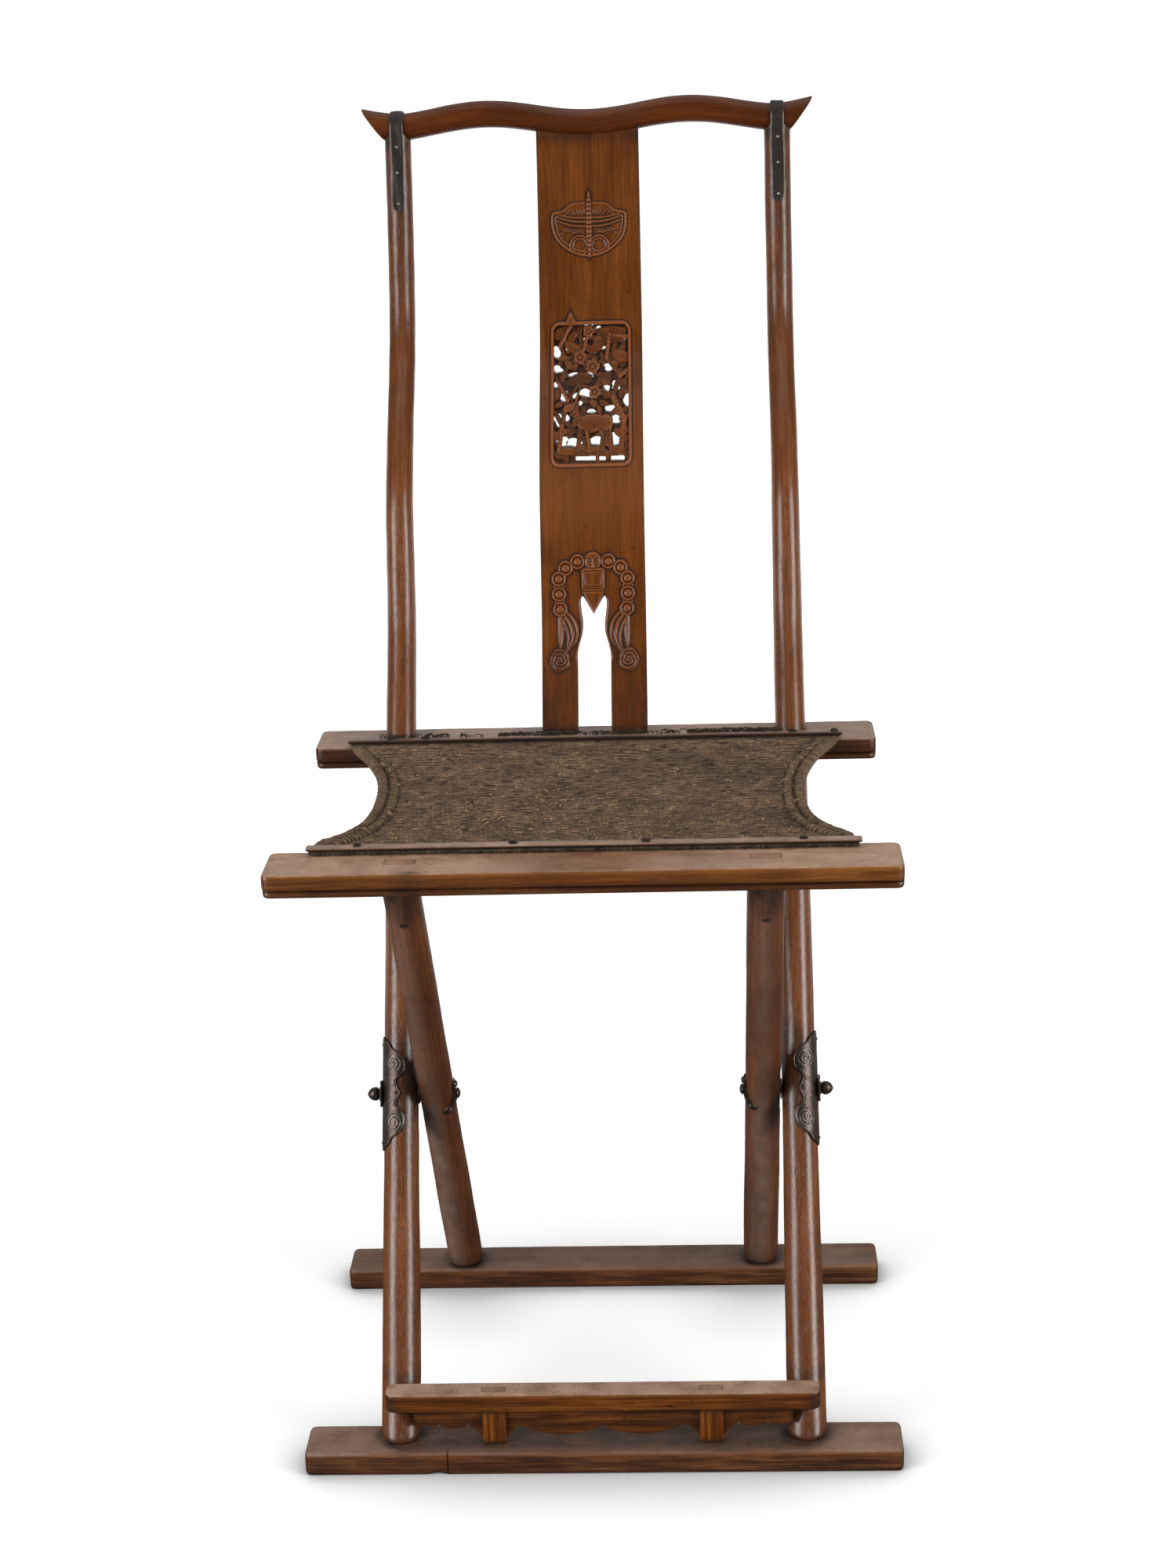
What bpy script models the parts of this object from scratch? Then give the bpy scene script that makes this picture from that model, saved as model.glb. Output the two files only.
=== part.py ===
"""Folding chair with a yoke back, a woven seat and a footrest.

Metres, +Z up, the front towards -Y. Two frames cross like an X and turn on two iron pins.
The outer frame is the long stiles with the back, the rear seat rail and the front foot bar.
The inner frame is the front seat rail, the short legs and the rear foot bar.
Places along Y are counted from the front edge of the front seat rail, until the finished
chair is centred on the origin.
"""
import math

import bmesh
import bpy
from mathutils import Matrix, Vector

# Clearances
GAP = 0.0003
CUT_OVERRUN = 0.010

# Seat rails
SEAT_HEIGHT = 0.565
SEAT_RAIL_PITCH = 0.330
SEAT_RAIL_LENGTH = 0.500
SEAT_RAIL_WIDTH = 0.057
SEAT_RAIL_HEIGHT = 0.021
SEAT_RAIL_CORNER = 0.007
SEAT_LIP_HEIGHT = 0.0065
SEAT_LIP_INSET = 0.0045
SEAT_RAIL_EDGE = 0.003

# Foot bars
FOOT_BAR_LENGTH = 0.512
FOOT_BAR_WIDTH = 0.048
FOOT_BAR_HEIGHT = 0.021
FOOT_BAR_CORNER = 0.006
FOOT_BAR_EDGE = 0.003
FRONT_BAR_SETBACK = 0.046
REAR_BAR_SETBACK = 0.371

# Stiles: one stick from the front foot bar through the rear seat rail to the crest rail
STILE_SPACING = 0.350
STILE_FOOT_SETBACK = 0.032
STILE_FOOT_RADIUS = 0.0165
STILE_SEAT_RADIUS = 0.0137
STILE_TOP_RADIUS = 0.0122
BACK_RISE = 0.5177
BACK_LEAN = 0.2355
BACK_CURVE_SHARES = (
    (0.0, 0.0), (0.17, 0.215), (0.28, 0.292), (0.39, 0.378), (0.50, 0.54),
    (0.62, 0.76), (0.74, 0.865), (0.86, 0.938), (1.0, 1.0),
)

# Short legs of the inner frame
LEG_SPACING = 0.287
LEG_TOP_RADIUS = 0.0152
LEG_FOOT_RADIUS = 0.0160
LEG_TENON_WIDTH = 0.024
LEG_TENON_DEPTH = 0.010

# Feet of all four sticks
FOOT_TENON_RADIUS = 0.0095
FOOT_TENON_LENGTH = 0.015
FOOT_ROLL = 0.005

# Crest rail
CREST_LENGTH = 0.418
CREST_RADIUS = 0.0123
CREST_END_RADIUS = 0.0134
CREST_HUMP = 0.0102
CREST_TIP_RISE = 0.0055
CREST_BOW = 0.008
CREST_END_CUT = 0.0195
CREST_HUMP_SHARE = 0.449

# Splat
SPLAT_WIDTH = 0.0947
SPLAT_THICKNESS = 0.009
SPLAT_TENON = 0.010
SPLAT_STEP = 0.022
RELIEF = 0.0011
OPENING_HALF_WIDTH = 0.0152
OPENING_HEIGHT = 0.1146
OPENING_SHARES = (
    (0.98, 0.0), (0.98, 0.48), (1.0, 0.57), (0.84, 0.65), (0.65, 0.725), (0.64, 0.79),
    (0.73, 0.865), (0.79, 0.94), (0.72, 0.99), (0.60, 0.985), (0.0, 0.855),
)
PANEL_WIDTH = 0.0745
PANEL_HEIGHT = 0.1186
PANEL_RISE = 0.2828
PANEL_CORNER = 0.009
PANEL_BORDER = 0.0030
RIM_SETBACK = 0.0006
PANEL_LEAST_HOLE = 0.0030
MEDALLION_WIDTH = 0.074
MEDALLION_HEIGHT = 0.056
MEDALLION_RISE = 0.4270
MEDALLION_RIM = 0.0030
BEAD_RADIUS = 0.0057
BEAD_ARCH_HALF_WIDTH = 0.0312
BEAD_ARCH_RISE = 0.1030
BEAD_ARCH_HEIGHT = 0.0408
BEAD_PLACE_SHARES = ((0.45, 1.0), (0.80, 0.865), (1.0, 0.64), (1.0, 0.315), (0.97, 0.0))
TASSEL_SHARES = ((0.25, 0.12, 0.80, 1.0), (0.62, 0.17, 0.75, 0.8))
ROSETTE_RADIUS = 0.0083
ROSETTE_RISE = 0.0609
ROSETTE_HALF_SPACING = 0.0310
HEAD_RADIUS = 0.0078
HEAD_RISE = 0.1444
CREST_BLOCK_WIDTH = 0.0214
CREST_BLOCK_HEIGHT = 0.0203
CREST_BLOCK_RISE = 0.1282

# Footrest on the front foot bar
REST_LENGTH = 0.372
REST_DEPTH = 0.0225
REST_HEIGHT = 0.0175
REST_UNDERSIDE = 0.0525
REST_SETBACK = 0.0125
REST_CORNER = 0.012
REST_EDGE = 0.0025
STRUT_SPACING = 0.186
STRUT_WIDTH = 0.020
STRUT_DEPTH = 0.0150
STRUT_SETBACK = 0.0150
STRUT_TENON_DEPTH = 0.0065
APRON_THICKNESS = 0.006
APRON_SETBACK = 0.0035
APRON_DROP = 0.0290
APRON_WING = 0.0125

# Fold pivots
PIN_RADIUS = 0.0040
WASHER_RADIUS = 0.0090
WASHER_THICKNESS = 0.0012
PIVOT_FLAT_LENGTH = 0.060
PIN_HEAD_RADIUS = 0.0050
PIN_HEAD_HEIGHT = 0.0032
PETAL_RADIUS = 0.0125
PETAL_DEPTH_SHARE = 0.13
PETAL_THICKNESS = 0.0016
FINIAL_RADIUS = 0.0058
FINIAL_LENGTH = 0.0110
FINIAL_SHARES = (
    (0.0, 0.86), (0.08, 0.74), (0.16, 0.95), (0.36, 1.0), (0.60, 0.86), (0.82, 0.54), (1.0, 0.12),
)
PLATE_THICKNESS = 0.0012
PLATE_HALF_LENGTH = 0.0500
PLATE_REACH_SHARE = 0.56
PLATE_OUTLINE_SHARES = (
    (0.0, 0.86), (0.10, 0.78), (0.22, 0.74), (0.34, 0.94), (0.50, 1.0), (0.66, 0.88),
    (0.80, 0.60), (0.90, 0.48), (1.0, 0.16),
)
TREFOIL_RADIUS = 0.0150
TREFOIL_LOBE_SHARE = 0.24
TREFOIL_BOSS_RADIUS = 0.0031
TREFOIL_BOSS_PLACE_SHARE = 0.80

# Iron straps that hold the crest rail to the stiles
STRAP_WIDTH = 0.0120
STRAP_THICKNESS = 0.0014
STRAP_DROP = 0.0730
STRAP_FIT = 0.0007

# Woven seat and the battens that pin it down
SEAT_HALF_WIDTH = 0.2210
SEAT_WAIST_HALF_WIDTH = 0.1790
SEAT_SAG = 0.0100
WEB_THICKNESS = 0.0026
WEB_EDGE_THICKNESS = 0.0080
WEB_EDGE_WIDTH = 0.0130
WEB_HEM = 0.0115
BATTEN_LENGTH = 0.440
BATTEN_WIDTH = 0.0090
BATTEN_HEIGHT = 0.0030
BATTEN_EDGE = 0.0008
BATTEN_SETBACK = 0.0015

# Facets
ROUND_SIDES = 18
STILE_STEPS = 18
CREST_SIDES = 16
CREST_STEPS = 36
PIN_SIDES = 16
CORNER_STEPS = 4
RELIEF_SIDES = 8
RELIEF_SLICES = 5
MEDALLION_SIDES = 32
PANEL_GRID = (38, 60)
PANEL_SMOOTHING = 0.00012
APRON_STEPS = 28
PLATE_ROWS = 20
PLATE_COLUMNS = 6
TREFOIL_SIDES = 18
TREFOIL_RINGS = 2
PETAL_SIDES = 24
STRAP_ROWS = 6
WEB_ROWS = 12
WEB_COLUMNS = 10

# Places that follow from the sizes
STILE_FOOT_Y = FRONT_BAR_SETBACK + STILE_FOOT_SETBACK
STILE_SEAT_Y = SEAT_RAIL_PITCH + SEAT_RAIL_WIDTH / 2
STILE_SLOPE = (STILE_SEAT_Y - STILE_FOOT_Y) / (SEAT_HEIGHT - FOOT_BAR_HEIGHT)
CREST_Z = SEAT_HEIGHT + BACK_RISE
CREST_Y = STILE_SEAT_Y + BACK_LEAN
LEG_TOP_Z = SEAT_HEIGHT - SEAT_RAIL_HEIGHT
LEG_TOP_Y = SEAT_RAIL_WIDTH / 2
LEG_FOOT_Y = REAR_BAR_SETBACK + FOOT_BAR_WIDTH / 2
LEG_SLOPE = (LEG_TOP_Y - LEG_FOOT_Y) / (LEG_TOP_Z - FOOT_BAR_HEIGHT)
PIVOT_Z = FOOT_BAR_HEIGHT + (LEG_FOOT_Y - STILE_FOOT_Y) / (STILE_SLOPE - LEG_SLOPE)
PIVOT_Y = STILE_FOOT_Y + STILE_SLOPE * (PIVOT_Z - FOOT_BAR_HEIGHT)
CROSSING_X = (STILE_SPACING + LEG_SPACING) / 4
SIDES = (("left", -1), ("right", 1))


# Materials

def material(name, colour, roughness, metallic=0.0):
    """A Principled material with one colour."""
    made = bpy.data.materials.new(name)
    made.use_nodes = True
    shader = made.node_tree.nodes["Principled BSDF"]
    shader.inputs["Base Color"].default_value = (*colour, 1.0)
    shader.inputs["Roughness"].default_value = roughness
    shader.inputs["Metallic"].default_value = metallic
    made.diffuse_color = (*colour, 1.0)
    return made


def red_brown_wood():
    return material("stained_wood", (0.23, 0.085, 0.035), 0.34)


def worn_rail_wood():
    return material("worn_rail_wood", (0.25, 0.115, 0.065), 0.46)


def dark_leg_wood():
    return material("dark_leg_wood", (0.15, 0.062, 0.034), 0.32)


def dark_iron():
    return material("dark_iron", (0.055, 0.050, 0.045), 0.42, 0.85)


def woven_hemp():
    return material("woven_hemp", (0.13, 0.098, 0.068), 0.9)


# Objects

def new_object(name, mesh, slot, sharp_angle=math.radians(32)):
    """Link a mesh as a smooth shaded object with its material."""
    mesh.materials.append(slot)
    mesh.shade_smooth()
    mesh.set_sharp_from_angle(angle=sharp_angle)
    made = bpy.data.objects.new(name, mesh)
    bpy.context.scene.collection.objects.link(made)
    return made


def mesh_from(name, shape):
    """Turn a finished bmesh into a mesh with its faces pointing out."""
    bmesh.ops.recalc_face_normals(shape, faces=shape.faces)
    mesh = bpy.data.meshes.new(name)
    shape.to_mesh(mesh)
    shape.free()
    return mesh


def loft(name, rings):
    """Skin a stack of rings that have the same number of points, and close both ends."""
    shape = bmesh.new()
    rows = [[shape.verts.new(point) for point in ring] for ring in rings]
    count = len(rows[0])
    for low, high in zip(rows, rows[1:]):
        for i in range(count):
            j = (i + 1) % count
            shape.faces.new((low[i], low[j], high[j], high[i]))
    shape.faces.new(rows[0])
    shape.faces.new(rows[-1])
    return mesh_from(name, shape)


def closed_loft(name, rings):
    """Skin rings that follow each other round a closed loop."""
    shape = bmesh.new()
    rows = [[shape.verts.new(point) for point in ring] for ring in rings]
    count = len(rows[0])
    for k, low in enumerate(rows):
        high = rows[(k + 1) % len(rows)]
        for i in range(count):
            j = (i + 1) % count
            shape.faces.new((low[i], low[j], high[j], high[i]))
    return mesh_from(name, shape)


def prism(name, outlines, near, far):
    """Extrude flat outlines of (x, z) points between two places along Y."""
    shape = bmesh.new()
    for outline in outlines:
        front = [shape.verts.new((x, near, z)) for x, z in outline]
        back = [shape.verts.new((x, far, z)) for x, z in outline]
        for i in range(len(outline)):
            j = (i + 1) % len(outline)
            shape.faces.new((front[i], front[j], back[j], back[i]))
        shape.faces.new(front)
        shape.faces.new(list(reversed(back)))
    return mesh_from(name, shape)


def box(name, low, high):
    """A block between two corners."""
    outline = [(low[0], low[2]), (high[0], low[2]), (high[0], high[2]), (low[0], high[2])]
    return prism(name, [outline], low[1], high[1])


def cutter(name, mesh):
    """An object that only shapes others."""
    made = bpy.data.objects.new(name, mesh)
    bpy.context.scene.collection.objects.link(made)
    made.hide_render = True
    made.display_type = "WIRE"
    return made


def combine(target, tool, operation):
    """Apply one Boolean to a piece and remove the tool."""
    step = target.modifiers.new(operation.lower(), "BOOLEAN")
    step.operation = operation
    step.object = tool
    bake(target)
    bpy.data.objects.remove(tool)


def cut(target, name, mesh):
    combine(target, cutter(name, mesh), "DIFFERENCE")


def fuse(target, name, mesh):
    combine(target, cutter(name, mesh), "UNION")


def bake(piece):
    """Replace a piece's mesh with what its modifiers make of it."""
    evaluated = piece.evaluated_get(bpy.context.evaluated_depsgraph_get())
    mesh = bpy.data.meshes.new_from_object(evaluated)
    piece.modifiers.clear()
    piece.data = mesh


# Outlines and lines

def steps(low, high, count):
    """Evenly spaced places from low to high."""
    return [low + (high - low) * i / count for i in range(count + 1)]


def rounded_rectangle(half_x, half_y, radius, corner_steps=CORNER_STEPS):
    """Points round a rectangle with rounded corners."""
    points = []
    for quarter, (sx, sy) in enumerate(((1, 1), (-1, 1), (-1, -1), (1, -1))):
        for turn in steps(0.0, math.pi / 2, corner_steps):
            angle = quarter * math.pi / 2 + turn
            x = sx * (half_x - radius) + radius * math.cos(angle)
            y = sy * (half_y - radius) + radius * math.sin(angle)
            points.append((x, y))
    return points


def smooth_value(shares, place):
    """Read a smooth curve through pairs of shares."""
    places = [pair[0] for pair in shares]
    values = [pair[1] for pair in shares]
    place = min(max(place, places[0]), places[-1])
    k = 0
    while k < len(places) - 2 and place > places[k + 1]:
        k += 1

    def tilt(i):
        low, high = max(i - 1, 0), min(i + 1, len(places) - 1)
        return (values[high] - values[low]) / (places[high] - places[low])

    span = places[k + 1] - places[k]
    t = (place - places[k]) / span
    start, end = values[k], values[k + 1]
    rise, fall = tilt(k) * span, tilt(k + 1) * span
    return (
        start * (2 * t**3 - 3 * t**2 + 1) + rise * (t**3 - 2 * t**2 + t)
        + end * (3 * t**2 - 2 * t**3) + fall * (t**3 - t**2)
    )


def stile_y(z):
    """Depth of the stile's centre line: straight up to the seat, then an S curve."""
    if z <= SEAT_HEIGHT:
        return STILE_FOOT_Y + STILE_SLOPE * (z - FOOT_BAR_HEIGHT)
    return STILE_SEAT_Y + BACK_LEAN * smooth_value(BACK_CURVE_SHARES, (z - SEAT_HEIGHT) / BACK_RISE)


def leg_y(z):
    """Depth of the short leg's straight centre line."""
    return LEG_FOOT_Y + LEG_SLOPE * (z - FOOT_BAR_HEIGHT)


def slope_at(line, z):
    """How far a centre line runs back for each metre it rises."""
    step = GAP
    return (line(z + step) - line(z - step)) / (2 * step)


def stretch_at(line, z):
    """How much longer a level slice of a leaning stick is than its round section."""
    return math.hypot(1.0, slope_at(line, z))


def stile_radius(z):
    """The stile thins from its foot to the seat, and again to the crest rail."""
    if z <= SEAT_HEIGHT:
        share = (z - FOOT_BAR_HEIGHT) / (SEAT_HEIGHT - FOOT_BAR_HEIGHT)
        return STILE_FOOT_RADIUS + (STILE_SEAT_RADIUS - STILE_FOOT_RADIUS) * share
    share = min((z - SEAT_HEIGHT) / (BACK_RISE / 2), 1.0)
    return STILE_SEAT_RADIUS + (STILE_TOP_RADIUS - STILE_SEAT_RADIUS) * share


def leg_radius(z):
    share = (z - FOOT_BAR_HEIGHT) / (LEG_TOP_Z - FOOT_BAR_HEIGHT)
    return LEG_FOOT_RADIUS + (LEG_TOP_RADIUS - LEG_FOOT_RADIUS) * share


# Round sticks

def slice_of(x, line, z, radius, flat_x=None, flat_side=0):
    """A level slice of a leaning round stick, planed flat on the side that meets its partner."""
    ring = []
    depth = radius * stretch_at(line, z)
    for i in range(ROUND_SIDES):
        angle = 2 * math.pi * (i + 0.5) / ROUND_SIDES
        px = x + radius * math.cos(angle)
        if flat_side > 0:
            px = max(px, flat_x)
        if flat_side < 0:
            px = min(px, flat_x)
        ring.append((px, line(z) + depth * math.sin(angle), z))
    return ring


def foot_rings(x, line, radius_at):
    """The tenon, the shoulder and the rolled edge at the lower end of a stick."""
    base = FOOT_BAR_HEIGHT + GAP
    tenon_low = base - FOOT_TENON_LENGTH
    rings = []
    for z in (tenon_low, base):
        centre = line(base)
        rings.append([
            (x + FOOT_TENON_RADIUS * math.cos(a), centre + FOOT_TENON_RADIUS * math.sin(a), z)
            for a in (2 * math.pi * (i + 0.5) / ROUND_SIDES for i in range(ROUND_SIDES))
        ])
    for share in (0.0, 0.3, 1.0):
        z = base + FOOT_ROLL * share
        drawn_in = FOOT_ROLL * (1.0 - math.sqrt(1.0 - (1.0 - share) ** 2)) / 2
        rings.append(slice_of(x, line, z, radius_at(z) - drawn_in))
    return rings


def pivot_levels(low, high):
    """Heights of the slices of a straight stick, with close ones round the pivot's flat."""
    half = PIVOT_FLAT_LENGTH / 2
    near = [PIVOT_Z - half, PIVOT_Z - half + GAP, PIVOT_Z + half - GAP, PIVOT_Z + half]
    return [low, (low + near[0]) / 2, *near, (near[-1] + high) / 2, high]


def stick_rings(x, line, radius_at, levels, flat_x, flat_side):
    """Slices of a stick, flat only where it crosses its partner."""
    rings = []
    half = PIVOT_FLAT_LENGTH / 2 - GAP / 2
    for z in levels:
        side = flat_side if abs(z - PIVOT_Z) < half else 0
        rings.append(slice_of(x, line, z, radius_at(z), flat_x, side))
    return rings


def flat_offset():
    """Distance from the crossing plane to each planed flat, with the washer between."""
    return WASHER_THICKNESS / 2 + GAP


def pin_bore(name, x, radius=PIN_RADIUS + GAP):
    """A cutter for the pin's hole across both sticks."""
    reach = STILE_FOOT_RADIUS + CUT_OVERRUN
    low = CROSSING_X - LEG_SPACING / 2 + reach
    profile = [(x - low, radius), (x + low, radius)]
    return turned(name, profile)


def turned(name, profile, sides=PIN_SIDES):
    """Turn (x, radius) pairs round the pivot axis."""
    rings = []
    for x, radius in profile:
        ring = []
        for i in range(sides):
            angle = 2 * math.pi * i / sides
            ring.append((x, PIVOT_Y + radius * math.cos(angle), PIVOT_Z + radius * math.sin(angle)))
        rings.append(ring)
    return loft(name, rings)


def stile_mesh(name, side, extra=0.0):
    """One whole stile, or with extra radius the tool that bores its holes."""
    x = side * STILE_SPACING / 2

    def radius_at(z):
        return stile_radius(z) + extra

    flat_x = side * (CROSSING_X + flat_offset())
    low = FOOT_BAR_HEIGHT + GAP + 2 * FOOT_ROLL
    rings = foot_rings(x, stile_y, radius_at)
    straight = pivot_levels(low, SEAT_HEIGHT)
    curved = steps(SEAT_HEIGHT, CREST_Z, STILE_STEPS)[1:]
    rings += stick_rings(x, stile_y, radius_at, straight + curved, flat_x, side)
    return loft(name, rings)


def stile(label, side, slot):
    made = new_object(f"stile_{label}", stile_mesh("stile", side), slot)
    cut(made, "crest_cope", crest_mesh(GAP))
    cut(made, "pin_bore", pin_bore("pin_bore", side * CROSSING_X))
    cut(made, "rest_notch", footrest_blank(GAP))
    return made


def inner_leg(label, side, slot):
    """A short leg with a round foot tenon and a square tenon through the seat rail."""
    x = side * LEG_SPACING / 2
    flat_x = side * (CROSSING_X - flat_offset())
    low = FOOT_BAR_HEIGHT + GAP + 2 * FOOT_ROLL
    high = LEG_TOP_Z - GAP
    rings = foot_rings(x, leg_y, leg_radius)
    rings += stick_rings(x, leg_y, leg_radius, pivot_levels(low, high), flat_x, -side)
    made = new_object(f"inner_leg_{label}", loft("inner_leg", rings), slot)
    fuse(made, "tenon", leg_tenon(x, 0.0, high - LEG_TENON_DEPTH, SEAT_HEIGHT - GAP))
    cut(made, "pin_bore", pin_bore("pin_bore", side * CROSSING_X))
    return made


def leg_tenon(x, extra, low, high):
    """The square tenon on a short leg, or with extra the mortise for it."""
    half_x = LEG_TENON_WIDTH / 2 + extra
    half_y = LEG_TENON_DEPTH / 2 + extra
    return box("tenon", (x - half_x, LEG_TOP_Y - half_y, low), (x + half_x, LEG_TOP_Y + half_y, high))


# Rails, bars and boards

def stacked_board(name, centre, half, corner, levels):
    """A board as a stack of rounded outlines: each level has a height and an inset."""
    rings = []
    for z, inset in levels:
        radius = max(corner - inset / 2, corner / 4)
        outline = rounded_rectangle(half[0] - inset, half[1] - inset, radius)
        rings.append([(centre[0] + x, centre[1] + y, z) for x, y in outline])
    return loft(name, rings)


def eased_levels(low, high, edge):
    """A plain board with eased edges above and below."""
    return [
        (low, edge), (low + edge * 0.3, edge * 0.3), (low + edge, 0.0),
        (high - edge, 0.0), (high - edge * 0.3, edge * 0.3), (high, edge),
    ]


def seat_rail_levels():
    """A rounded upper slab over a groove and a narrower lip."""
    low, high = SEAT_HEIGHT - SEAT_RAIL_HEIGHT, SEAT_HEIGHT
    lip = low + SEAT_LIP_HEIGHT
    edge = SEAT_RAIL_EDGE
    return [
        (low, SEAT_LIP_INSET + edge / 2), (low + edge / 2, SEAT_LIP_INSET),
        (lip - edge / 3, SEAT_LIP_INSET), (lip, SEAT_LIP_INSET + edge / 2),
        (lip + edge / 3, SEAT_LIP_INSET), (lip + edge, edge / 3), (lip + 1.6 * edge, 0.0),
        (high - edge, 0.0), (high - edge * 0.3, edge * 0.3), (high, edge),
    ]


def seat_rail(name, front_y, slot):
    centre = (0.0, front_y + SEAT_RAIL_WIDTH / 2)
    half = (SEAT_RAIL_LENGTH / 2, SEAT_RAIL_WIDTH / 2)
    mesh = stacked_board(name, centre, half, SEAT_RAIL_CORNER, seat_rail_levels())
    return new_object(name, mesh, slot)


def rear_seat_rail(slot):
    """The rear rail, bored for both stiles and mortised for the splat's two feet."""
    made = seat_rail("rear_seat_rail", SEAT_RAIL_PITCH, slot)
    for _, side in SIDES:
        cut(made, "stile_bore", stile_mesh("stile_bore", side, GAP))
    for _, side in SIDES:
        cut(made, "splat_mortise", splat_foot(side, GAP))
    return made


def front_seat_rail(slot):
    made = seat_rail("front_seat_rail", 0.0, slot)
    low, high = LEG_TOP_Z - CUT_OVERRUN, SEAT_HEIGHT + CUT_OVERRUN
    for _, side in SIDES:
        cut(made, "leg_mortise", leg_tenon(side * LEG_SPACING / 2, GAP, low, high))
    return made


def foot_bar(name, setback, spacing, line, slot):
    """A foot bar with blind round mortises for two feet."""
    centre = (0.0, setback + FOOT_BAR_WIDTH / 2)
    half = (FOOT_BAR_LENGTH / 2, FOOT_BAR_WIDTH / 2)
    levels = eased_levels(0.0, FOOT_BAR_HEIGHT, FOOT_BAR_EDGE)
    made = new_object(name, stacked_board(name, centre, half, FOOT_BAR_CORNER, levels), slot)
    for _, side in SIDES:
        cut(made, "foot_mortise", foot_mortise(side * spacing / 2, line))
    return made


def foot_mortise(x, line):
    """A round blind hole for a foot's tenon."""
    centre = line(FOOT_BAR_HEIGHT + GAP)
    radius = FOOT_TENON_RADIUS + GAP
    rings = []
    for z in (FOOT_BAR_HEIGHT - FOOT_TENON_LENGTH - GAP, FOOT_BAR_HEIGHT + CUT_OVERRUN):
        ring = []
        for i in range(ROUND_SIDES):
            angle = 2 * math.pi * (i + 0.5) / ROUND_SIDES
            ring.append((x + radius * math.cos(angle), centre + radius * math.sin(angle), z))
        rings.append(ring)
    return loft("foot_mortise", rings)


# Crest rail

def crest_height(share):
    """The yoke's wave along half its length: a saddle, a hump, a dip and a rising tip."""
    wave = math.cos(math.pi * min(share / CREST_HUMP_SHARE, 1.9))
    tip = max(share - 0.80, 0.0) / 0.20
    return -CREST_HUMP / 2 * wave + CREST_TIP_RISE * tip**1.6


def crest_radius(share):
    """The rail swells a little outside the stiles."""
    return CREST_RADIUS + (CREST_END_RADIUS - CREST_RADIUS) * max(share - 0.75, 0.0) / 0.25


def crest_mesh(extra=0.0):
    """The crest rail, swept along its wave and cut off at a slant at both ends."""
    half = CREST_LENGTH / 2
    post_share = STILE_SPACING / CREST_LENGTH
    level = crest_height(post_share)
    rings = []
    for share in steps(-1.12, 1.12, CREST_STEPS):
        along = abs(share)
        radius = crest_radius(along) + extra
        bow = CREST_BOW * (1.0 - min(along / post_share, 1.0) ** 2)
        centre_y = CREST_Y + bow
        centre_z = CREST_Z + crest_height(along) - level
        ring = []
        for i in range(CREST_SIDES):
            angle = 2 * math.pi * i / CREST_SIDES
            y = centre_y + radius * math.cos(angle)
            ring.append((share * half, y, centre_z + radius * math.sin(angle)))
        rings.append(ring)
    mesh = loft("crest_rail", rings)
    top = CREST_Z + crest_height(1.0) - level + CREST_END_RADIUS
    slant_ends(mesh, half, top, extra)
    return mesh


def slant_ends(mesh, half, top, extra):
    """Cut both ends off at a slant, with the tips at the top."""
    shape = bmesh.new()
    shape.from_mesh(mesh)
    lean = CREST_END_CUT / (2 * CREST_END_RADIUS)
    for side in (-1, 1):
        edge = Vector((side * (half + extra), 0.0, top))
        outward = Vector((side, 0.0, -lean)).normalized()
        geometry = shape.verts[:] + shape.edges[:] + shape.faces[:]
        found = bmesh.ops.bisect_plane(
            shape, geom=geometry, plane_co=edge, plane_no=outward, clear_outer=True,
            dist=GAP / 100,
        )
        rim = [item for item in found["geom_cut"] if isinstance(item, bmesh.types.BMEdge)]
        bmesh.ops.contextual_create(shape, geom=rim)
    bmesh.ops.recalc_face_normals(shape, faces=shape.faces)
    shape.to_mesh(mesh)
    shape.free()


# Splat

def splat_y(z):
    """Depth of the splat: the stiles' S curve, and back to the bowed crest rail at the top."""
    return stile_y(z) + CREST_BOW * max(z - SEAT_HEIGHT, 0.0) ** 2 / BACK_RISE**2


def splat_place(x, offset, rise):
    """Bend a point of the flat splat, at its rise over the seat, onto the S curve."""
    z = SEAT_HEIGHT + rise
    return (x, splat_y(z) + offset * stretch_at(splat_y, z), z)


def bend_splat(mesh):
    """Slice a flat mesh across, raise it from the seat and bend it to the S curve."""
    shape = bmesh.new()
    shape.from_mesh(mesh)
    low = min(vertex.co.z for vertex in shape.verts)
    high = max(vertex.co.z for vertex in shape.verts)
    count = math.ceil((high - low) / SPLAT_STEP)
    for z in steps(low, high, count)[1:-1]:
        geometry = shape.verts[:] + shape.edges[:] + shape.faces[:]
        bmesh.ops.bisect_plane(
            shape, geom=geometry, plane_co=(0.0, 0.0, z), plane_no=(0.0, 0.0, 1.0),
            dist=GAP / 100,
        )
    bmesh.ops.triangulate(shape, faces=shape.faces[:])
    for vertex in shape.verts:
        vertex.co = splat_place(*vertex.co)
    shape.to_mesh(mesh)
    shape.free()


def splat_foot(side, extra):
    """The mortise for one of the splat's feet, bent like the splat."""
    inner = OPENING_HALF_WIDTH * OPENING_SHARES[0][0] - extra
    outer = SPLAT_WIDTH / 2 + extra
    half = SPLAT_THICKNESS / 2 + extra
    low, high = -SPLAT_TENON - extra, CUT_OVERRUN
    near, far = sorted((side * inner, side * outer))
    mesh = box("splat_foot", (near, -half, low), (far, half, high))
    bend_splat(mesh)
    return mesh


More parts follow.
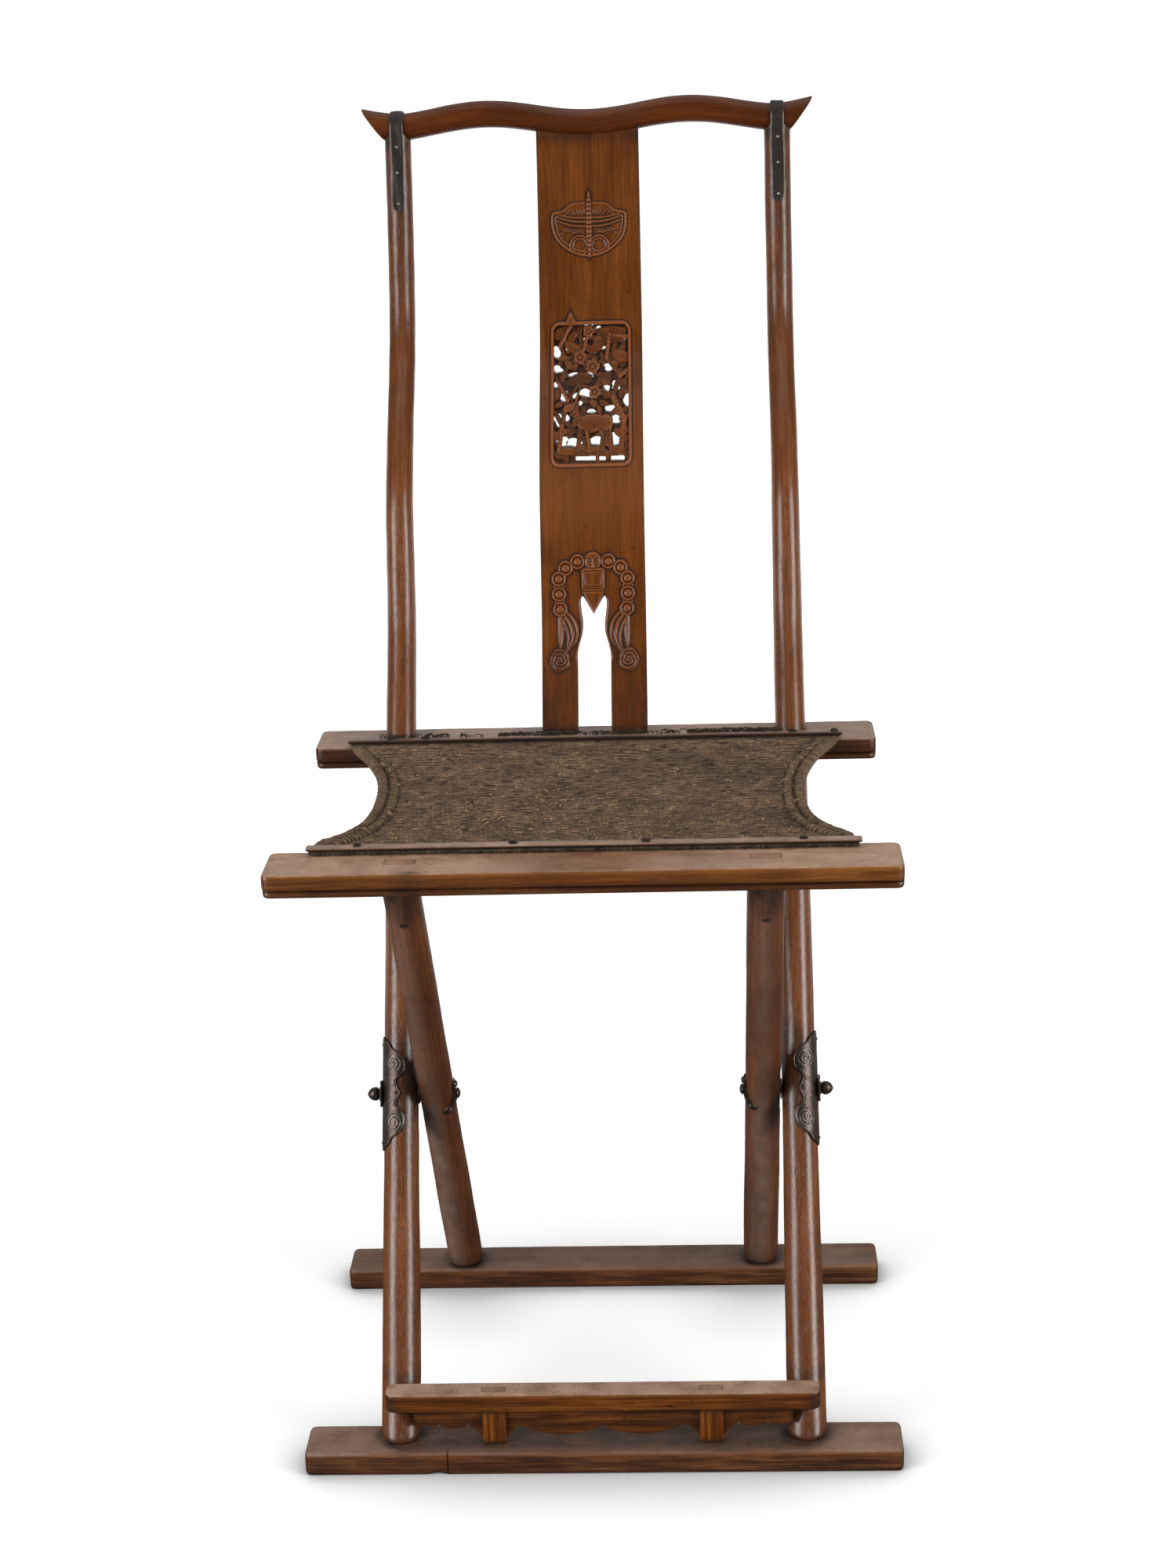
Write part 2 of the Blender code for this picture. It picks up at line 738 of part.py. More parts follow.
def splat_outline():
    """The flat board's outline over the seat, with the waisted opening that makes two feet."""
    half = SPLAT_WIDTH / 2
    low = -SPLAT_TENON
    edge = [(x * OPENING_HALF_WIDTH, z * OPENING_HEIGHT) for x, z in OPENING_SHARES]
    edge[0] = (edge[0][0], low)
    climb = [(-x, z) for x, z in edge[:-1]]
    return [(half, low), (half, BACK_RISE), (-half, BACK_RISE), (-half, low), *climb, *reversed(edge)]


def flat_ball(name, x, z, radius_x, radius_z, height, turn=0.0):
    """A low oval swelling that stands out of the splat's face."""
    face = -SPLAT_THICKNESS / 2
    slices = []
    for k in range(1, RELIEF_SLICES):
        polar = math.pi * k / RELIEF_SLICES
        ring = []
        for i in range(RELIEF_SIDES):
            angle = 2 * math.pi * i / RELIEF_SIDES
            across = radius_x * math.sin(polar) * math.cos(angle)
            up = radius_z * math.sin(polar) * math.sin(angle)
            px = x + across * math.cos(turn) - up * math.sin(turn)
            pz = z + across * math.sin(turn) + up * math.cos(turn)
            ring.append((px, face - height * math.cos(polar), pz))
        slices.append(ring)
    return loft(name, slices)


def raised_rim(name, outer, inner, height):
    """A rounded moulding on the splat's face, between two outlines of as many points."""
    face = -SPLAT_THICKNESS / 2
    middle = [((ax + bx) / 2, (az + bz) / 2) for (ax, az), (bx, bz) in zip(outer, inner)]
    rings = []
    for points, rise in ((outer, -height), (outer, height * 0.5), (middle, height),
                         (inner, height * 0.5), (inner, -height)):
        rings.append([(x, face - rise, z) for x, z in points])
    return closed_loft(name, rings)


def butterfly_outline(scale):
    """The outline of two spread wings, from a formula in the turning angle."""
    points = []
    for i in range(MEDALLION_SIDES):
        angle = 2 * math.pi * (i + 0.5) / MEDALLION_SIDES
        reach = 1.0 - 0.10 * math.cos(2 * angle) ** 2 - 0.16 * max(math.sin(angle), 0.0) ** 6
        x = MEDALLION_WIDTH / 2 * scale * reach * math.cos(angle)
        z = MEDALLION_HEIGHT / 2 * scale * reach * math.sin(angle)
        points.append((x, MEDALLION_RISE + z))
    return points


def add_medallion(board):
    """A butterfly in low relief: wings, a rim round them and a jointed body."""
    face = -SPLAT_THICKNESS / 2
    narrower = MEDALLION_RIM / MEDALLION_WIDTH
    wings = butterfly_outline(1.0 - narrower)
    fuse(board, "wings", prism("wings", [wings], face - RELIEF / 2, face + RELIEF / 2))
    rim = raised_rim("rim", butterfly_outline(1.0), butterfly_outline(1.0 - 2 * narrower), RELIEF)
    fuse(board, "rim", rim)
    for share in (-0.62, -0.28, 0.06, 0.40, 0.74):
        radius = MEDALLION_HEIGHT * 0.12
        place = MEDALLION_RISE + share * MEDALLION_HEIGHT / 2
        fuse(board, "joint", flat_ball("joint", 0.0, place, radius * 0.62, radius, 2 * RELIEF))


def add_arch(board):
    """The string of beads over the opening, its tassels, rosettes, head and block."""
    for _, side in SIDES:
        places = []
        for across, up in BEAD_PLACE_SHARES:
            x = side * across * BEAD_ARCH_HALF_WIDTH
            z = BEAD_ARCH_RISE + up * BEAD_ARCH_HEIGHT
            places.append((x, z))
            fuse(board, "bead", flat_ball("bead", x, z, BEAD_RADIUS, BEAD_RADIUS, 1.6 * RELIEF))
        add_tassel(board, side, places[-1])
    fuse(board, "head", flat_ball("head", 0.0, HEAD_RISE, HEAD_RADIUS, HEAD_RADIUS, 2.4 * RELIEF))
    half_x, half_z = CREST_BLOCK_WIDTH / 2, CREST_BLOCK_HEIGHT / 2
    corner = half_z / 3
    outline = rounded_rectangle(half_x, half_z, corner, 2)
    outline = [(x, CREST_BLOCK_RISE + z) for x, z in outline]
    face = -SPLAT_THICKNESS / 2
    fuse(board, "block", prism("block", [outline], face - 1.5 * RELIEF, face + RELIEF))


def add_tassel(board, side, bead):
    """A curved tassel from the last bead in towards the opening and out to a rosette."""
    end = (side * ROSETTE_HALF_SPACING, ROSETTE_RISE)
    fuse(board, "rosette", flat_ball("rosette", *end, ROSETTE_RADIUS, ROSETTE_RADIUS, 1.8 * RELIEF))
    fuse(board, "boss", flat_ball("boss", *end, ROSETTE_RADIUS * 0.45, ROSETTE_RADIUS * 0.45, 2.8 * RELIEF))
    for inward, start, stop, rise in TASSEL_SHARES:
        outline_in, outline_out = [], []
        for t in steps(start, stop, 5):
            pull = inward * BEAD_ARCH_HALF_WIDTH * math.sin(math.pi * t) / 2
            x = bead[0] + (end[0] - bead[0]) * t - side * pull
            z = bead[1] + (end[1] - bead[1]) * t
            width = BEAD_RADIUS * 0.42 * math.sin(math.pi * min(t + 0.15, 0.9)) + RELIEF / 2
            outline_in.append((x - side * width, z))
            outline_out.append((x + side * width, z))
        face = -SPLAT_THICKNESS / 2
        outline = outline_in + outline_out[::-1]
        strip = prism("tassel", [outline], face - RELIEF * rise, face + RELIEF * rise)
        fuse(board, "tassel", strip)


# Pierced panel: leaves, stems, blossoms and a deer under a tree, as shares of the window
# Each stem or limb is (x, z, x, z, half width), each leaf or body (x, z, length, width, turn)

PANEL_STEM_SHARES = (
    (0.80, -0.80, 0.88, -0.38, 0.085), (0.88, -0.38, 0.58, -0.06, 0.080),
    (0.58, -0.06, 0.78, 0.24, 0.070), (0.78, 0.24, 0.42, 0.50, 0.065),
    (0.42, 0.50, 0.50, 0.84, 0.060), (0.58, -0.06, 0.12, 0.04, 0.055),
    (0.12, 0.04, -0.34, 0.12, 0.050), (0.78, 0.24, 1.05, 0.34, 0.060),
    (0.42, 0.50, 0.02, 0.38, 0.055), (0.88, -0.38, 1.05, -0.30, 0.060),
    (-0.86, -0.80, -0.78, -0.46, 0.065), (-0.78, -0.46, -1.05, -0.20, 0.055),
    (-0.78, -0.46, -0.62, -0.10, 0.055), (-0.62, -0.10, -0.86, 0.14, 0.055),
    (-0.86, 0.14, -0.60, 0.40, 0.055), (-0.60, 0.40, -0.84, 0.68, 0.055),
    (-0.84, 0.68, -0.52, 1.02, 0.055), (-0.60, 0.40, -0.24, 0.52, 0.055),
    (-0.24, 0.52, 0.04, 0.40, 0.050), (-0.24, 0.52, -0.10, 0.84, 0.050),
    (-0.86, 0.14, -1.05, 0.30, 0.055), (-0.34, 0.12, -0.62, -0.10, 0.045),
    (0.50, 0.84, 0.98, 0.80, 0.060), (-0.10, 0.84, 0.20, 1.02, 0.050),
    (-0.30, -0.52, -0.36, -0.82, 0.060), (-0.12, -0.54, -0.04, -0.82, 0.055),
    (0.34, -0.52, 0.26, -0.82, 0.060), (0.48, -0.46, 0.54, -0.82, 0.060),
    (-0.30, -0.42, -0.46, -0.22, 0.105), (0.46, -0.36, 0.66, -0.24, 0.040),
    (-0.48, -0.16, -0.60, 0.02, 0.035), (-0.44, -0.16, -0.30, 0.06, 0.035),
    (-1.05, -0.86, 1.05, -0.86, 0.070), (0.16, -0.86, 0.16, -1.05, 0.050),
)
PANEL_LEAF_SHARES = (
    (0.56, 0.84, 0.40, 0.13, 0.0), (0.80, 0.52, 0.26, 0.09, -0.3), (0.16, 0.66, 0.22, 0.075, 0.5),
    (-0.30, 0.18, 0.34, 0.085, 0.15), (0.34, 0.18, 0.20, 0.085, 0.4), (-0.84, 0.86, 0.18, 0.085, 0.6),
    (-0.50, 0.66, 0.24, 0.075, -0.5), (-0.96, -0.02, 0.18, 0.075, 0.9), (0.92, 0.04, 0.20, 0.070, 0.7),
    (-0.58, -0.54, 0.16, 0.060, 0.8), (0.74, -0.58, 0.16, 0.055, -0.6), (-0.96, -0.60, 0.14, 0.06, -0.5),
    (0.06, -0.42, 0.44, 0.125, 0.0), (-0.58, -0.20, 0.17, 0.060, 0.25), (0.40, -0.42, 0.18, 0.120, 0.0),
    (0.02, -0.80, 0.30, 0.050, 0.0), (-0.62, -0.82, 0.26, 0.060, 0.0), (0.72, -0.82, 0.24, 0.060, 0.0),
)
PANEL_BLOSSOM_SHARES = ((0.04, 0.38, 0.21), (-0.30, 0.52, 0.20), (0.10, 0.02, 0.18), (-0.06, 0.90, 0.17))


def panel_half_size():
    return PANEL_WIDTH / 2 - PANEL_BORDER, PANEL_HEIGHT / 2 - PANEL_BORDER


def carved_cover(x, z):
    """How far a point of the window lies inside the carving; below zero it is pierced."""
    half_x, half_z = panel_half_size()
    best = -half_x
    for ax, az, bx, bz, width in PANEL_STEM_SHARES:
        start = Vector((ax * half_x, az * half_z))
        run = Vector((bx * half_x, bz * half_z)) - start
        away = Vector((x, z)) - start
        place = min(max(away.dot(run) / run.length_squared, 0.0), 1.0)
        best = max(best, width * half_x - (away - run * place).length)
    for cx, cz, length, width, turn in PANEL_LEAF_SHARES:
        dx, dz = x - cx * half_x, z - cz * half_z
        along = dx * math.cos(turn) + dz * math.sin(turn)
        across = dz * math.cos(turn) - dx * math.sin(turn)
        size_x, size_z = length * half_x, width * half_z
        best = max(best, (1.0 - math.hypot(along / size_x, across / size_z)) * min(size_x, size_z))
    for cx, cz, size in PANEL_BLOSSOM_SHARES:
        dx, dz = x - cx * half_x, z - cz * half_z
        petals = size * half_x * (0.88 + 0.12 * math.cos(5 * math.atan2(dz, dx)))
        best = max(best, petals - math.hypot(dx, dz))
    corner = PANEL_CORNER - PANEL_BORDER
    out_x = max(abs(x) - half_x + corner, 0.0)
    out_z = max(abs(z) - half_z + corner, 0.0)
    return max(best, math.hypot(out_x, out_z) - corner)


def pierced_outlines():
    """Trace the edges of all the holes on a grid of squares."""
    half_x, half_z = panel_half_size()
    margin = PANEL_BORDER / 2
    across, up = PANEL_GRID
    xs = steps(-half_x - margin, half_x + margin, across)
    zs = steps(-half_z - margin, half_z + margin, up)
    cover = [[carved_cover(x, z) for z in zs] for x in xs]

    def crossing(a, b):
        (ia, ja), (ib, jb) = a, b
        share = cover[ia][ja] / (cover[ia][ja] - cover[ib][jb])
        share = min(max(share, 0.08), 0.92)
        return (xs[ia] + (xs[ib] - xs[ia]) * share, zs[ja] + (zs[jb] - zs[ja]) * share)

    follow = {}
    for i in range(across):
        for j in range(up):
            corners = [(i, j), (i + 1, j), (i + 1, j + 1), (i, j + 1)]
            open_here = [cover[a][b] < 0.0 for a, b in corners]
            leave = [k for k in range(4) if open_here[k] and not open_here[(k + 1) % 4]]
            enter = [k for k in range(4) if not open_here[k] and open_here[(k + 1) % 4]]
            for k in leave:
                before = next((k - m) % 4 for m in range(1, 4) if (k - m) % 4 in enter)
                start = (corners[k], corners[(k + 1) % 4])
                end = (corners[before], corners[(before + 1) % 4])
                follow[frozenset(start)] = (frozenset(end), crossing(*start))
    outlines = []
    while follow:
        first = next(iter(follow))
        outline, here = [], first
        while here in follow:
            here, point = follow.pop(here)
            outline.append(Vector(point))
        if abs(area_of(outline)) > PANEL_LEAST_HOLE**2:
            outlines.append(straighten(outline))
    return outlines


def area_of(outline):
    return sum(a.x * b.y - b.x * a.y for a, b in zip(outline, outline[1:] + outline[:1])) / 2


def straighten(outline):
    """Drop every point that lies almost on the line between its neighbours."""
    kept = outline
    while len(kept) > 4:
        count = len(kept)
        bends = []
        for i, point in enumerate(kept):
            before, after = kept[i - 1], kept[(i + 1) % count]
            run = (after - before).normalized()
            away = point - before
            bends.append(abs(run.x * away.y - run.y * away.x))
        least = min(bends)
        if least > PANEL_SMOOTHING:
            break
        kept = [point for i, point in enumerate(kept) if i != bends.index(least)]
    return kept


def add_border(board):
    """A moulded border round the window."""
    half_x, half_z = PANEL_WIDTH / 2, PANEL_HEIGHT / 2
    outer = [(x, PANEL_RISE + z) for x, z in rounded_rectangle(half_x, half_z, PANEL_CORNER)]
    width = PANEL_BORDER - RIM_SETBACK
    inner_corner = PANEL_CORNER - width
    inner = rounded_rectangle(half_x - width, half_z - width, inner_corner)
    inner = [(x, PANEL_RISE + z) for x, z in inner]
    fuse(board, "border", raised_rim("border", outer, inner, RELIEF))


def pierce(board):
    """Cut all the window's holes through the board."""
    reach = SPLAT_THICKNESS / 2 + CUT_OVERRUN
    holes = [[(x, PANEL_RISE + z) for x, z in outline] for outline in pierced_outlines()]
    cut(board, "piercings", prism("piercings", holes, -reach, reach))


def splat(slot):
    """The S-curved back board with its medallion, pierced panel and beaded opening."""
    half = SPLAT_THICKNESS / 2
    made = new_object("splat", prism("splat", [splat_outline()], -half, half), slot)
    add_medallion(made)
    add_border(made)
    add_arch(made)
    pierce(made)
    bend_splat(made.data)
    cut(made, "crest_groove", crest_mesh(GAP))
    return made


# Footrest

def footrest_blank(extra=0.0):
    """The footrest board before its mortises, or with extra the notch for it."""
    front = FRONT_BAR_SETBACK + REST_SETBACK
    centre = (0.0, front + REST_DEPTH / 2)
    half = (REST_LENGTH / 2 + extra, REST_DEPTH / 2 + extra)
    low, high = REST_UNDERSIDE - extra, REST_UNDERSIDE + REST_HEIGHT + extra
    corner = min(REST_CORNER, REST_DEPTH / 2 - REST_EDGE)
    return stacked_board("footrest_board", centre, half, corner, eased_levels(low, high, REST_EDGE))


def strut_tenon(x, extra):
    """A strut's flat tenon through the board, or with extra its mortise."""
    middle = FRONT_BAR_SETBACK + STRUT_SETBACK + STRUT_DEPTH / 2
    half_y = STRUT_TENON_DEPTH / 2 + extra
    half_x = STRUT_WIDTH / 2 + extra
    high = REST_UNDERSIDE + REST_HEIGHT + (CUT_OVERRUN if extra else -GAP)
    low = REST_UNDERSIDE - STRUT_TENON_DEPTH
    return box("strut_tenon", (x - half_x, middle - half_y, low), (x + half_x, middle + half_y, high))


def footrest_board(slot):
    made = new_object("footrest_board", footrest_blank(), slot)
    for _, side in SIDES:
        cut(made, "mortise", strut_tenon(side * STRUT_SPACING / 2, GAP))
    return made


def footrest_strut(label, side, slot):
    """A short square post between the foot bar and the board."""
    x = side * STRUT_SPACING / 2
    front = FRONT_BAR_SETBACK + STRUT_SETBACK
    low = (x - STRUT_WIDTH / 2, front, FOOT_BAR_HEIGHT + GAP)
    high = (x + STRUT_WIDTH / 2, front + STRUT_DEPTH, REST_UNDERSIDE - GAP)
    made = new_object(f"footrest_strut_{label}", box("footrest_strut", low, high), slot)
    fuse(made, "tenon", strut_tenon(x, 0.0))
    return made


def centre_apron_drop(share):
    """The cusped lower edge between the struts: two lobes and a middle notch."""
    along = abs(share)
    if along > 0.82:
        return 1.0 - 0.46 * math.sin((1.0 - along) / 0.18 * math.pi / 2)
    return 0.54 + 0.32 * abs(math.sin(math.pi * min(along / 0.82, 1.0))) ** 0.7


def side_apron_drop(share):
    """The wing from a strut to the stile: full height, a cusp and a thin tip."""
    if share < 0.22:
        return 1.0 - 0.42 * math.sin(share / 0.22 * math.pi / 2)
    if share < 0.66:
        return 0.52 + 0.10 * math.sin((share - 0.22) / 0.44 * math.pi)
    return 0.40 - 0.28 * (share - 0.66) / 0.34


def apron(name, near_x, far_x, drop, slot):
    """A thin shaped board under the footrest, from one x to another."""
    top = REST_UNDERSIDE - GAP
    depth = top - FOOT_BAR_HEIGHT - GAP
    lower, upper = [], []
    for share in steps(0.0, 1.0, APRON_STEPS):
        x = near_x + (far_x - near_x) * share
        lower.append((x, top - min(APRON_DROP * drop(share), depth)))
    upper = [(far_x, top), (near_x, top)]
    front = FRONT_BAR_SETBACK + STRUT_SETBACK + APRON_SETBACK
    return new_object(name, prism(name, [lower + upper], front, front + APRON_THICKNESS), slot)


def aprons(slot):
    """The centre apron between the struts and a wing outside each strut."""
    inner = STRUT_SPACING / 2 - STRUT_WIDTH / 2 - GAP
    outer = STRUT_SPACING / 2 + STRUT_WIDTH / 2 + GAP
    end = STILE_SPACING / 2 - APRON_WING
    made = [apron("footrest_apron_centre", -inner, inner, lambda t: centre_apron_drop(2 * t - 1), slot)]
    for label, side in SIDES:
        made.append(apron(f"footrest_apron_{label}", side * outer, side * end, side_apron_drop, slot))
    for piece in made[1:]:
        for _, side in SIDES:
            cut(piece, "stile_clearance", stile_mesh("stile_clearance", side, GAP))
    return made


# Irons

def wrap_point(line, radius_at, x, side, lift, along, around):
    """A point over a leaning stick: along it, round it from its outer side, and off its skin."""
    lean = math.atan(slope_at(line, PIVOT_Z))
    axis = Vector((0.0, math.sin(lean), math.cos(lean)))
    cross = Vector((0.0, math.cos(lean), -math.sin(lean)))
    out = Vector((side, 0.0, 0.0))
    centre = Vector((x, PIVOT_Y, PIVOT_Z)) + axis * along
    radius = radius_at(centre.z) + lift
    return centre + out * (radius * math.cos(around)) + cross * (radius * math.sin(around))


def leg_plate(label, side, slot):
    """The cusped iron sheet wrapped round the outer side of a stile at the pivot."""
    x = side * STILE_SPACING / 2
    low, high = PIVOT_Z - PLATE_HALF_LENGTH, PIVOT_Z + PLATE_HALF_LENGTH
    sleeve = []
    for z, lift in ((low, GAP), (low, GAP + PLATE_THICKNESS), (high, GAP + PLATE_THICKNESS), (high, GAP)):
        sleeve.append(slice_of(x, stile_y, z, stile_radius(z) + lift))
    made = new_object(f"leg_plate_{label}", closed_loft("leg_plate", sleeve), slot)
    combine(made, cutter("outline", plate_wedge(x, side)), "INTERSECT")
    cut(made, "pin_bore", pin_bore("pin_bore", side * CROSSING_X))
    return made


def plate_wedge(x, side):
    """The plate's cusped outline, as a thick wedge out from the middle of the stile."""
    inside = -stile_radius(PIVOT_Z) / 2
    rings = []
    for share in steps(-1.0, 1.0, PLATE_ROWS):
        reach = math.pi * PLATE_REACH_SHARE * smooth_value(PLATE_OUTLINE_SHARES, abs(share))
        along = share * PLATE_HALF_LENGTH
        outer = [(CUT_OVERRUN, angle) for angle in steps(-reach, reach, PLATE_COLUMNS)]
        inner = [(inside, angle) for angle in steps(reach, -reach, PLATE_COLUMNS)]
        rings.append([
            wrap_point(stile_y, stile_radius, x, side, lift, along, angle)
            for lift, angle in outer + inner
        ])
    return loft("plate_wedge", rings)


def trefoil_plate(label, side, slot):
    """The three-lobed plate on the inner side of a short leg, with a domed nail on each lobe."""
    x = side * LEG_SPACING / 2
    hole = PIN_RADIUS + GAP
    outward = [(share, GAP) for share in steps(0.0, 1.0, TREFOIL_RINGS)]
    back = [(share, GAP + PLATE_THICKNESS) for share in steps(1.0, 0.0, TREFOIL_RINGS)]
    rings = []
    for share, lift in outward + back:
        ring = []
        for i in range(TREFOIL_SIDES):
            angle = 2 * math.pi * i / TREFOIL_SIDES
            lobe = 1.0 - TREFOIL_LOBE_SHARE * (1.0 - math.cos(3 * angle)) / 2
            reach = hole + (TREFOIL_RADIUS * lobe - hole) * share
            along, around = reach * math.cos(angle), reach * math.sin(angle) / leg_radius(PIVOT_Z)
            ring.append(wrap_point(leg_y, leg_radius, x, -side, lift, along, around))
        rings.append(ring)
    made = new_object(f"trefoil_plate_{label}", closed_loft("trefoil_plate", rings), slot)
    for i in range(3):
        angle = 2 * math.pi * i / 3
        reach = TREFOIL_RADIUS * TREFOIL_BOSS_PLACE_SHARE
        along, around = reach * math.cos(angle), reach * math.sin(angle) / leg_radius(PIVOT_Z)
        low = wrap_point(leg_y, leg_radius, x, -side, GAP + PLATE_THICKNESS / 2, along, around)
        lift = GAP + PLATE_THICKNESS + TREFOIL_BOSS_RADIUS
        high = wrap_point(leg_y, leg_radius, x, -side, lift, along, around)
        fuse(made, "dome", dome("dome", low, high, TREFOIL_BOSS_RADIUS))
    return made


def dome(name, base, top, radius):
    """A round nail head between its base and its top."""
    axis = top - base
    turn = Vector((0.0, 0.0, 1.0)).rotation_difference(axis).to_matrix()
    rings = []
    for share in (0.0, 0.45, 0.8, 0.97):
        ring = []
        for i in range(RELIEF_SIDES):
            angle = 2 * math.pi * i / RELIEF_SIDES
            wide = radius * math.sqrt(1.0 - share**2)
            flat = Vector((wide * math.cos(angle), wide * math.sin(angle), axis.length * share))
            ring.append(base + turn @ flat)
        rings.append(ring)
    return loft(name, rings)


def pivot_pin(label, side, slot):
    """A pin through both sticks, with a domed inner head and an acorn finial outside."""
    inner = LEG_SPACING / 2 - leg_radius(PIVOT_Z) - PLATE_THICKNESS - 2 * GAP
    outer = STILE_SPACING / 2 + stile_radius(PIVOT_Z) + PLATE_THICKNESS + 2 * GAP
    seat = outer + PETAL_THICKNESS + GAP
    profile = [
        (inner - PIN_HEAD_HEIGHT, PIN_HEAD_RADIUS * 0.35),
        (inner - PIN_HEAD_HEIGHT * 0.7, PIN_HEAD_RADIUS * 0.8),
        (inner, PIN_HEAD_RADIUS), (inner, PIN_RADIUS), (seat, PIN_RADIUS),
    ]
    for along, wide in FINIAL_SHARES:
        profile.append((seat + FINIAL_LENGTH * along, FINIAL_RADIUS * wide))
    mesh = turned("pivot_pin", [(side * x, radius) for x, radius in profile])
    return new_object(f"pivot_pin_{label}", mesh, slot)


def pivot_washer(label, side, slot):
    """The washer that keeps the stile and the short leg apart."""
    low = CROSSING_X - WASHER_THICKNESS / 2
    high = CROSSING_X + WASHER_THICKNESS / 2
    made = new_object(
        f"pivot_washer_{label}",
        turned("pivot_washer", [(side * low, WASHER_RADIUS), (side * high, WASHER_RADIUS)]), slot,
    )
    cut(made, "pin_bore", pin_bore("pin_bore", side * CROSSING_X))
    return made


def petal_washer(label, side, slot):
    """The petalled washer under the finial."""
    low = STILE_SPACING / 2 + stile_radius(PIVOT_Z) + PLATE_THICKNESS + 2 * GAP
    rings = []
    for x in (low, low + PETAL_THICKNESS):
        ring = []
        for i in range(PETAL_SIDES):
            angle = 2 * math.pi * i / PETAL_SIDES
            radius = PETAL_RADIUS * (1.0 - PETAL_DEPTH_SHARE * (1.0 - math.cos(8 * angle)) / 2)
            ring.append((side * x, PIVOT_Y + radius * math.cos(angle), PIVOT_Z + radius * math.sin(angle)))
        rings.append(ring)
    made = new_object(f"petal_washer_{label}", loft("petal_washer", rings), slot)
    cut(made, "pin_bore", pin_bore("pin_bore", side * CROSSING_X))
    return made


def strap_centre():
    """The strap's way in the YZ plane: up the stile's front, over the crest rail, down its back."""
    lift = GAP + STRAP_THICKNESS / 2
    low = CREST_Z - STRAP_DROP
    front, back = [], []
    for z in steps(low, CREST_Z, STRAP_ROWS)[:-1]:
        reach = stile_radius(z) * stretch_at(stile_y, z) + lift
        front.append((stile_y(z) - reach, z))
        back.append((stile_y(z) + reach, z))
    bend = []
    reach = crest_radius(STILE_SPACING / CREST_LENGTH) + lift + STRAP_FIT
    for angle in steps(math.pi, 0.0, STRAP_ROWS):
        bend.append((CREST_Y + reach * math.cos(angle), CREST_Z + reach * math.sin(angle)))
    return front + bend + back[::-1]


def strap_iron(label, side, slot):
    """A thin iron strap folded over the crest rail, with round ends."""
    middle = side * STILE_SPACING / 2
    way = strap_centre()
    rings = []
    for k, (y, z) in enumerate(way):
        before, after = way[max(k - 1, 0)], way[min(k + 1, len(way) - 1)]
        run = Vector((0.0, after[0] - before[0], after[1] - before[1])).normalized()
        out = Vector((0.0, -run.z, run.y)) * (STRAP_THICKNESS / 2)
        half = STRAP_WIDTH / 2
        if k in (0, len(way) - 1):
            half = STRAP_WIDTH / 4
        centre = Vector((middle, y, z))
        wide = Vector((half, 0.0, 0.0))
        rings.append([centre - wide - out, centre + wide - out, centre + wide + out, centre - wide + out])
    return new_object(f"strap_iron_{label}", loft("strap_iron", rings), slot)


# Seat

def web_half_width(share):
    """Half the seat's width from the front (-1) to the rear (1): waisted in the middle."""
    return SEAT_WAIST_HALF_WIDTH + (SEAT_HALF_WIDTH - SEAT_WAIST_HALF_WIDTH) * abs(share) ** 2.6


def web_half_thickness(from_edge):
    """Half the seat's thickness: a fat rolled edge on each side of a thin web."""
    if from_edge > WEB_EDGE_WIDTH:
        return WEB_THICKNESS / 2
    bulge = math.sin(math.pi * from_edge / WEB_EDGE_WIDTH)
    swell = (WEB_EDGE_THICKNESS - WEB_THICKNESS) / 2
    return WEB_THICKNESS / 2 + swell * bulge


def seat_webbing(slot):
    """The sagging woven seat, with its two ends laid on the rails under the battens."""
    front = SEAT_RAIL_WIDTH - WEB_HEM
    rear = SEAT_RAIL_PITCH + WEB_HEM
    span_low, span_high = SEAT_RAIL_WIDTH, SEAT_RAIL_PITCH
    levels = [front, (front + span_low) / 2]
    levels += steps(span_low - GAP, span_high + GAP, WEB_ROWS)
    levels += [(rear + span_high) / 2, rear]
    rest = SEAT_HEIGHT + GAP + WEB_THICKNESS / 2
    rings = []
    for y in levels:
        share = (y - (span_low + span_high) / 2) / ((span_high - span_low) / 2)
        hang = SEAT_SAG * (1.0 - min(abs(share), 1.0) ** 2)
        half = web_half_width(min(max(share, -1.0), 1.0))
        free = 1.0 if abs(share) < 1.0 - WEB_HEM / SEAT_RAIL_WIDTH / 2 else 0.0
        edge_places = [WEB_EDGE_WIDTH * t for t in (0.0, 0.2, 0.5, 0.8, 1.1)]
        inner = half - edge_places[-1]
        across = [-half + e for e in edge_places] + steps(-inner, inner, WEB_COLUMNS)[1:-1]
        across += [half - e for e in reversed(edge_places)]
        over, under = [], []
        for x in across:
            from_edge = max(half - abs(x), 0.0)
            thick = web_half_thickness(from_edge) if free else WEB_THICKNESS / 2
            thick *= 0.55 if from_edge == 0.0 else 1.0
            over.append((x, y, rest - hang + thick))
            under.append((x, y, rest - hang - thick))
        rings.append(over + under[::-1])
    return new_object("seat_webbing", loft("seat_webbing", rings), slot)


def batten(name, middle_y, slot):
    """A thin strip pinned over the end of the seat."""
    low = SEAT_HEIGHT + WEB_THICKNESS + 2 * GAP
    levels = eased_levels(low, low + BATTEN_HEIGHT, BATTEN_EDGE)
    half = (BATTEN_LENGTH / 2, BATTEN_WIDTH / 2)
    mesh = stacked_board(name, (0.0, middle_y), half, BATTEN_EDGE * 2, levels)
    return new_object(name, mesh, slot)


# Assembly

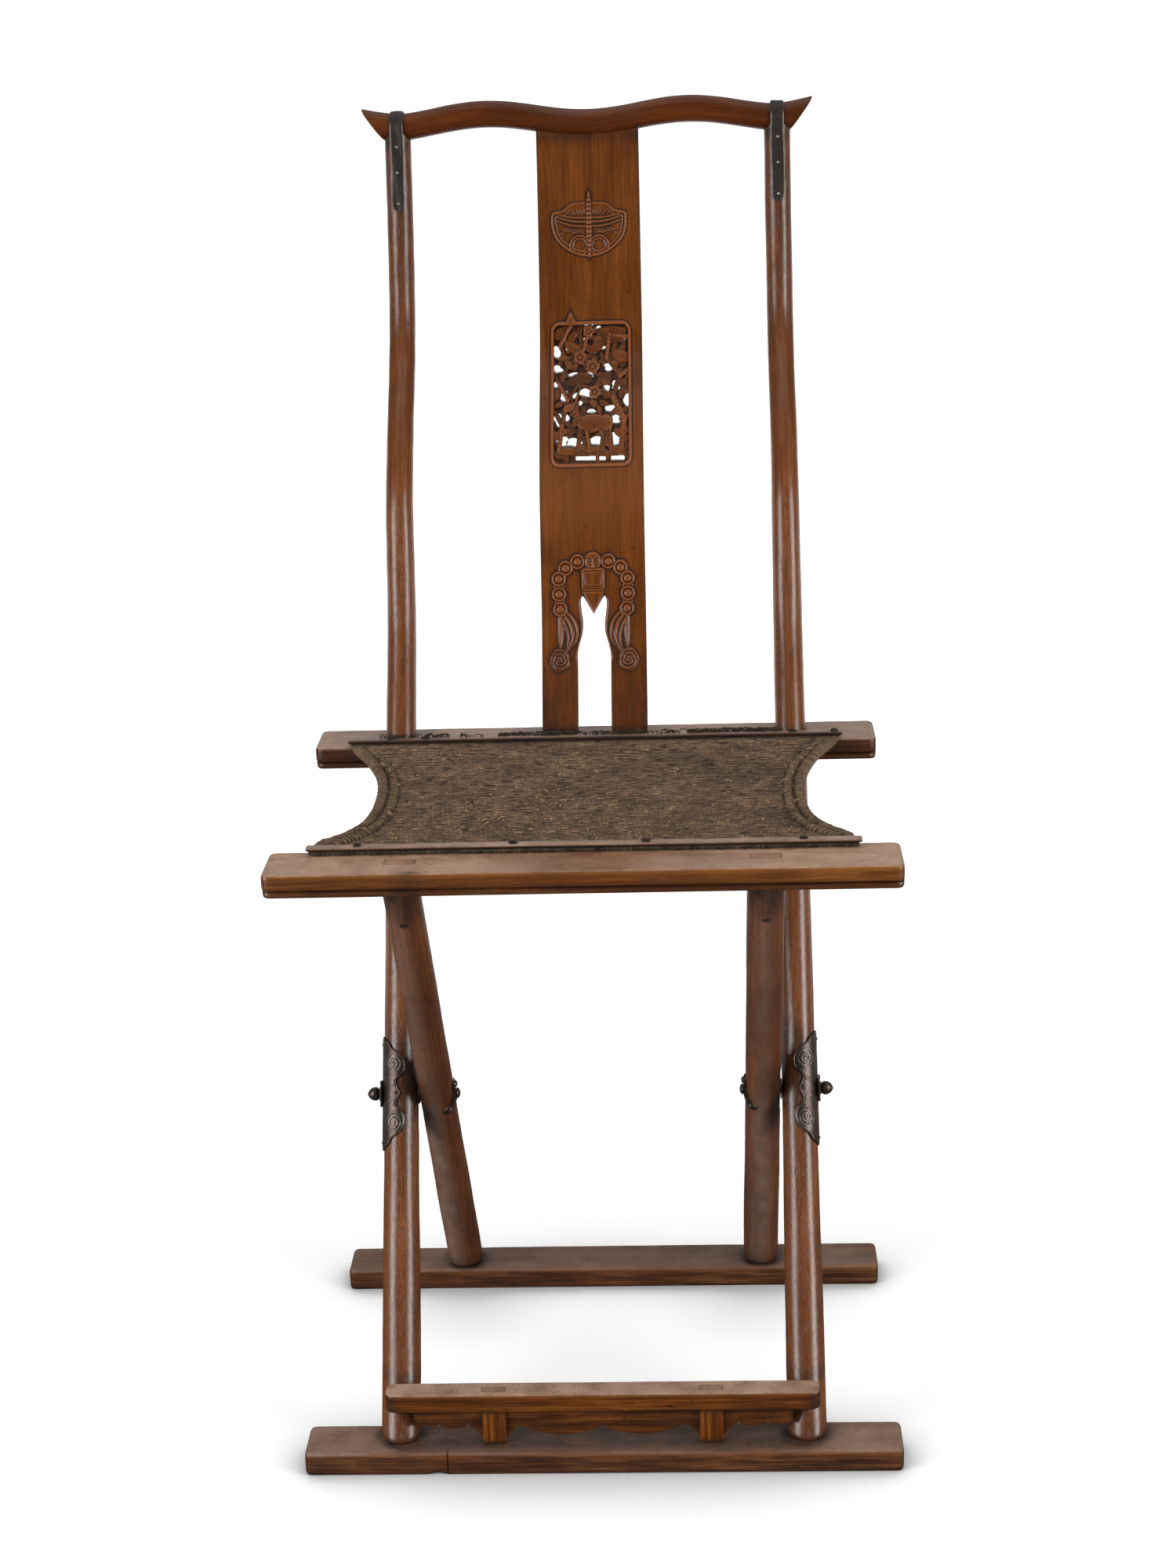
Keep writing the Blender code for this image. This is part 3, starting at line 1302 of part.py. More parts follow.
def outer_frame(red, rail_wood, dark, iron):
    """Everything that stays with the stiles."""
    pieces = [rear_seat_rail(rail_wood), splat(red), new_object("crest_rail", crest_mesh(), red)]
    batten_y = SEAT_RAIL_PITCH + BATTEN_SETBACK + BATTEN_WIDTH / 2
    pieces.append(batten("rear_batten", batten_y, rail_wood))
    pieces.append(foot_bar("front_foot_bar", FRONT_BAR_SETBACK, STILE_SPACING, stile_y, dark))
    pieces.append(footrest_board(red))
    pieces += aprons(red)
    for label, side in SIDES:
        pieces.append(stile(label, side, red))
        pieces.append(footrest_strut(label, side, red))
        pieces.append(leg_plate(label, side, iron))
        pieces.append(pivot_pin(label, side, iron))
        pieces.append(pivot_washer(label, side, iron))
        pieces.append(petal_washer(label, side, iron))
        pieces.append(strap_iron(label, side, iron))
    pieces.append(seat_webbing(woven_hemp()))
    return pieces


def inner_frame(rail_wood, dark, iron):
    """Everything that turns with the short legs."""
    batten_y = SEAT_RAIL_WIDTH - BATTEN_SETBACK - BATTEN_WIDTH / 2
    pieces = [front_seat_rail(rail_wood), batten("front_batten", batten_y, rail_wood)]
    pieces.append(foot_bar("rear_foot_bar", REAR_BAR_SETBACK, LEG_SPACING, leg_y, dark))
    for label, side in SIDES:
        pieces.append(inner_leg(label, side, dark))
        pieces.append(trefoil_plate(label, side, iron))
    return pieces


def empty(name, place):
    made = bpy.data.objects.new(name, None)
    bpy.context.scene.collection.objects.link(made)
    made.location = place
    return made


def middle_of(pieces):
    """The middle of the chair's box in X and Y."""
    corners = [piece.matrix_world @ Vector(corner) for piece in pieces for corner in piece.bound_box]
    low = [min(corner[k] for corner in corners) for k in range(2)]
    high = [max(corner[k] for corner in corners) for k in range(2)]
    return Vector(((low[0] + high[0]) / 2, (low[1] + high[1]) / 2, 0.0))


def main():
    for piece in list(bpy.data.objects):
        bpy.data.objects.remove(piece)
    red, rail_wood, dark, iron = red_brown_wood(), worn_rail_wood(), dark_leg_wood(), dark_iron()
    fixed = outer_frame(red, rail_wood, dark, iron)
    folding = inner_frame(rail_wood, dark, iron)
    bpy.context.view_layer.update()
    chair = empty("chair", -middle_of(fixed + folding))
    pivot_place = Vector((0.0, PIVOT_Y, PIVOT_Z))
    pivot = empty("fold_pivot", pivot_place)
    pivot.parent = chair
    for piece in fixed:
        piece.parent = chair
    for piece in folding:
        piece.data.transform(Matrix.Translation(-pivot_place))
        piece.parent = pivot


main()
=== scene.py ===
import math

import bpy
import numpy as np
from mathutils import Matrix, Vector

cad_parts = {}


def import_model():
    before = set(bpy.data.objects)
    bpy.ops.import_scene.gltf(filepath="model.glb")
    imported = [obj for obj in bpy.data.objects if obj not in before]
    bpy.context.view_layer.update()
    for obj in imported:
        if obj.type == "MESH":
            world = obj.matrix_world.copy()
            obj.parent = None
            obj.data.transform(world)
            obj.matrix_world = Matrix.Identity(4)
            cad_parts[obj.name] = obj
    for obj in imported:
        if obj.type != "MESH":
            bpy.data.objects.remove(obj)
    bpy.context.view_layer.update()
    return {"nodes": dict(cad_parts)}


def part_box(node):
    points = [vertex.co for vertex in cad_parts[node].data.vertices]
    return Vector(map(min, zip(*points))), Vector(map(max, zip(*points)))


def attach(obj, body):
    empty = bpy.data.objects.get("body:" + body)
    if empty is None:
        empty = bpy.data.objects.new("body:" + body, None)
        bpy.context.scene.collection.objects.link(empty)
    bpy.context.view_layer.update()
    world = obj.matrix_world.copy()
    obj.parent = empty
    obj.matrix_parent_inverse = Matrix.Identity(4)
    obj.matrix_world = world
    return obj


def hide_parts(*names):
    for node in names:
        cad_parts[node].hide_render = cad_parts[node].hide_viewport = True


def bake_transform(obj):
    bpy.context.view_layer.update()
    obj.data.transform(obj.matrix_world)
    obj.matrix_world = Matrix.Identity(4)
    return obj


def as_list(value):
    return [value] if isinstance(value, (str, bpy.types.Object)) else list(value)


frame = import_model()

# Sizes in metres, as in the part. Depth is counted from the front of the front seat rail
SHIFT = -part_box("front_seat_rail")[0].y
GAP = 0.0003
SEAT_HEIGHT = 0.565
SEAT_RAIL_PITCH = 0.330
SEAT_RAIL_LENGTH = 0.500
SEAT_RAIL_WIDTH = 0.057
SEAT_RAIL_HEIGHT = 0.021
FOOT_BAR_LENGTH = 0.512
FOOT_BAR_WIDTH = 0.048
FOOT_BAR_HEIGHT = 0.021
FRONT_BAR_SETBACK = 0.046
REAR_BAR_SETBACK = 0.371
STILE_SPACING = 0.350
STILE_FOOT_RADIUS = 0.0165
STILE_SEAT_RADIUS = 0.0137
STILE_TOP_RADIUS = 0.0122
BACK_RISE = 0.5177
BACK_LEAN = 0.2355
BACK_CURVE = (
    (0.0, 0.0), (0.17, 0.215), (0.28, 0.292), (0.39, 0.378), (0.50, 0.54),
    (0.62, 0.76), (0.74, 0.865), (0.86, 0.938), (1.0, 1.0),
)
LEG_SPACING = 0.287
LEG_TOP_RADIUS = 0.0152
LEG_FOOT_RADIUS = 0.0160
FOOT_ROLL = 0.005
CREST_LENGTH = 0.418
CREST_RADIUS = 0.0123
CREST_END_RADIUS = 0.0134
CREST_HUMP = 0.0102
CREST_TIP_RISE = 0.0055
CREST_BOW = 0.008
CREST_END_CUT = 0.0195
CREST_HUMP_SHARE = 0.449
SPLAT_WIDTH = 0.0947
SPLAT_THICKNESS = 0.009
OPENING_HALF_WIDTH = 0.0152
OPENING_HEIGHT = 0.1146
OPENING = (
    (0.98, 0.0), (0.98, 0.48), (1.0, 0.57), (0.84, 0.65), (0.65, 0.725), (0.64, 0.79),
    (0.73, 0.865), (0.79, 0.94), (0.72, 0.99), (0.60, 0.985), (0.0, 0.855),
)
PANEL_WIDTH = 0.0745
PANEL_HEIGHT = 0.1186
PANEL_RISE = 0.2828
PANEL_CORNER = 0.009
PANEL_BORDER = 0.0030
MEDALLION_WIDTH = 0.074
MEDALLION_HEIGHT = 0.056
MEDALLION_RISE = 0.4270
BEAD_SIZE = 0.0067
BEAD_ARCH_HALF_WIDTH = 0.0312
BEAD_ARCH_RISE = 0.1030
BEAD_ARCH_HEIGHT = 0.0408
BEAD_PLACES = ((0.45, 1.0), (0.80, 0.865), (1.0, 0.64), (1.0, 0.315), (0.97, 0.0))
ROSETTE_RADIUS = 0.0096
ROSETTE_RISE = 0.0609
ROSETTE_HALF_SPACING = 0.0310
HEAD_RADIUS = 0.0078
HEAD_RISE = 0.1444
BLOCK_WIDTH = 0.0214
BLOCK_HEIGHT = 0.0203
BLOCK_RISE = 0.1282
REST_LENGTH = 0.372
REST_DEPTH = 0.0225
REST_HEIGHT = 0.0175
REST_UNDERSIDE = 0.0525
REST_SETBACK = 0.0125
STRUT_SPACING = 0.186
STRUT_WIDTH = 0.020
STRUT_DEPTH = 0.0150
STRUT_SETBACK = 0.0150
APRON_THICKNESS = 0.006
APRON_SETBACK = 0.0035
APRON_DROP = 0.0290
APRON_WING = 0.0125
WASHER_THICKNESS = 0.0012
PIVOT_FLAT_LENGTH = 0.060
PLATE_THICKNESS = 0.0012
PLATE_HALF_LENGTH = 0.0500
PLATE_REACH = 0.56
PLATE_OUTLINE = (
    (0.0, 0.86), (0.10, 0.78), (0.22, 0.74), (0.34, 0.94), (0.50, 1.0), (0.66, 0.88),
    (0.80, 0.60), (0.90, 0.48), (1.0, 0.16),
)
PETAL_RADIUS = 0.0125
PETAL_THICKNESS = 0.0016
FINIAL_RADIUS = 0.0058
FINIAL_LENGTH = 0.0110
STRAP_WIDTH = 0.0120
STRAP_THICKNESS = 0.0014
STRAP_DROP = 0.0730
STRAP_FIT = 0.0007
SEAT_HALF_WIDTH = 0.2210
SEAT_WAIST_HALF_WIDTH = 0.1810
SEAT_SAG = 0.0100
WEB_THICKNESS = 0.0026
WEB_HEM = 0.0115
BATTEN_LENGTH = 0.440
BATTEN_WIDTH = 0.0090
BATTEN_HEIGHT = 0.0030
BATTEN_SETBACK = 0.0015

STILE_FOOT_Y = FRONT_BAR_SETBACK + 0.032
STILE_SEAT_Y = SEAT_RAIL_PITCH + SEAT_RAIL_WIDTH / 2
STILE_SLOPE = (STILE_SEAT_Y - STILE_FOOT_Y) / (SEAT_HEIGHT - FOOT_BAR_HEIGHT)
CREST_Z = SEAT_HEIGHT + BACK_RISE
CREST_Y = STILE_SEAT_Y + BACK_LEAN
LEG_TOP_Z = SEAT_HEIGHT - SEAT_RAIL_HEIGHT
LEG_TOP_Y = SEAT_RAIL_WIDTH / 2
LEG_FOOT_Y = REAR_BAR_SETBACK + FOOT_BAR_WIDTH / 2
LEG_SLOPE = (LEG_TOP_Y - LEG_FOOT_Y) / (LEG_TOP_Z - FOOT_BAR_HEIGHT)
PIVOT_Z = FOOT_BAR_HEIGHT + (LEG_FOOT_Y - STILE_FOOT_Y) / (STILE_SLOPE - LEG_SLOPE)
PIVOT_Y = STILE_FOOT_Y + STILE_SLOPE * (PIVOT_Z - FOOT_BAR_HEIGHT)
CROSSING_X = (STILE_SPACING + LEG_SPACING) / 4
SIDES = (("left", -1), ("right", 1))
FINE = 1.0



# Curves and noise

def smooth_value(pairs, place):
    """Read a smooth curve through pairs of numbers."""
    places, values = zip(*pairs)
    place = min(max(place, places[0]), places[-1])
    k = 0
    while k < len(places) - 2 and place > places[k + 1]:
        k += 1

    def tilt(i):
        low, high = max(i - 1, 0), min(i + 1, len(places) - 1)
        return (values[high] - values[low]) / (places[high] - places[low])

    span = places[k + 1] - places[k]
    t = (place - places[k]) / span
    rise, fall = tilt(k) * span, tilt(k + 1) * span
    return (
        values[k] * (2 * t**3 - 3 * t**2 + 1) + rise * (t**3 - 2 * t**2 + t)
        + values[k + 1] * (3 * t**2 - 2 * t**3) + fall * (t**3 - t**2)
    )


LINE_Z = np.linspace(0.0, CREST_Z + 0.03, 2400)
STILE_LINE = np.array([
    STILE_FOOT_Y + STILE_SLOPE * (z - FOOT_BAR_HEIGHT) if z <= SEAT_HEIGHT
    else STILE_SEAT_Y + BACK_LEAN * smooth_value(BACK_CURVE, (z - SEAT_HEIGHT) / BACK_RISE)
    for z in LINE_Z
])
SPLAT_LINE = STILE_LINE + CREST_BOW * (np.maximum(LINE_Z - SEAT_HEIGHT, 0.0) / BACK_RISE) ** 2
LEG_LINE = LEG_FOOT_Y + LEG_SLOPE * (LINE_Z - FOOT_BAR_HEIGHT)


def unit(value):
    return np.clip(value, 0.0, 1.0)


def joined(*parts):
    """Numbers and arrays side by side along a new last axis."""
    return np.stack(np.broadcast_arrays(*parts), -1)


def axes(points):
    """The last axis of an array of points, as x, y and z."""
    return np.moveaxis(points, -1, 0)


def circle(sides, shift=0.0):
    """Angles evenly round a circle."""
    return 2 * np.pi * (np.arange(sides) + shift) / sides


def run_along(path):
    """Distance from the start of a path to each of its points."""
    return np.concatenate(([0.0], np.cumsum(np.linalg.norm(np.diff(path, axis=0), axis=1))))


def on(line, z):
    return np.interp(z, LINE_Z, line)


def slope_on(line, z):
    step = 0.0006
    return (on(line, z + step) - on(line, z - step)) / (2 * step)


def stretch_on(line, z):
    return np.hypot(1.0, slope_on(line, z))


def length_on(line, z):
    """Distance along a leaning line, for the grain."""
    return np.interp(z, LINE_Z, run_along(joined(line, LINE_Z)))


def ripple(x, y, seed, scale):
    """Smooth irregularity from -1 to 1, the same on every run."""
    total = 0.0
    for k in range(5):
        turn = seed * 1.7 + k * 2.399
        way = (x * math.cos(turn) + y * math.sin(turn)) * (1.0 + 0.73 * k)
        total = total + np.sin(way / scale + seed * (k + 1.3)) / (1.0 + 0.5 * k)
    return total / 2.9


def stile_radius(z):
    share = (z - FOOT_BAR_HEIGHT) / (SEAT_HEIGHT - FOOT_BAR_HEIGHT)
    low = STILE_FOOT_RADIUS + (STILE_SEAT_RADIUS - STILE_FOOT_RADIUS) * share
    share = unit((z - SEAT_HEIGHT) / (BACK_RISE / 2))
    high = STILE_SEAT_RADIUS + (STILE_TOP_RADIUS - STILE_SEAT_RADIUS) * share
    return np.where(z <= SEAT_HEIGHT, low, high)


def leg_radius(z):
    share = (z - FOOT_BAR_HEIGHT) / (LEG_TOP_Z - FOOT_BAR_HEIGHT)
    return LEG_FOOT_RADIUS + (LEG_TOP_RADIUS - LEG_FOOT_RADIUS) * share


def near(distance, reach):
    """1 where a distance is zero, falling smoothly to 0 at reach."""
    t = unit(1.0 - np.abs(distance) / reach)
    return t * t * (3 - 2 * t)


# Meshes: rows of points with their places in the grain and their marks, which are stain (in places painted
# shade), dust or bright wear (in places a painted sheen), and hollow (above 0, dirt and painted shade) or
# rubbed relief (below 0, on the splat a painted highlight)

class Skin:
    """Points, faces, grain places and marks gathered for one piece."""

    def __init__(self):
        self.layers, self.faces = ([], [], []), []
        self.count = 0

    def add(self, faces, *layers):
        """Add faces with their points, grain places and marks."""
        for rows, values in zip(self.layers, layers):
            rows.append(values)
        self.faces += [block + self.count for block in faces]
        self.count += len(layers[0])

    def grid(self, points, grain, marks, caps=True):
        """Skin rows of points, each closed to a ring; caps closes the first and the last ring."""
        grids = [np.asarray(values, float) for values in (points, grain, marks)]
        rows, columns = grids[0].shape[:2]
        index = np.arange(rows * columns).reshape(rows, columns)
        after = np.roll(index, -1, 1)
        faces = [joined(index[:-1], after[:-1], after[1:], index[1:]).reshape(-1, 4)]
        layers = [values.reshape(-1, 3) for values in grids]
        for row in (0, rows - 1) if caps else ():
            pair = (after[row], index[row]) if row == 0 else (index[row], after[row])
            faces.append(joined(*pair, len(layers[0])))
            layers = [np.vstack([layer, values[row].mean(0)]) for layer, values in zip(layers, grids)]
        self.add(faces, *layers)

    def tube(self, path, radius, sides, marks):
        """A round cord along a path, closed at both ends."""
        radius = np.broadcast_to(radius, len(path))[:, None]
        run = np.gradient(path, axis=0)
        run /= np.linalg.norm(run, axis=1)[:, None] + 1e-12
        helper = (1.0, 0.0, 0.0) if abs(run[0, 2]) > 0.9 else (0.0, 0.0, 1.0)
        across = np.cross(run, helper)
        across /= np.linalg.norm(across, axis=1)[:, None] + 1e-12
        other = np.cross(run, across)
        over, up = radius * np.cos(circle(sides)), radius * np.sin(circle(sides))
        rows = path[:, None] + across[:, None] * over[..., None] + other[:, None] * up[..., None]
        self.grid(rows, joined(over, up, run_along(path)[:, None]), np.broadcast_to(marks, rows.shape))

    def dome(self, base, out, radius, height, sides, marks=(0, 0, 0)):
        """A round nail head that stands on a base point."""
        out = np.asarray(out, float) / np.linalg.norm(out)
        across = np.cross(out, (1.0, 0.0, 0.0) if abs(out[0]) < 0.8 else (0.0, 1.0, 0.0))
        across /= np.linalg.norm(across)
        other = np.cross(out, across)
        turn = circle(sides)[:, None]
        ring = across * np.cos(turn) + other * np.sin(turn)
        rows = np.array([
            np.asarray(base) + ring * radius * math.cos(angle) + out * height * math.sin(angle)
            for angle in np.linspace(-0.35, math.pi / 2 * 0.97, 8)])
        self.grid(rows, rows, np.broadcast_to(marks, rows.shape))


def flipped(points, faces):
    """True if a closed skin's faces point inward."""
    total = 0.0
    for block in faces:
        for k in range(1, block.shape[1] - 1):
            a, b, c = points[block[:, 0]], points[block[:, k]], points[block[:, k + 1]]
            total += np.einsum("ij,ij->i", a, np.cross(b, c)).sum()
    return total < 0


def link(made):
    bpy.context.scene.collection.objects.link(made)
    return made


def make(name, skin, material, body, replaced=(), sharp=38):
    """Turn a skin into an object that rides on a body."""
    points, grain, marks = (np.concatenate(rows) for rows in skin.layers)
    points = points - np.array([0.0, SHIFT, 0.0])
    faces = skin.faces
    if flipped(points - points.mean(0), faces):
        faces = [block[:, ::-1] for block in faces]
    mesh = bpy.data.meshes.new(name)
    mesh.vertices.add(len(points))
    mesh.vertices.foreach_set("co", points.astype(np.float32).ravel())
    loops = np.concatenate([block.ravel() for block in faces]).astype(np.int32)
    sizes = np.concatenate([np.full(len(block), block.shape[1]) for block in faces])
    starts = np.concatenate(([0], np.cumsum(sizes)[:-1])).astype(np.int32)
    mesh.loops.add(len(loops))
    mesh.loops.foreach_set("vertex_index", loops)
    mesh.polygons.add(len(starts))
    mesh.polygons.foreach_set("loop_start", starts)
    mesh.update(calc_edges=True)
    mesh.validate()
    for label, values in (("grain", grain), ("marks", marks)):
        made = mesh.attributes.new(label, "FLOAT_VECTOR", "POINT")
        made.data.foreach_set("vector", values.astype(np.float32).ravel())
    mesh.shade_smooth()
    mesh.set_sharp_from_angle(angle=math.radians(sharp))
    mesh.materials.append(material)
    piece = link(bpy.data.objects.new(name, mesh))
    if replaced:
        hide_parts(*replaced)
    if body:
        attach(piece, body)
    return piece


def solid(name, points, grain, marks, material, body, replaced=(), sharp=38, caps=True):
    """Make a piece of one grid of points."""
    skin = Skin()
    skin.grid(points, grain, marks, caps)
    return make(name, skin, material, body, replaced, sharp)


# Materials: a field is a value at each point of a surface, so nodes read as plain sums

class Field:
    def __init__(self, tree, socket):
        self.tree, self.socket = tree, socket

    def calc(self, operation, other=0.0):
        return put(self.tree, "ShaderNodeMath", {0: self, 1: other}, operation=operation)

    def __add__(self, other):
        return self.calc("ADD", other)

    def __sub__(self, other):
        return self.calc("SUBTRACT", other)

    def __rsub__(self, other):
        return put(self.tree, "ShaderNodeMath", {0: other, 1: self}, operation="SUBTRACT")

    def __mul__(self, other):
        return self.calc("MULTIPLY", other)

    def __abs__(self):
        return self.calc("ABSOLUTE")

    def held(self):
        """Clamp the last sum between 0 and 1."""
        self.socket.node.use_clamp = True
        return self

    def split(self):
        made = put(self.tree, "ShaderNodeSeparateXYZ", {"Vector": self})
        return [Field(self.tree, socket) for socket in made.socket.node.outputs]

    def spread(self, low, high, to_low=0.0, to_high=1.0):
        return put(self.tree, "ShaderNodeMapRange", {
            "Value": self, "From Min": low, "From Max": high, "To Min": to_low, "To Max": to_high})

    def noise(self, scale, detail=3.0, rough=0.55, bend=0.0):
        return put(self.tree, "ShaderNodeTexNoise", {
            "Vector": self, "Scale": scale, "Detail": detail, "Roughness": rough, "Distortion": bend})

    def cloud(self, scale, *look, shift=(0.0, 0.0, 0.0)):
        """Noise that is scaled apart along each axis."""
        place = put(self.tree, "ShaderNodeMapping", {"Vector": self, "Scale": scale, "Location": shift})
        return place.noise(1.0, *look)

    def mix(self, a, b):
        """Colour a where this is 0, and b where it is 1."""
        made = put(self.tree, "ShaderNodeMix", output=2, data_type="RGBA")
        for index, value in ((0, self), (6, a), (7, b)):
            give(made.socket.node.inputs[index], (*value, 1.0) if isinstance(value, tuple) else value)
        return made


def give(socket, value):
    if isinstance(value, Field):
        value.tree.links.new(value.socket, socket)
    else:
        socket.default_value = value


def put(tree, kind, inputs=None, output=0, **settings):
    """Add a node, say what it does, set or link its inputs, and give one of its outputs."""
    made = tree.nodes.new(kind)
    for key, value in settings.items():
        setattr(made, key, value)
    for key, value in (inputs or {}).items():
        give(made.inputs[key], value)
    return Field(tree, made.outputs[output])


def ramp(value, stops):
    made = put(value.tree, "ShaderNodeValToRGB", {"Fac": value})
    points = made.socket.node.color_ramp.elements
    while len(points) < len(stops):
        points.new(0.5)
    for point, (place, colour) in zip(points, stops):
        point.position = place
        point.color = (*colour, 1.0)
    return made


def layered(colour, *layers):
    """Lay tones over a colour, each as thick as its field says."""
    for cover, tone in layers:
        colour = cover.mix(colour, tone)
    return colour


def new_material(name):
    made = bpy.data.materials.new(name)
    made.use_nodes = True
    return made, made.node_tree, made.node_tree.nodes["Principled BSDF"]


def dressed(shader, colour, rough, height, strength, distance, **constants):
    """Give a shader its colour, roughness, bumps and constants."""
    lump = put(colour.tree, "ShaderNodeBump", {"Strength": strength, "Distance": distance, "Height": height})
    for key, value in (("Base Color", colour), ("Roughness", rough), ("Normal", lump)):
        give(shader.inputs[key], value)
    for key, value in constants.items():
        shader.inputs[key.replace("_", " ")].default_value = value


def attribute(tree, name):
    return put(tree, "ShaderNodeAttribute", output="Vector", attribute_name=name)


def joint_lines(grain, joint):
    """The thin outline and inside of two tenon ends that show on a bar's top."""
    across, deep, half_across, half_deep = joint
    y, up, x = grain.split()
    side = abs(abs(x) - across) - half_across
    away = side.calc("MAXIMUM", abs(y - deep) - half_deep)
    on_top = up.calc("GREATER_THAN", 0.006)
    return abs(away).spread(0.0002, 0.0006, 1.0, 0.0) * on_top, away.calc("LESS_THAN") * on_top


PIT_TONE = (0.010, 0.005, 0.003)
WORN_HEMP = (0.40, 0.27, 0.13)
SHADE = (0.012, 0.010, 0.009)


def wood(name, dark, middle, light, dust_and_sheen_tone, roughness, coat, bump, seed,
         joint=None, shine=0.42, reach=0.20, relief=None, uneven=1.0):
    """Old lacquered hardwood: fine long grain, pores, blotches, stains (in places painted shade), dust (in
    places a painted sheen), and dirt with painted shade in hollows; on the splat, a relief tone paints
    highlights on raised carving.
    """
    made, tree, shader = new_material(name)
    grain, marks = attribute(tree, "grain"), attribute(tree, "marks")
    stain, dust, hollow = marks.split()

    def cloud(across, along, *look):
        return grain.cloud((across, across, along), *look, shift=(seed, seed * 0.7, seed * 0.3))

    wide = cloud(95, 5.0, 4.0, 0.6, 0.8)
    streak = cloud(520, 22, 3.0, 0.6, 0.4)
    fibre = cloud(1900, 55, 2.0, 0.6)
    blotch = cloud(16, 9, 3.0, 0.6, 0.5)
    breakup = cloud(60, 40, 4.0, 0.65)
    pores = cloud(2600, 140, 1.0).spread(0.62, 0.70)
    pits = cloud(210, 95, 2.0, 0.5).spread(0.70, 0.76)
    split_line = abs(cloud(150, 7.0, 2.0, 0.5) - 0.5)
    crack = (split_line.spread(0.0, 0.007, 1.0, 0.0) * blotch.spread(0.54, 0.62)).held()
    # Raised relief takes a lighter tone: rubbed wear, and on the splat a painted highlight. Sunk places take
    # a dark tone: dirt and painted shade.
    raised = (hollow.calc("MINIMUM") * (-0.85 if relief else -0.60)).held()
    sunk = (hollow.calc("MAXIMUM") * 0.92).held()
    grains = cloud(800, 420, 3.0, 0.7).spread(0.32, 0.56, 0.62, 1.0)
    # Dust, which on the short legs and the splat also paints a sheen
    dust_and_sheen = (dust * (breakup.spread(0.28, 0.60, 0.42, 1.0) * grains)).held()
    old_dust_and_sheen = tuple(0.72 * c for c in dust_and_sheen_tone)
    colour = layered(
        ramp(wide * 0.5 + streak * 0.5, ((0.5 - reach, dark), (0.5, middle), (0.5 + reach, light))),
        (blotch.spread(0.42, 0.72, 0.0, 0.65), dark),
        (fibre.spread(0.40, 0.62, 0.22, 0.0), (0.01, 0.004, 0.002)),
        (pores * 0.45, (0.008, 0.003, 0.002)),
        (pits * 0.75, PIT_TONE),
        (crack * 0.6, PIT_TONE),
        (raised, relief or light),
        (sunk, (0.013, 0.006, 0.0035)),
        (dust_and_sheen, streak.spread(0.35, 0.65, 0.0, 0.5).mix(dust_and_sheen_tone, old_dust_and_sheen)),
        # The stain mark also carries painted shade and painted shadow in places
        ((stain * breakup.spread(0.30, 0.60, 0.45, 1.15)).held(), (0.016, 0.009, 0.007)))
    if joint is not None:
        line, inside = joint_lines(grain, joint)
        colour = layered(colour, (inside * 0.35, middle), (line * 0.75, PIT_TONE))
    rough = streak * (0.16 * uneven) + (roughness - 0.17 * uneven) + breakup * (0.18 * uneven)
    rough = (rough + dust_and_sheen * 0.24 + sunk * 0.25 - raised * 0.16).held()
    wear, grit = cloud(130, 60, 3.0, 0.5), cloud(900, 500, 2.0, 0.6)
    height = streak * 0.30 + fibre * 0.22 - pores * 0.35 + wear * 0.7 - pits * 0.8 + grit * 0.55
    dressed(shader, colour, rough, height, bump, 0.0005,
            Specular_IOR_Level=shine, Coat_Weight=coat, Coat_Roughness=0.20)
    return made


def iron(name, tone, rust, roughness=0.42, metallic=0.75, lumpy=0.45):
    """Old forged iron with rust and rubbed edges."""
    made, tree, shader = new_material(name)
    place = put(tree, "ShaderNodeTexCoord", output="Object")
    dark, worn_bright, _ = attribute(tree, "marks").split()
    patch = place.noise(160.0, 4.0, 0.65, 0.4)
    speck = place.noise(1300.0, 3.0, 0.6)
    colour = layered(
        patch.spread(0.42, 0.66, 0.0, 0.75).mix(tone, rust),
        (speck.spread(0.45, 0.7, 0.0, 0.5), tuple(0.4 * c for c in tone)),
        ((dark * 0.85).held(), SHADE),
        ((worn_bright * speck.spread(0.30, 0.60, 0.35, 1.0)).held(), (0.30, 0.25, 0.21)))
    rough = (patch * 0.28 + (roughness - 0.14)).held()
    dressed(shader, colour, rough, patch * 0.8 + speck * 0.35, lumpy, 0.0004, Metallic=metallic)
    return made


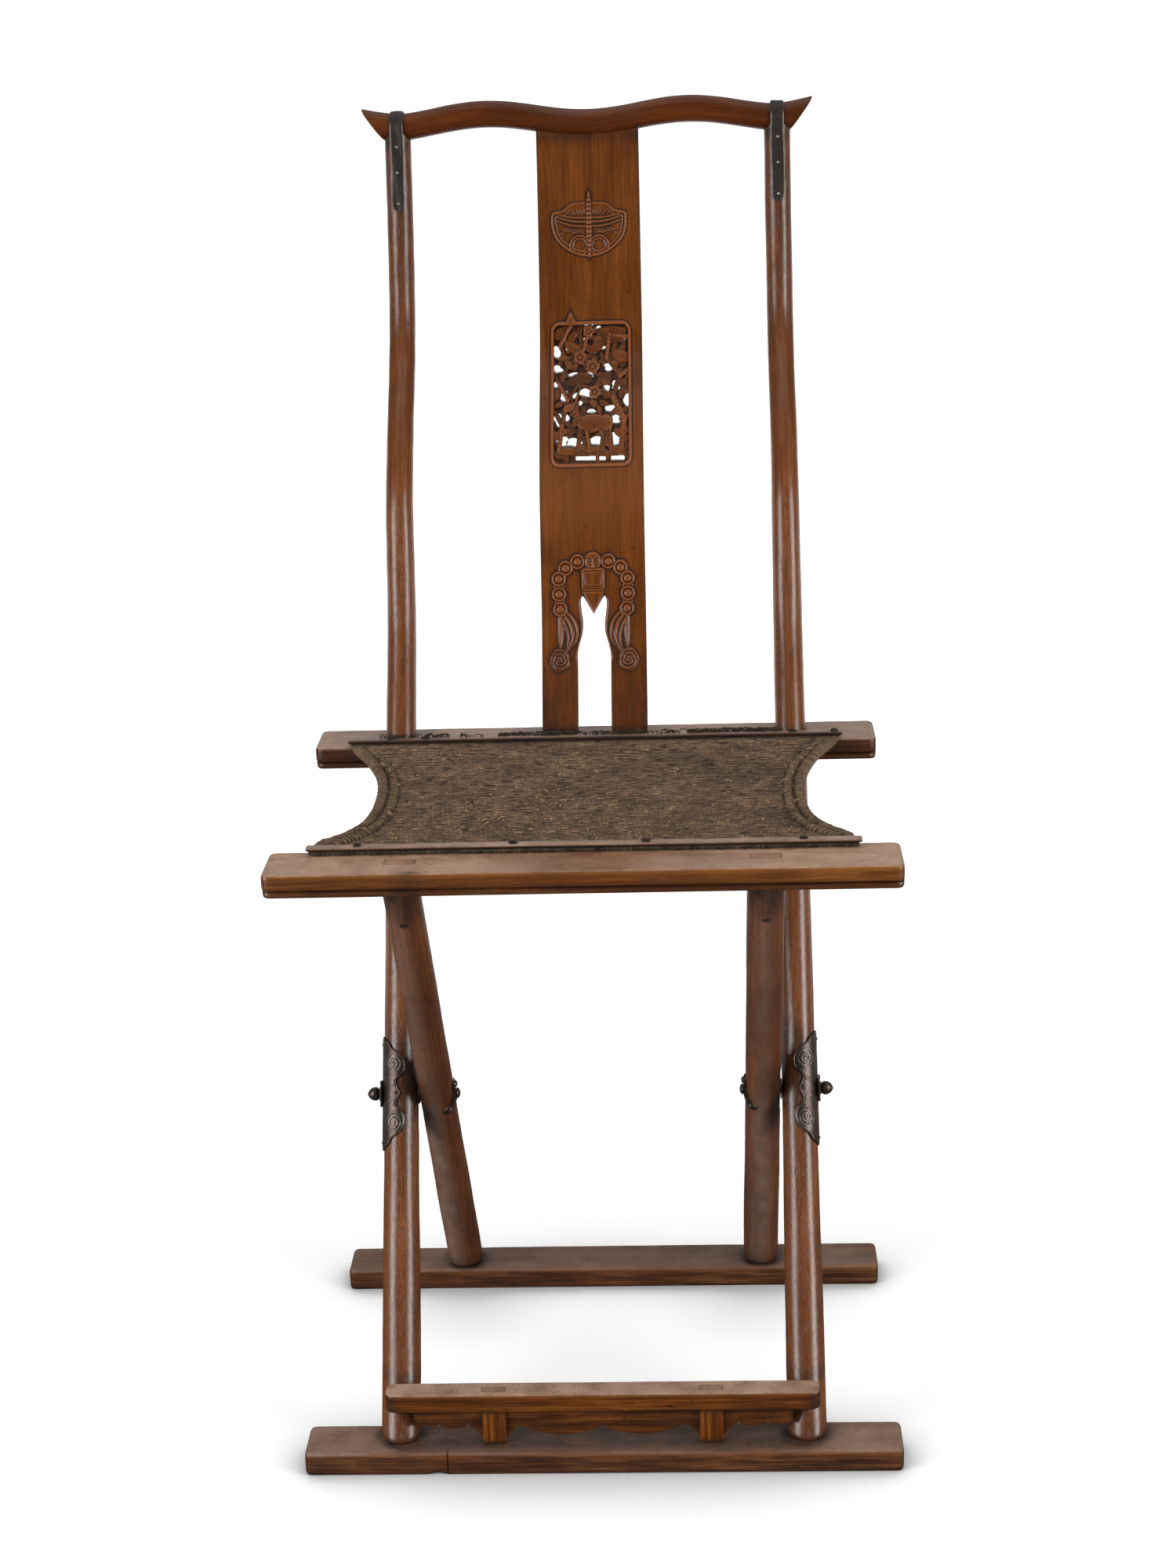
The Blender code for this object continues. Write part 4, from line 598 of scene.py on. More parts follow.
def woven(name):
    """Dense weave of grey-brown hemp cord in short raised floats, with worn tan places."""
    made, tree, shader = new_material(name)
    grain, marks = attribute(tree, "grain"), attribute(tree, "marks")
    stain, dust, _ = marks.split()
    sway = grain.cloud((26, 34, 30), 3.0, 0.6) - 0.5
    jitter = grain.cloud((260, 420, 300), 2.0, 0.6) - 0.5
    wobble = put(tree, "ShaderNodeCombineXYZ", {
        "X": (sway + jitter) * 0.0026, "Y": sway * 0.0060 + jitter * 0.0012})
    bent = put(tree, "ShaderNodeVectorMath", {0: grain, 1: wobble}, operation="ADD")
    tint = put(tree, "ShaderNodeTexBrick", {
        "Vector": bent, "Color1": (0.0, 0.0, 0.0, 1.0), "Color2": (1.0, 1.0, 1.0, 1.0),
        "Mortar": (0.5, 0.5, 0.5, 1.0), "Scale": 1.0, "Mortar Size": 0.00042, "Mortar Smooth": 0.85,
        "Bias": 0.0, "Brick Width": 0.0040, "Row Height": 0.0026}, offset=0.5)
    joint = Field(tree, tint.socket.node.outputs["Fac"])
    hair = grain.cloud((900, 900, 900), 3.0, 0.7)
    clump = grain.cloud((150, 260, 200), 3.0, 0.7)
    slit = grain.cloud((75, 380, 100), 2.0, 0.6)
    patch = grain.cloud((22, 30, 30), 4.0, 0.65)
    worn_tan = (clump.spread(0.60, 0.68) * (patch.spread(0.35, 0.7, 0.45, 0.05) + dust)).held()
    colour = layered(
        tint.mix((0.112, 0.066, 0.037), (0.262, 0.166, 0.100)),
        (clump.spread(0.40, 0.62, 0.0, 0.55), (0.300, 0.192, 0.120)),
        (patch.spread(0.42, 0.66, 0.0, 0.55), (0.052, 0.036, 0.025)),
        (slit.spread(0.38, 0.48, 0.75, 0.0), (0.018, 0.012, 0.009)),
        (worn_tan, WORN_HEMP),
        ((joint * 0.88).held(), (0.014, 0.010, 0.008)),
        ((stain * 0.9).held(), SHADE))
    height = clump * 0.9 - joint + hair * 0.5 - slit.spread(0.38, 0.48, 0.8, 0.0)
    dressed(shader, colour, hair.spread(0.3, 0.7, 0.80, 0.97), height, 0.9, 0.0011, Specular_IOR_Level=0.15)
    return made


def cord(name, dark, light):
    """Twisted hemp thread."""
    made, tree, shader = new_material(name)
    grain, marks = attribute(tree, "grain"), attribute(tree, "marks")
    stain, dust, _ = marks.split()
    twist = grain.cloud((900, 900, 260), 2.0)
    colour = layered(
        twist.spread(0.35, 0.65).mix(dark, light),
        (grain.cloud((120, 120, 30), 3.0).spread(0.4, 0.65, 0.0, 0.6), tuple(0.45 * c for c in dark)),
        ((dust * 1.0).held(), WORN_HEMP),
        ((stain * 0.9).held(), (0.010, 0.008, 0.007)))
    dressed(shader, colour, twist.spread(0.3, 0.7, 0.75, 0.95), twist, 0.6, 0.0004, Specular_IOR_Level=0.2)
    return made


DUST_AND_SHEEN = (0.235, 0.150, 0.105)
LEG_TENON = (LEG_SPACING / 2, 0.0, 0.0120, 0.0050)
STRUT_TENON_DEPTH = STRUT_SETBACK + 0.0075 - REST_SETBACK - REST_DEPTH / 2
STRUT_TENON = (STRUT_SPACING / 2, STRUT_TENON_DEPTH, 0.0100, 0.0033)
# The splat's relief tone is a painted highlight on its raised carving
SPLAT_WOOD = wood(
    "splat_wood", (0.062, 0.0150, 0.0014), (0.112, 0.0288, 0.0026), (0.176, 0.0500, 0.0062),
    DUST_AND_SHEEN, 0.34, 0.34, 0.26, 3.0, shine=0.10, reach=0.19, relief=(0.172, 0.0540, 0.0170))
CREST_WOOD = wood(
    "crest_wood", (0.037, 0.0082, 0.0010), (0.074, 0.0160, 0.0017), (0.132, 0.0340, 0.0040),
    DUST_AND_SHEEN, 0.30, 0.34, 0.30, 9.0, shine=0.12)
POST_WOOD = wood(
    "post_wood", (0.062, 0.0158, 0.0025), (0.122, 0.0335, 0.0055), (0.200, 0.0650, 0.0130),
    DUST_AND_SHEEN, 0.27, 0.14, 0.42, 15.0, uneven=0.5)
# The short legs' dust tone also paints the sheen down their fronts
LEG_WOOD = wood(
    "leg_wood", (0.056, 0.0160, 0.0043), (0.110, 0.0320, 0.0085), (0.180, 0.0600, 0.0180),
    (0.255, 0.174, 0.132), 0.38, 0.06, 0.40, 21.0, shine=0.35, reach=0.15)
FRONT_RAIL_WOOD = wood(
    "front_rail_wood", (0.064, 0.0185, 0.0036), (0.116, 0.035, 0.0058),
    (0.205, 0.074, 0.014), (0.400, 0.252, 0.164), 0.34, 0.18, 0.32, 27.0, LEG_TENON, shine=0.25, reach=0.14)
RAIL_WOOD = wood(
    "rail_wood", (0.026, 0.0076, 0.0023), (0.050, 0.0152, 0.0042), (0.080, 0.028, 0.0080),
    (0.350, 0.235, 0.165), 0.38, 0.14, 0.32, 29.0, shine=0.28, reach=0.14)
BAR_WOOD = wood(
    "bar_wood", (0.020, 0.0066, 0.0021), (0.074, 0.022, 0.0055), (0.165, 0.060, 0.0160),
    (0.240, 0.155, 0.112), 0.46, 0.05, 0.60, 33.0, shine=0.26, reach=0.12)
REST_WOOD = wood(
    "rest_wood", (0.035, 0.0095, 0.0012), (0.099, 0.0260, 0.0022), (0.200, 0.0620, 0.0075),
    (0.385, 0.258, 0.185), 0.35, 0.16, 0.34, 39.0, STRUT_TENON, shine=0.22, reach=0.12)
END_WOOD = wood(
    "end_wood", (0.020, 0.009, 0.0045), (0.045, 0.019, 0.0090), (0.090, 0.040, 0.0190),
    DUST_AND_SHEEN, 0.36, 0.12, 0.40, 45.0)
STRAP_IRON = iron("strap_metal", (0.058, 0.048, 0.043), (0.030, 0.022, 0.017))
PLATE_IRON = iron("plate_metal", (0.068, 0.049, 0.040), (0.028, 0.017, 0.013), roughness=0.31, lumpy=1.0)
BRIGHT_IRON = iron("nail_metal", (0.42, 0.36, 0.30), (0.15, 0.10, 0.07), roughness=0.34, metallic=0.9)
WEB = woven("woven_cord")
CORD = cord("loose_cord", (0.048, 0.030, 0.020), (0.158, 0.099, 0.066))
DARK_CORD = cord("dark_cord", (0.016, 0.011, 0.008), (0.048, 0.034, 0.024))


# Round sticks

def stick(name, x, line, radius_at, low, high, material, body, replaced, seed, marks_at, flat,
          top_height=None):
    """A leaning round stick with slight hand-worked irregularity, a rolled foot and a pivot flat."""
    sides = int(84 * FINE) // 2 * 2
    turn = circle(sides, 0.5)
    half = PIVOT_FLAT_LENGTH / 2
    pieces = [low + FOOT_ROLL * (1 - np.cos(np.linspace(0, math.pi / 2, 7)))]
    breaks = [low + FOOT_ROLL, PIVOT_Z - half, PIVOT_Z - half + GAP,
              PIVOT_Z + half - GAP, PIVOT_Z + half, high]
    for start, stop in zip(breaks, breaks[1:]):
        count = max(int((stop - start) / 0.0038 * FINE), 1)
        pieces.append(np.linspace(start, stop, count + 1)[1:])
    levels = np.concatenate(pieces)
    z, angle = np.meshgrid(levels, turn, indexing="ij")
    inset = unit(1.0 - (z - low) / FOOT_ROLL)
    radius = radius_at(z) - FOOT_ROLL * 0.55 * (1.0 - np.sqrt(unit(1.0 - inset**2)))
    length = length_on(line, z)
    uneven = 0.00016 * ripple(length, 0.02 * np.cos(angle), seed, 0.011)
    uneven += 0.00010 * np.cos(3 * angle + 40 * length + seed)
    edge = near(np.minimum(np.abs(z - high), np.abs(z - low)), 0.01)
    radius = radius + uneven * (1.0 - edge) - 0.0001 + 0.0006 * unit((0.21 - z) / 0.08)
    if top_height is not None:
        toward = unit(-0.25 - 0.9 * math.copysign(1.0, x) * np.cos(angle) - 0.35 * np.sin(angle))
        radius = radius - 0.0050 * near(z - REST_UNDERSIDE + 0.0045, 0.0125) * toward
        share = unit((z - (high - 0.03)) / 0.03)
        z = z + share * (top_height(on(line, high) + radius * np.sin(angle)) - high)
    px = x + radius * np.cos(angle)
    py = on(line, z) + radius * stretch_on(line, z) * np.sin(angle)
    flat_x, direction = flat
    inside = np.abs(levels - PIVOT_Z) < half - GAP / 2
    limit = np.maximum(px, flat_x) if direction > 0 else np.minimum(px, flat_x)
    px = np.where(inside[:, None], limit, px)
    points = joined(px, py, z)
    return solid(name, points, joined(px - x, radius * np.sin(angle), length), marks_at(points, angle),
                 material, body, replaced)


def crest_height(share):
    wave = np.cos(np.pi * np.minimum(share / CREST_HUMP_SHARE, 1.9))
    tip = np.maximum(share - 0.80, 0.0) / 0.20
    return -CREST_HUMP / 2 * wave + CREST_TIP_RISE * tip**1.6


def crest_radius(share):
    return CREST_RADIUS + (CREST_END_RADIUS - CREST_RADIUS) * np.maximum(share - 0.75, 0.0) / 0.25


LEG_PEG_Z = 0.517
POST_SHARE = STILE_SPACING / CREST_LENGTH
CREST_LEVEL = crest_height(np.float64(POST_SHARE))


def crest_line(x):
    """Centre depth and height of the crest rail at a place across the chair, and its radius."""
    share = np.abs(x) / (CREST_LENGTH / 2)
    bow = CREST_BOW * (1.0 - np.minimum(share / POST_SHARE, 1.0) ** 2)
    return CREST_Y + bow, CREST_Z + crest_height(share) - CREST_LEVEL, crest_radius(share)


def stile_top(y):
    """The coped top end of a stile, just inside the crest rail."""
    centre_y, centre_z, radius = crest_line(STILE_SPACING / 2)
    away = np.clip(np.abs(y - centre_y) / radius, 0.0, 0.92)
    return centre_z - (radius - 0.0012) * np.sqrt(1.0 - away**2)


def stile_marks(side):
    """Dark joints and foot, painted shade by the pivot where the short leg passes, under the footrest and
    towards the top, and a lighter rim beside the strap.
    """
    def marks(points, angle):
        x, _, z = axes(points)
        inward = -side * np.cos(angle)
        # Painted shade on the stile's inner side by the pivot, where the short leg passes in front of it
        cross = unit(1.8 * near(z - PIVOT_Z - 0.022, 0.054)) * unit(0.95 + 0.6 * inward)
        stain = 0.80 * cross + 0.75 * near(z - SEAT_HEIGHT, 0.010) + 0.55 * near(z - LEG_TOP_Z, 0.012)
        stain += 0.60 * near(z - FOOT_BAR_HEIGHT, 0.022) + 0.50 * near(z - 0.071, 0.010)
        # Painted shade on the stile's inner side under the footrest board
        stain += 0.9 * near(z - REST_UNDERSIDE + 0.001, 0.011) * unit(0.3 + inward)
        # Painted shade, darker up towards the stile's top; the ring under the crest is a dark joint
        stain += 0.30 * unit((z - 0.78) / 0.15) + 0.55 * near(z - (CREST_Z - 0.012), 0.012)
        strap = near(np.abs(np.abs(x) - STILE_SPACING / 2) - 0.0068, 0.0016) * (z > CREST_Z - 0.076)
        dust = 0.02 + 0.75 * strap * unit(0.5 + ripple(x * 3, z, 3.0, 0.004)) * (np.sin(angle) < 0)
        return joined(np.clip(stain, 0.0, 0.9), dust, 0)
    return marks


def leg_marks(side):
    """Dark joints and peg, painted shade by the pivot where the stile passes, and a painted sheen with some
    dust that runs down the front of a short leg.
    """
    def marks(points, angle):
        z = points[..., 2]
        across = np.cos(angle)
        # Painted shade on the leg's outer side by the pivot, where it passes the stile
        cross = near(z - PIVOT_Z, 0.065) * unit(0.40 + 0.6 * side * across)
        stain = 0.8 * cross + 0.65 * near(z - FOOT_BAR_HEIGHT, 0.030) + 0.85 * near(z - LEG_TOP_Z, 0.045)
        peg_away = np.hypot(z - LEG_PEG_Z, LEG_FOOT_RADIUS * (angle - 1.5 * np.pi))
        stain = np.maximum(np.clip(stain, 0.0, 0.92), 0.9 * near(peg_away, 0.0130))
        # A painted sheen down the front, with more dust lower down, kept off the outer edge by the pivot
        painted_sheen_band = near(across - (-0.40 if side < 0 else -0.12), 0.95) * (np.sin(angle) < 0.3)
        low = unit((PIVOT_Z + 0.02 + 0.03 * across - z) / 0.05)
        dust = painted_sheen_band * (0.34 + 0.42 * low) * (0.9 + 0.1 * ripple(z, angle * 0.01, 6.0 + side, 0.03))
        red_edge = near(z - PIVOT_Z - 0.012 + 0.02 * side * across, 0.045) * near(side * across - 0.9, 0.75)
        return joined(stain, dust * (1.0 - unit(1.5 * red_edge)), 0)
    return marks


FLAT_OFFSET = WASHER_THICKNESS / 2 + GAP
for label, side in SIDES:
    stick(f"turned_stile_{label}", side * STILE_SPACING / 2, STILE_LINE, stile_radius,
          FOOT_BAR_HEIGHT + GAP, CREST_Z - 0.004, POST_WOOD, "back_frame", (f"stile_{label}",),
          1.0 + side * 0.6, stile_marks(side), (side * (CROSSING_X + FLAT_OFFSET), side), stile_top)
    stick(f"short_leg_{label}", side * LEG_SPACING / 2, LEG_LINE, leg_radius,
          FOOT_BAR_HEIGHT + GAP, LEG_TOP_Z - GAP, LEG_WOOD, "seat_frame", (f"inner_leg_{label}",),
          4.0 + side * 0.8, leg_marks(side), (side * (CROSSING_X - FLAT_OFFSET), -side))


# Crest rail

def crest_rail():
    """The yoke: a round rail swept along its wave, with slanted ends and softened rims."""
    turn = circle(int(72 * FINE))
    half = CREST_LENGTH / 2
    top = CREST_Z + crest_height(np.float64(1.0)) - CREST_LEVEL + CREST_END_RADIUS
    lean = CREST_END_CUT / (2 * CREST_END_RADIUS)
    ease, blunt, start = 0.0016, 0.0011, 0.86

    def ring_at(x, shrink):
        centre_y, centre_z, radius = crest_line(x)
        return centre_y + (radius - shrink) * np.cos(turn), centre_z + (radius - shrink) * np.sin(turn)

    def limited(share, shrink=0.0):
        """The places across the chair of one ring, slanted near the rail's ends."""
        x = np.full(len(turn), share * half)
        if abs(share) > start:
            t = (abs(share) - start) / (1.0 - start)
            for _ in range(6):
                _, z = ring_at(x, shrink)
                limit = half - lean * (top - z)
                limit = -blunt * np.logaddexp(-limit / blunt, -(half - 0.0012) / blunt)
                x = math.copysign(1.0, share) * (start * half + t * (limit - start * half))
        return x

    points, grain = [], []
    shares = np.linspace(-1.0, 1.0, int(320 * FINE) // 2 * 2 + 1)
    rings = [(limited(-1.0, ease * sunk), ease * sunk) for sunk in (1.0, 0.45, 0.15)]
    rings += [(limited(share) * (1.0 if abs(share) < 1 else 0.9965), 0.0) for share in shares]
    rings += [(limited(1.0, ease * sunk), ease * sunk) for sunk in (0.15, 0.45, 1.0)]
    for x, shrink in rings:
        y, z = ring_at(x, shrink)
        uneven = 0.00018 * ripple(x, z * 0.4, 7.0, 0.014)
        y, z = y + uneven * np.cos(turn), z + (uneven - 0.0001) * np.sin(turn)
        centre_y, centre_z, _ = crest_line(x)
        points.append(joined(x, y, z))
        grain.append(joined(y - centre_y, z - centre_z, x))
    x, up = np.array(points)[..., 0], np.sin(turn)
    tip = near(np.abs(x) - half, 0.02)
    stain = 0.25 * tip + 0.5 * near(np.abs(x) - STILE_SPACING / 2, 0.013)
    stain += 0.6 * near(np.abs(x) - SPLAT_WIDTH / 2, 0.004) * (up < -0.5)
    dust = 0.01 + 0.10 * unit(up) * near(x, 0.10)
    return solid("yoke_rail", points, grain, joined(stain, dust, -0.35 * tip), CREST_WOOD, "back_frame",
                 ("crest_rail",))


crest_rail()


# Splat: the carving as heights over a flat board, then bent to the S curve

STEMS = (
    (0.80, -0.80, 0.88, -0.38, 0.085), (0.88, -0.38, 0.58, -0.06, 0.080),
    (0.58, -0.06, 0.78, 0.24, 0.070), (0.78, 0.24, 0.42, 0.50, 0.065),
    (0.42, 0.50, 0.50, 0.84, 0.060), (0.58, -0.06, 0.12, 0.04, 0.055),
    (0.12, 0.04, -0.34, 0.12, 0.050), (0.78, 0.24, 1.05, 0.34, 0.060),
    (0.42, 0.50, 0.02, 0.38, 0.055), (0.88, -0.38, 1.05, -0.30, 0.060),
    (-0.86, -0.80, -0.78, -0.46, 0.065), (-0.78, -0.46, -1.05, -0.20, 0.055),
    (-0.78, -0.46, -0.62, -0.10, 0.055), (-0.62, -0.10, -0.86, 0.14, 0.055),
    (-0.86, 0.14, -0.60, 0.40, 0.055), (-0.60, 0.40, -0.84, 0.68, 0.055),
    (-0.84, 0.68, -0.52, 1.02, 0.055), (-0.60, 0.40, -0.24, 0.52, 0.055),
    (-0.24, 0.52, 0.04, 0.40, 0.050), (-0.24, 0.52, -0.10, 0.84, 0.050),
    (-0.86, 0.14, -1.05, 0.30, 0.055), (-0.34, 0.12, -0.62, -0.10, 0.045),
    (0.50, 0.84, 0.98, 0.80, 0.060), (-0.10, 0.84, 0.20, 1.02, 0.050),
    (-0.30, -0.52, -0.36, -0.82, 0.060), (-0.12, -0.54, -0.04, -0.82, 0.055),
    (0.34, -0.52, 0.26, -0.82, 0.060), (0.48, -0.46, 0.54, -0.82, 0.060),
    (-0.30, -0.42, -0.46, -0.22, 0.105), (0.46, -0.36, 0.66, -0.24, 0.040),
    (-0.48, -0.16, -0.60, 0.02, 0.035), (-0.44, -0.16, -0.30, 0.06, 0.035),
    (-1.05, -0.86, 1.05, -0.86, 0.070), (0.16, -0.86, 0.16, -1.05, 0.050),
)
LEAVES = (
    (0.56, 0.84, 0.40, 0.13, 0.0), (0.80, 0.52, 0.26, 0.09, -0.3), (0.16, 0.66, 0.22, 0.075, 0.5),
    (-0.30, 0.18, 0.34, 0.085, 0.15), (0.34, 0.18, 0.20, 0.085, 0.4), (-0.84, 0.86, 0.18, 0.085, 0.6),
    (-0.50, 0.66, 0.24, 0.075, -0.5), (-0.96, -0.02, 0.18, 0.075, 0.9), (0.92, 0.04, 0.20, 0.070, 0.7),
    (-0.58, -0.54, 0.16, 0.060, 0.8), (0.74, -0.58, 0.16, 0.055, -0.6), (-0.96, -0.60, 0.14, 0.06, -0.5),
    (0.06, -0.42, 0.44, 0.125, 0.0), (-0.58, -0.20, 0.17, 0.060, 0.25), (0.40, -0.42, 0.18, 0.120, 0.0),
    (0.02, -0.80, 0.30, 0.050, 0.0), (-0.62, -0.82, 0.26, 0.060, 0.0), (0.72, -0.82, 0.24, 0.060, 0.0),
)
HOLES = (
    (0.02, 0.95, 0.20, 0.060), (0.80, 0.80, 0.15, 0.060), (-0.93, 0.60, 0.13, 0.085),
    (-0.60, 0.64, 0.09, 0.035), (0.10, 0.60, 0.06, 0.050), (0.33, 0.64, 0.08, 0.030),
    (-0.90, 0.33, 0.12, 0.065), (-0.47, 0.24, 0.13, 0.055), (0.48, 0.35, 0.13, 0.055),
    (-0.04, 0.24, 0.10, 0.065), (-0.93, 0.11, 0.07, 0.075), (-0.60, -0.05, 0.22, 0.085),
    (-0.08, -0.01, 0.27, 0.080), (0.42, 0.06, 0.08, 0.050), (0.66, 0.07, 0.11, 0.075),
    (0.95, -0.12, 0.09, 0.090), (0.54, -0.23, 0.18, 0.050), (0.00, -0.27, 0.12, 0.035),
    (-0.89, -0.38, 0.10, 0.105), (-0.64, -0.36, 0.06, 0.050), (0.64, -0.40, 0.13, 0.060),
    (-0.78, -0.70, 0.15, 0.090), (-0.46, -0.72, 0.19, 0.080), (0.11, -0.70, 0.19, 0.080),
    (0.70, -0.67, 0.18, 0.115), (-0.16, 0.76, 0.05, 0.028), (0.93, 0.52, 0.06, 0.035),
    (-0.28, -0.15, 0.05, 0.040),
)
SLOTS = ((-0.42, 0.38), (0.52, 0.88))
BODIES = (12, 13, 14)
BLOSSOMS = ((0.04, 0.38, 0.21), (-0.30, 0.52, 0.20), (0.10, 0.02, 0.18), (-0.06, 0.90, 0.17))
PANEL_HALF = (PANEL_WIDTH / 2 - PANEL_BORDER, PANEL_HEIGHT / 2 - PANEL_BORDER)


def hump(inside, width, height):
    """A rounded shoulder: 0 at an edge, up to height at a distance of width inside it."""
    return height * np.sqrt(1.0 - (1.0 - unit(inside / width)) ** 2)


def ridge(away, half, height):
    """A half-round moulding about a line."""
    return height * np.sqrt(1.0 - unit(np.abs(away) / half) ** 2)


def rounded_distance(x, z, half_x, half_z, corner):
    """Distance inside a rounded rectangle, negative outside."""
    ax, az = np.abs(x) - half_x + corner, np.abs(z) - half_z + corner
    outside = np.hypot(np.maximum(ax, 0), np.maximum(az, 0)) + np.minimum(np.maximum(ax, az), 0)
    return corner - outside


def turned(x, z, centre_x, centre_z, turn):
    """Distances along and across a leaf that is turned about its centre."""
    dx, dz = x - centre_x, z - centre_z
    return dx * math.cos(turn) + dz * math.sin(turn), dz * math.cos(turn) - dx * math.sin(turn)


def veins(along, across, pitch):
    return np.cos((np.abs(across) * 1.3 - along) * 2 * np.pi / pitch)


def stroke(x, z, start, end):
    """Distance to a straight stroke, and the share of its length beside each point."""
    rx, rz = end[0] - start[0], end[1] - start[1]
    t = unit(((x - start[0]) * rx + (z - start[1]) * rz) / (rx * rx + rz * rz + 1e-18))
    return np.hypot(x - start[0] - rx * t, z - start[1] - rz * t), t


class Relief:
    """Heights over the board, laid form by form."""

    def __init__(self, height):
        self.height = height

    def lay(self, inside, top, margin=0.0, over=False):
        """Lay a form where it is inside by more than a margin, over or up to what is there."""
        top = top if over else np.maximum(self.height, top)
        self.height = np.where(inside > margin, top, self.height)


def ground_foliage(x, z, relief):
    """Small leaves in offset rows that fill the panel's ground."""
    half_x, half_z = PANEL_HALF
    random = np.random.default_rng(5)
    for row in range(15):
        for column in range(8):
            cx = (column - 3.5 + 0.5 * (row % 2) + random.uniform(-0.25, 0.25)) / 4.0 * half_x
            cz = (row - 7 + random.uniform(-0.25, 0.25)) / 7.6 * half_z
            along, across = turned(x, z, cx, cz, random.uniform(-1.4, 1.4))
            size_x, size_z = random.uniform(0.0042, 0.0070), random.uniform(0.0022, 0.0034)
            level, pitch = random.uniform(-0.0019, -0.0007), random.uniform(0.0010, 0.0015)
            inside = (1.0 - np.hypot(along / size_x, across / size_z)) * size_z
            top = level + hump(inside, size_z * 0.8, 0.0010)
            top += 0.00013 * veins(along, across, pitch) * (inside > 0.0003) - 0.0002 * near(across, 0.0004)
            relief.lay(inside, top)


def carving(x, z):
    """The pierced panel: how far a point is inside the carving, its height, and the window."""
    half_x, half_z = PANEL_HALF
    best = np.full(x.shape, half_x)
    for k, (cx, cz, size_x, size_z) in enumerate(HOLES):
        dx, dz = (x - cx * half_x) / size_x, (z - cz * half_z) / size_z
        angle = np.arctan2(dz, dx)
        edge = 1.0 + 0.17 * np.cos(3 * angle + 2.3 * k) + 0.10 * np.cos(2 * angle + 1.1 * k)
        share = np.hypot(dx / half_x, dz / half_z) / edge
        best = np.minimum(best, (share - 1.0) * min(size_x * half_x, size_z * half_z))
    for low, high in SLOTS:
        middle, reach = (low + high) / 2 * half_x, (high - low) / 2 * half_x
        level = z + 0.945 * half_z + 0.012 * (x - middle)
        best = np.minimum(best, -rounded_distance(x - middle, level, reach, 0.0021, 0.0008))
    relief = Relief(np.full(x.shape, -0.0022))
    ground_foliage(x, z, relief)
    margin = -0.0002
    for k, (ax, az, bx, bz, width) in enumerate(STEMS):
        start, end = np.array([[ax, az], [bx, bz]]) * PANEL_HALF
        away, t = stroke(x, z, start, end)
        inside = width * half_x - away
        best = np.maximum(best, inside)
        bark = np.sin(t * math.dist(start, end) / 0.0009 + np.hypot(x - start[0], z - start[1]) * 900)
        top = 0.0005 * math.sin(k * 2.1) - 0.0013 + hump(inside, width * half_x, 0.0013)
        relief.lay(inside, top + 0.00013 * bark * (inside > 0.0004), margin)
    for k, (cx, cz, length, width, turn) in enumerate(LEAVES):
        along, across = turned(x, z, cx * half_x, cz * half_z, turn)
        size_x, size_z = length * half_x, width * half_z
        thin = min(size_x, size_z)
        inside = (1.0 - np.hypot(along / size_x, across / size_z)) * thin
        best = np.maximum(best, inside)
        if k in BODIES:
            top = -0.0004 + hump(inside, thin * 0.85, 0.0016)
        else:
            top = -0.0009 + 0.0004 * math.sin(k * 1.3) + hump(inside, thin * 0.85, 0.0009)
            top += 0.00017 * veins(along, across, 0.0014) * (inside > 0.0004) - 0.0002 * near(across, 0.0004)
        relief.lay(inside, top, margin)
    for cx, cz, size in BLOSSOMS:
        dx, dz = x - cx * half_x, z - cz * half_z
        angle, away, reach = np.arctan2(dz, dx), np.hypot(dx, dz), size * half_x
        inside = reach * (0.88 + 0.12 * np.cos(5 * angle)) - away
        best = np.maximum(best, inside)
        top = -0.0002 + hump(inside, reach * 0.5, 0.0010) - 0.0006 * near(np.sin(2.5 * angle), 0.28)
        top += hump(reach * 0.30 - away, reach * 0.30, 0.0009) - 0.0007 * near(away - reach * 0.34, 0.0006)
        relief.lay(inside, top, margin)
    window = -rounded_distance(x, z, half_x, half_z, PANEL_CORNER - PANEL_BORDER)
    return np.maximum(best, window), relief.height, window


def cut_corners(a, b):
    """Two points between each pair of neighbours, which rounds an outline's corners."""
    rounded = np.empty((2 * len(a), 2))
    rounded[0::2], rounded[1::2] = a * 0.75 + b * 0.25, a * 0.25 + b * 0.75
    return rounded


def opening_outline():
    """The forked opening's whole outline."""
    right = np.array(OPENING) * (OPENING_HALF_WIDTH, OPENING_HEIGHT)
    right[0, 1] = -0.02
    smooth = right[:-1]
    for _ in range(3):
        smooth = np.vstack([smooth[:1], cut_corners(smooth[:-1], smooth[1:]), smooth[-1:]])
    right = np.vstack([smooth, right[-1:]])
    return np.vstack([right, right[::-1][1:] * (-1.0, 1.0)])


def outside_distance(x, z, outline):
    """Distance outside a closed outline, negative inside it."""
    best = np.full(x.shape, 9.0)
    inside = np.zeros(x.shape, bool)
    for start, end in zip(outline, np.roll(outline, -1, 0)):
        best = np.minimum(best, stroke(x, z, start, end)[0])
        crossed = (start[1] > z) != (end[1] > z)
        with np.errstate(divide="ignore", invalid="ignore"):
            inside ^= crossed & (x < (z - start[1]) * (end[0] - start[0]) / (end[1] - start[1]) + start[0])
    return np.where(inside, -best, best)


MEDALLION_SHAPE = (
    (0.0, 0.715), (0.42, 0.700), (0.52, 0.620), (0.64, 0.465), (0.78, 0.440), (0.93, 0.410), (0.965, 0.215),
    (0.935, -0.140), (0.850, -0.430), (0.700, -0.660), (0.540, -0.820), (0.380, -0.930), (0.190, -1.005),
    (0.0, -1.03),
)
# Each sweep of a wing: its level, rise and half width
WING_SWEEPS = ((0.0065, 0.0060, 0.0009), (0.0030, 0.0072, 0.0010), (-0.0010, 0.0080, 0.0009))
# Each eye of a wing: its place across and up, and its size
WING_EYES = ((0.0125, -0.0052, 0.0021), (0.0205, -0.0040, 0.0022), (0.0265, -0.0070, 0.0015))


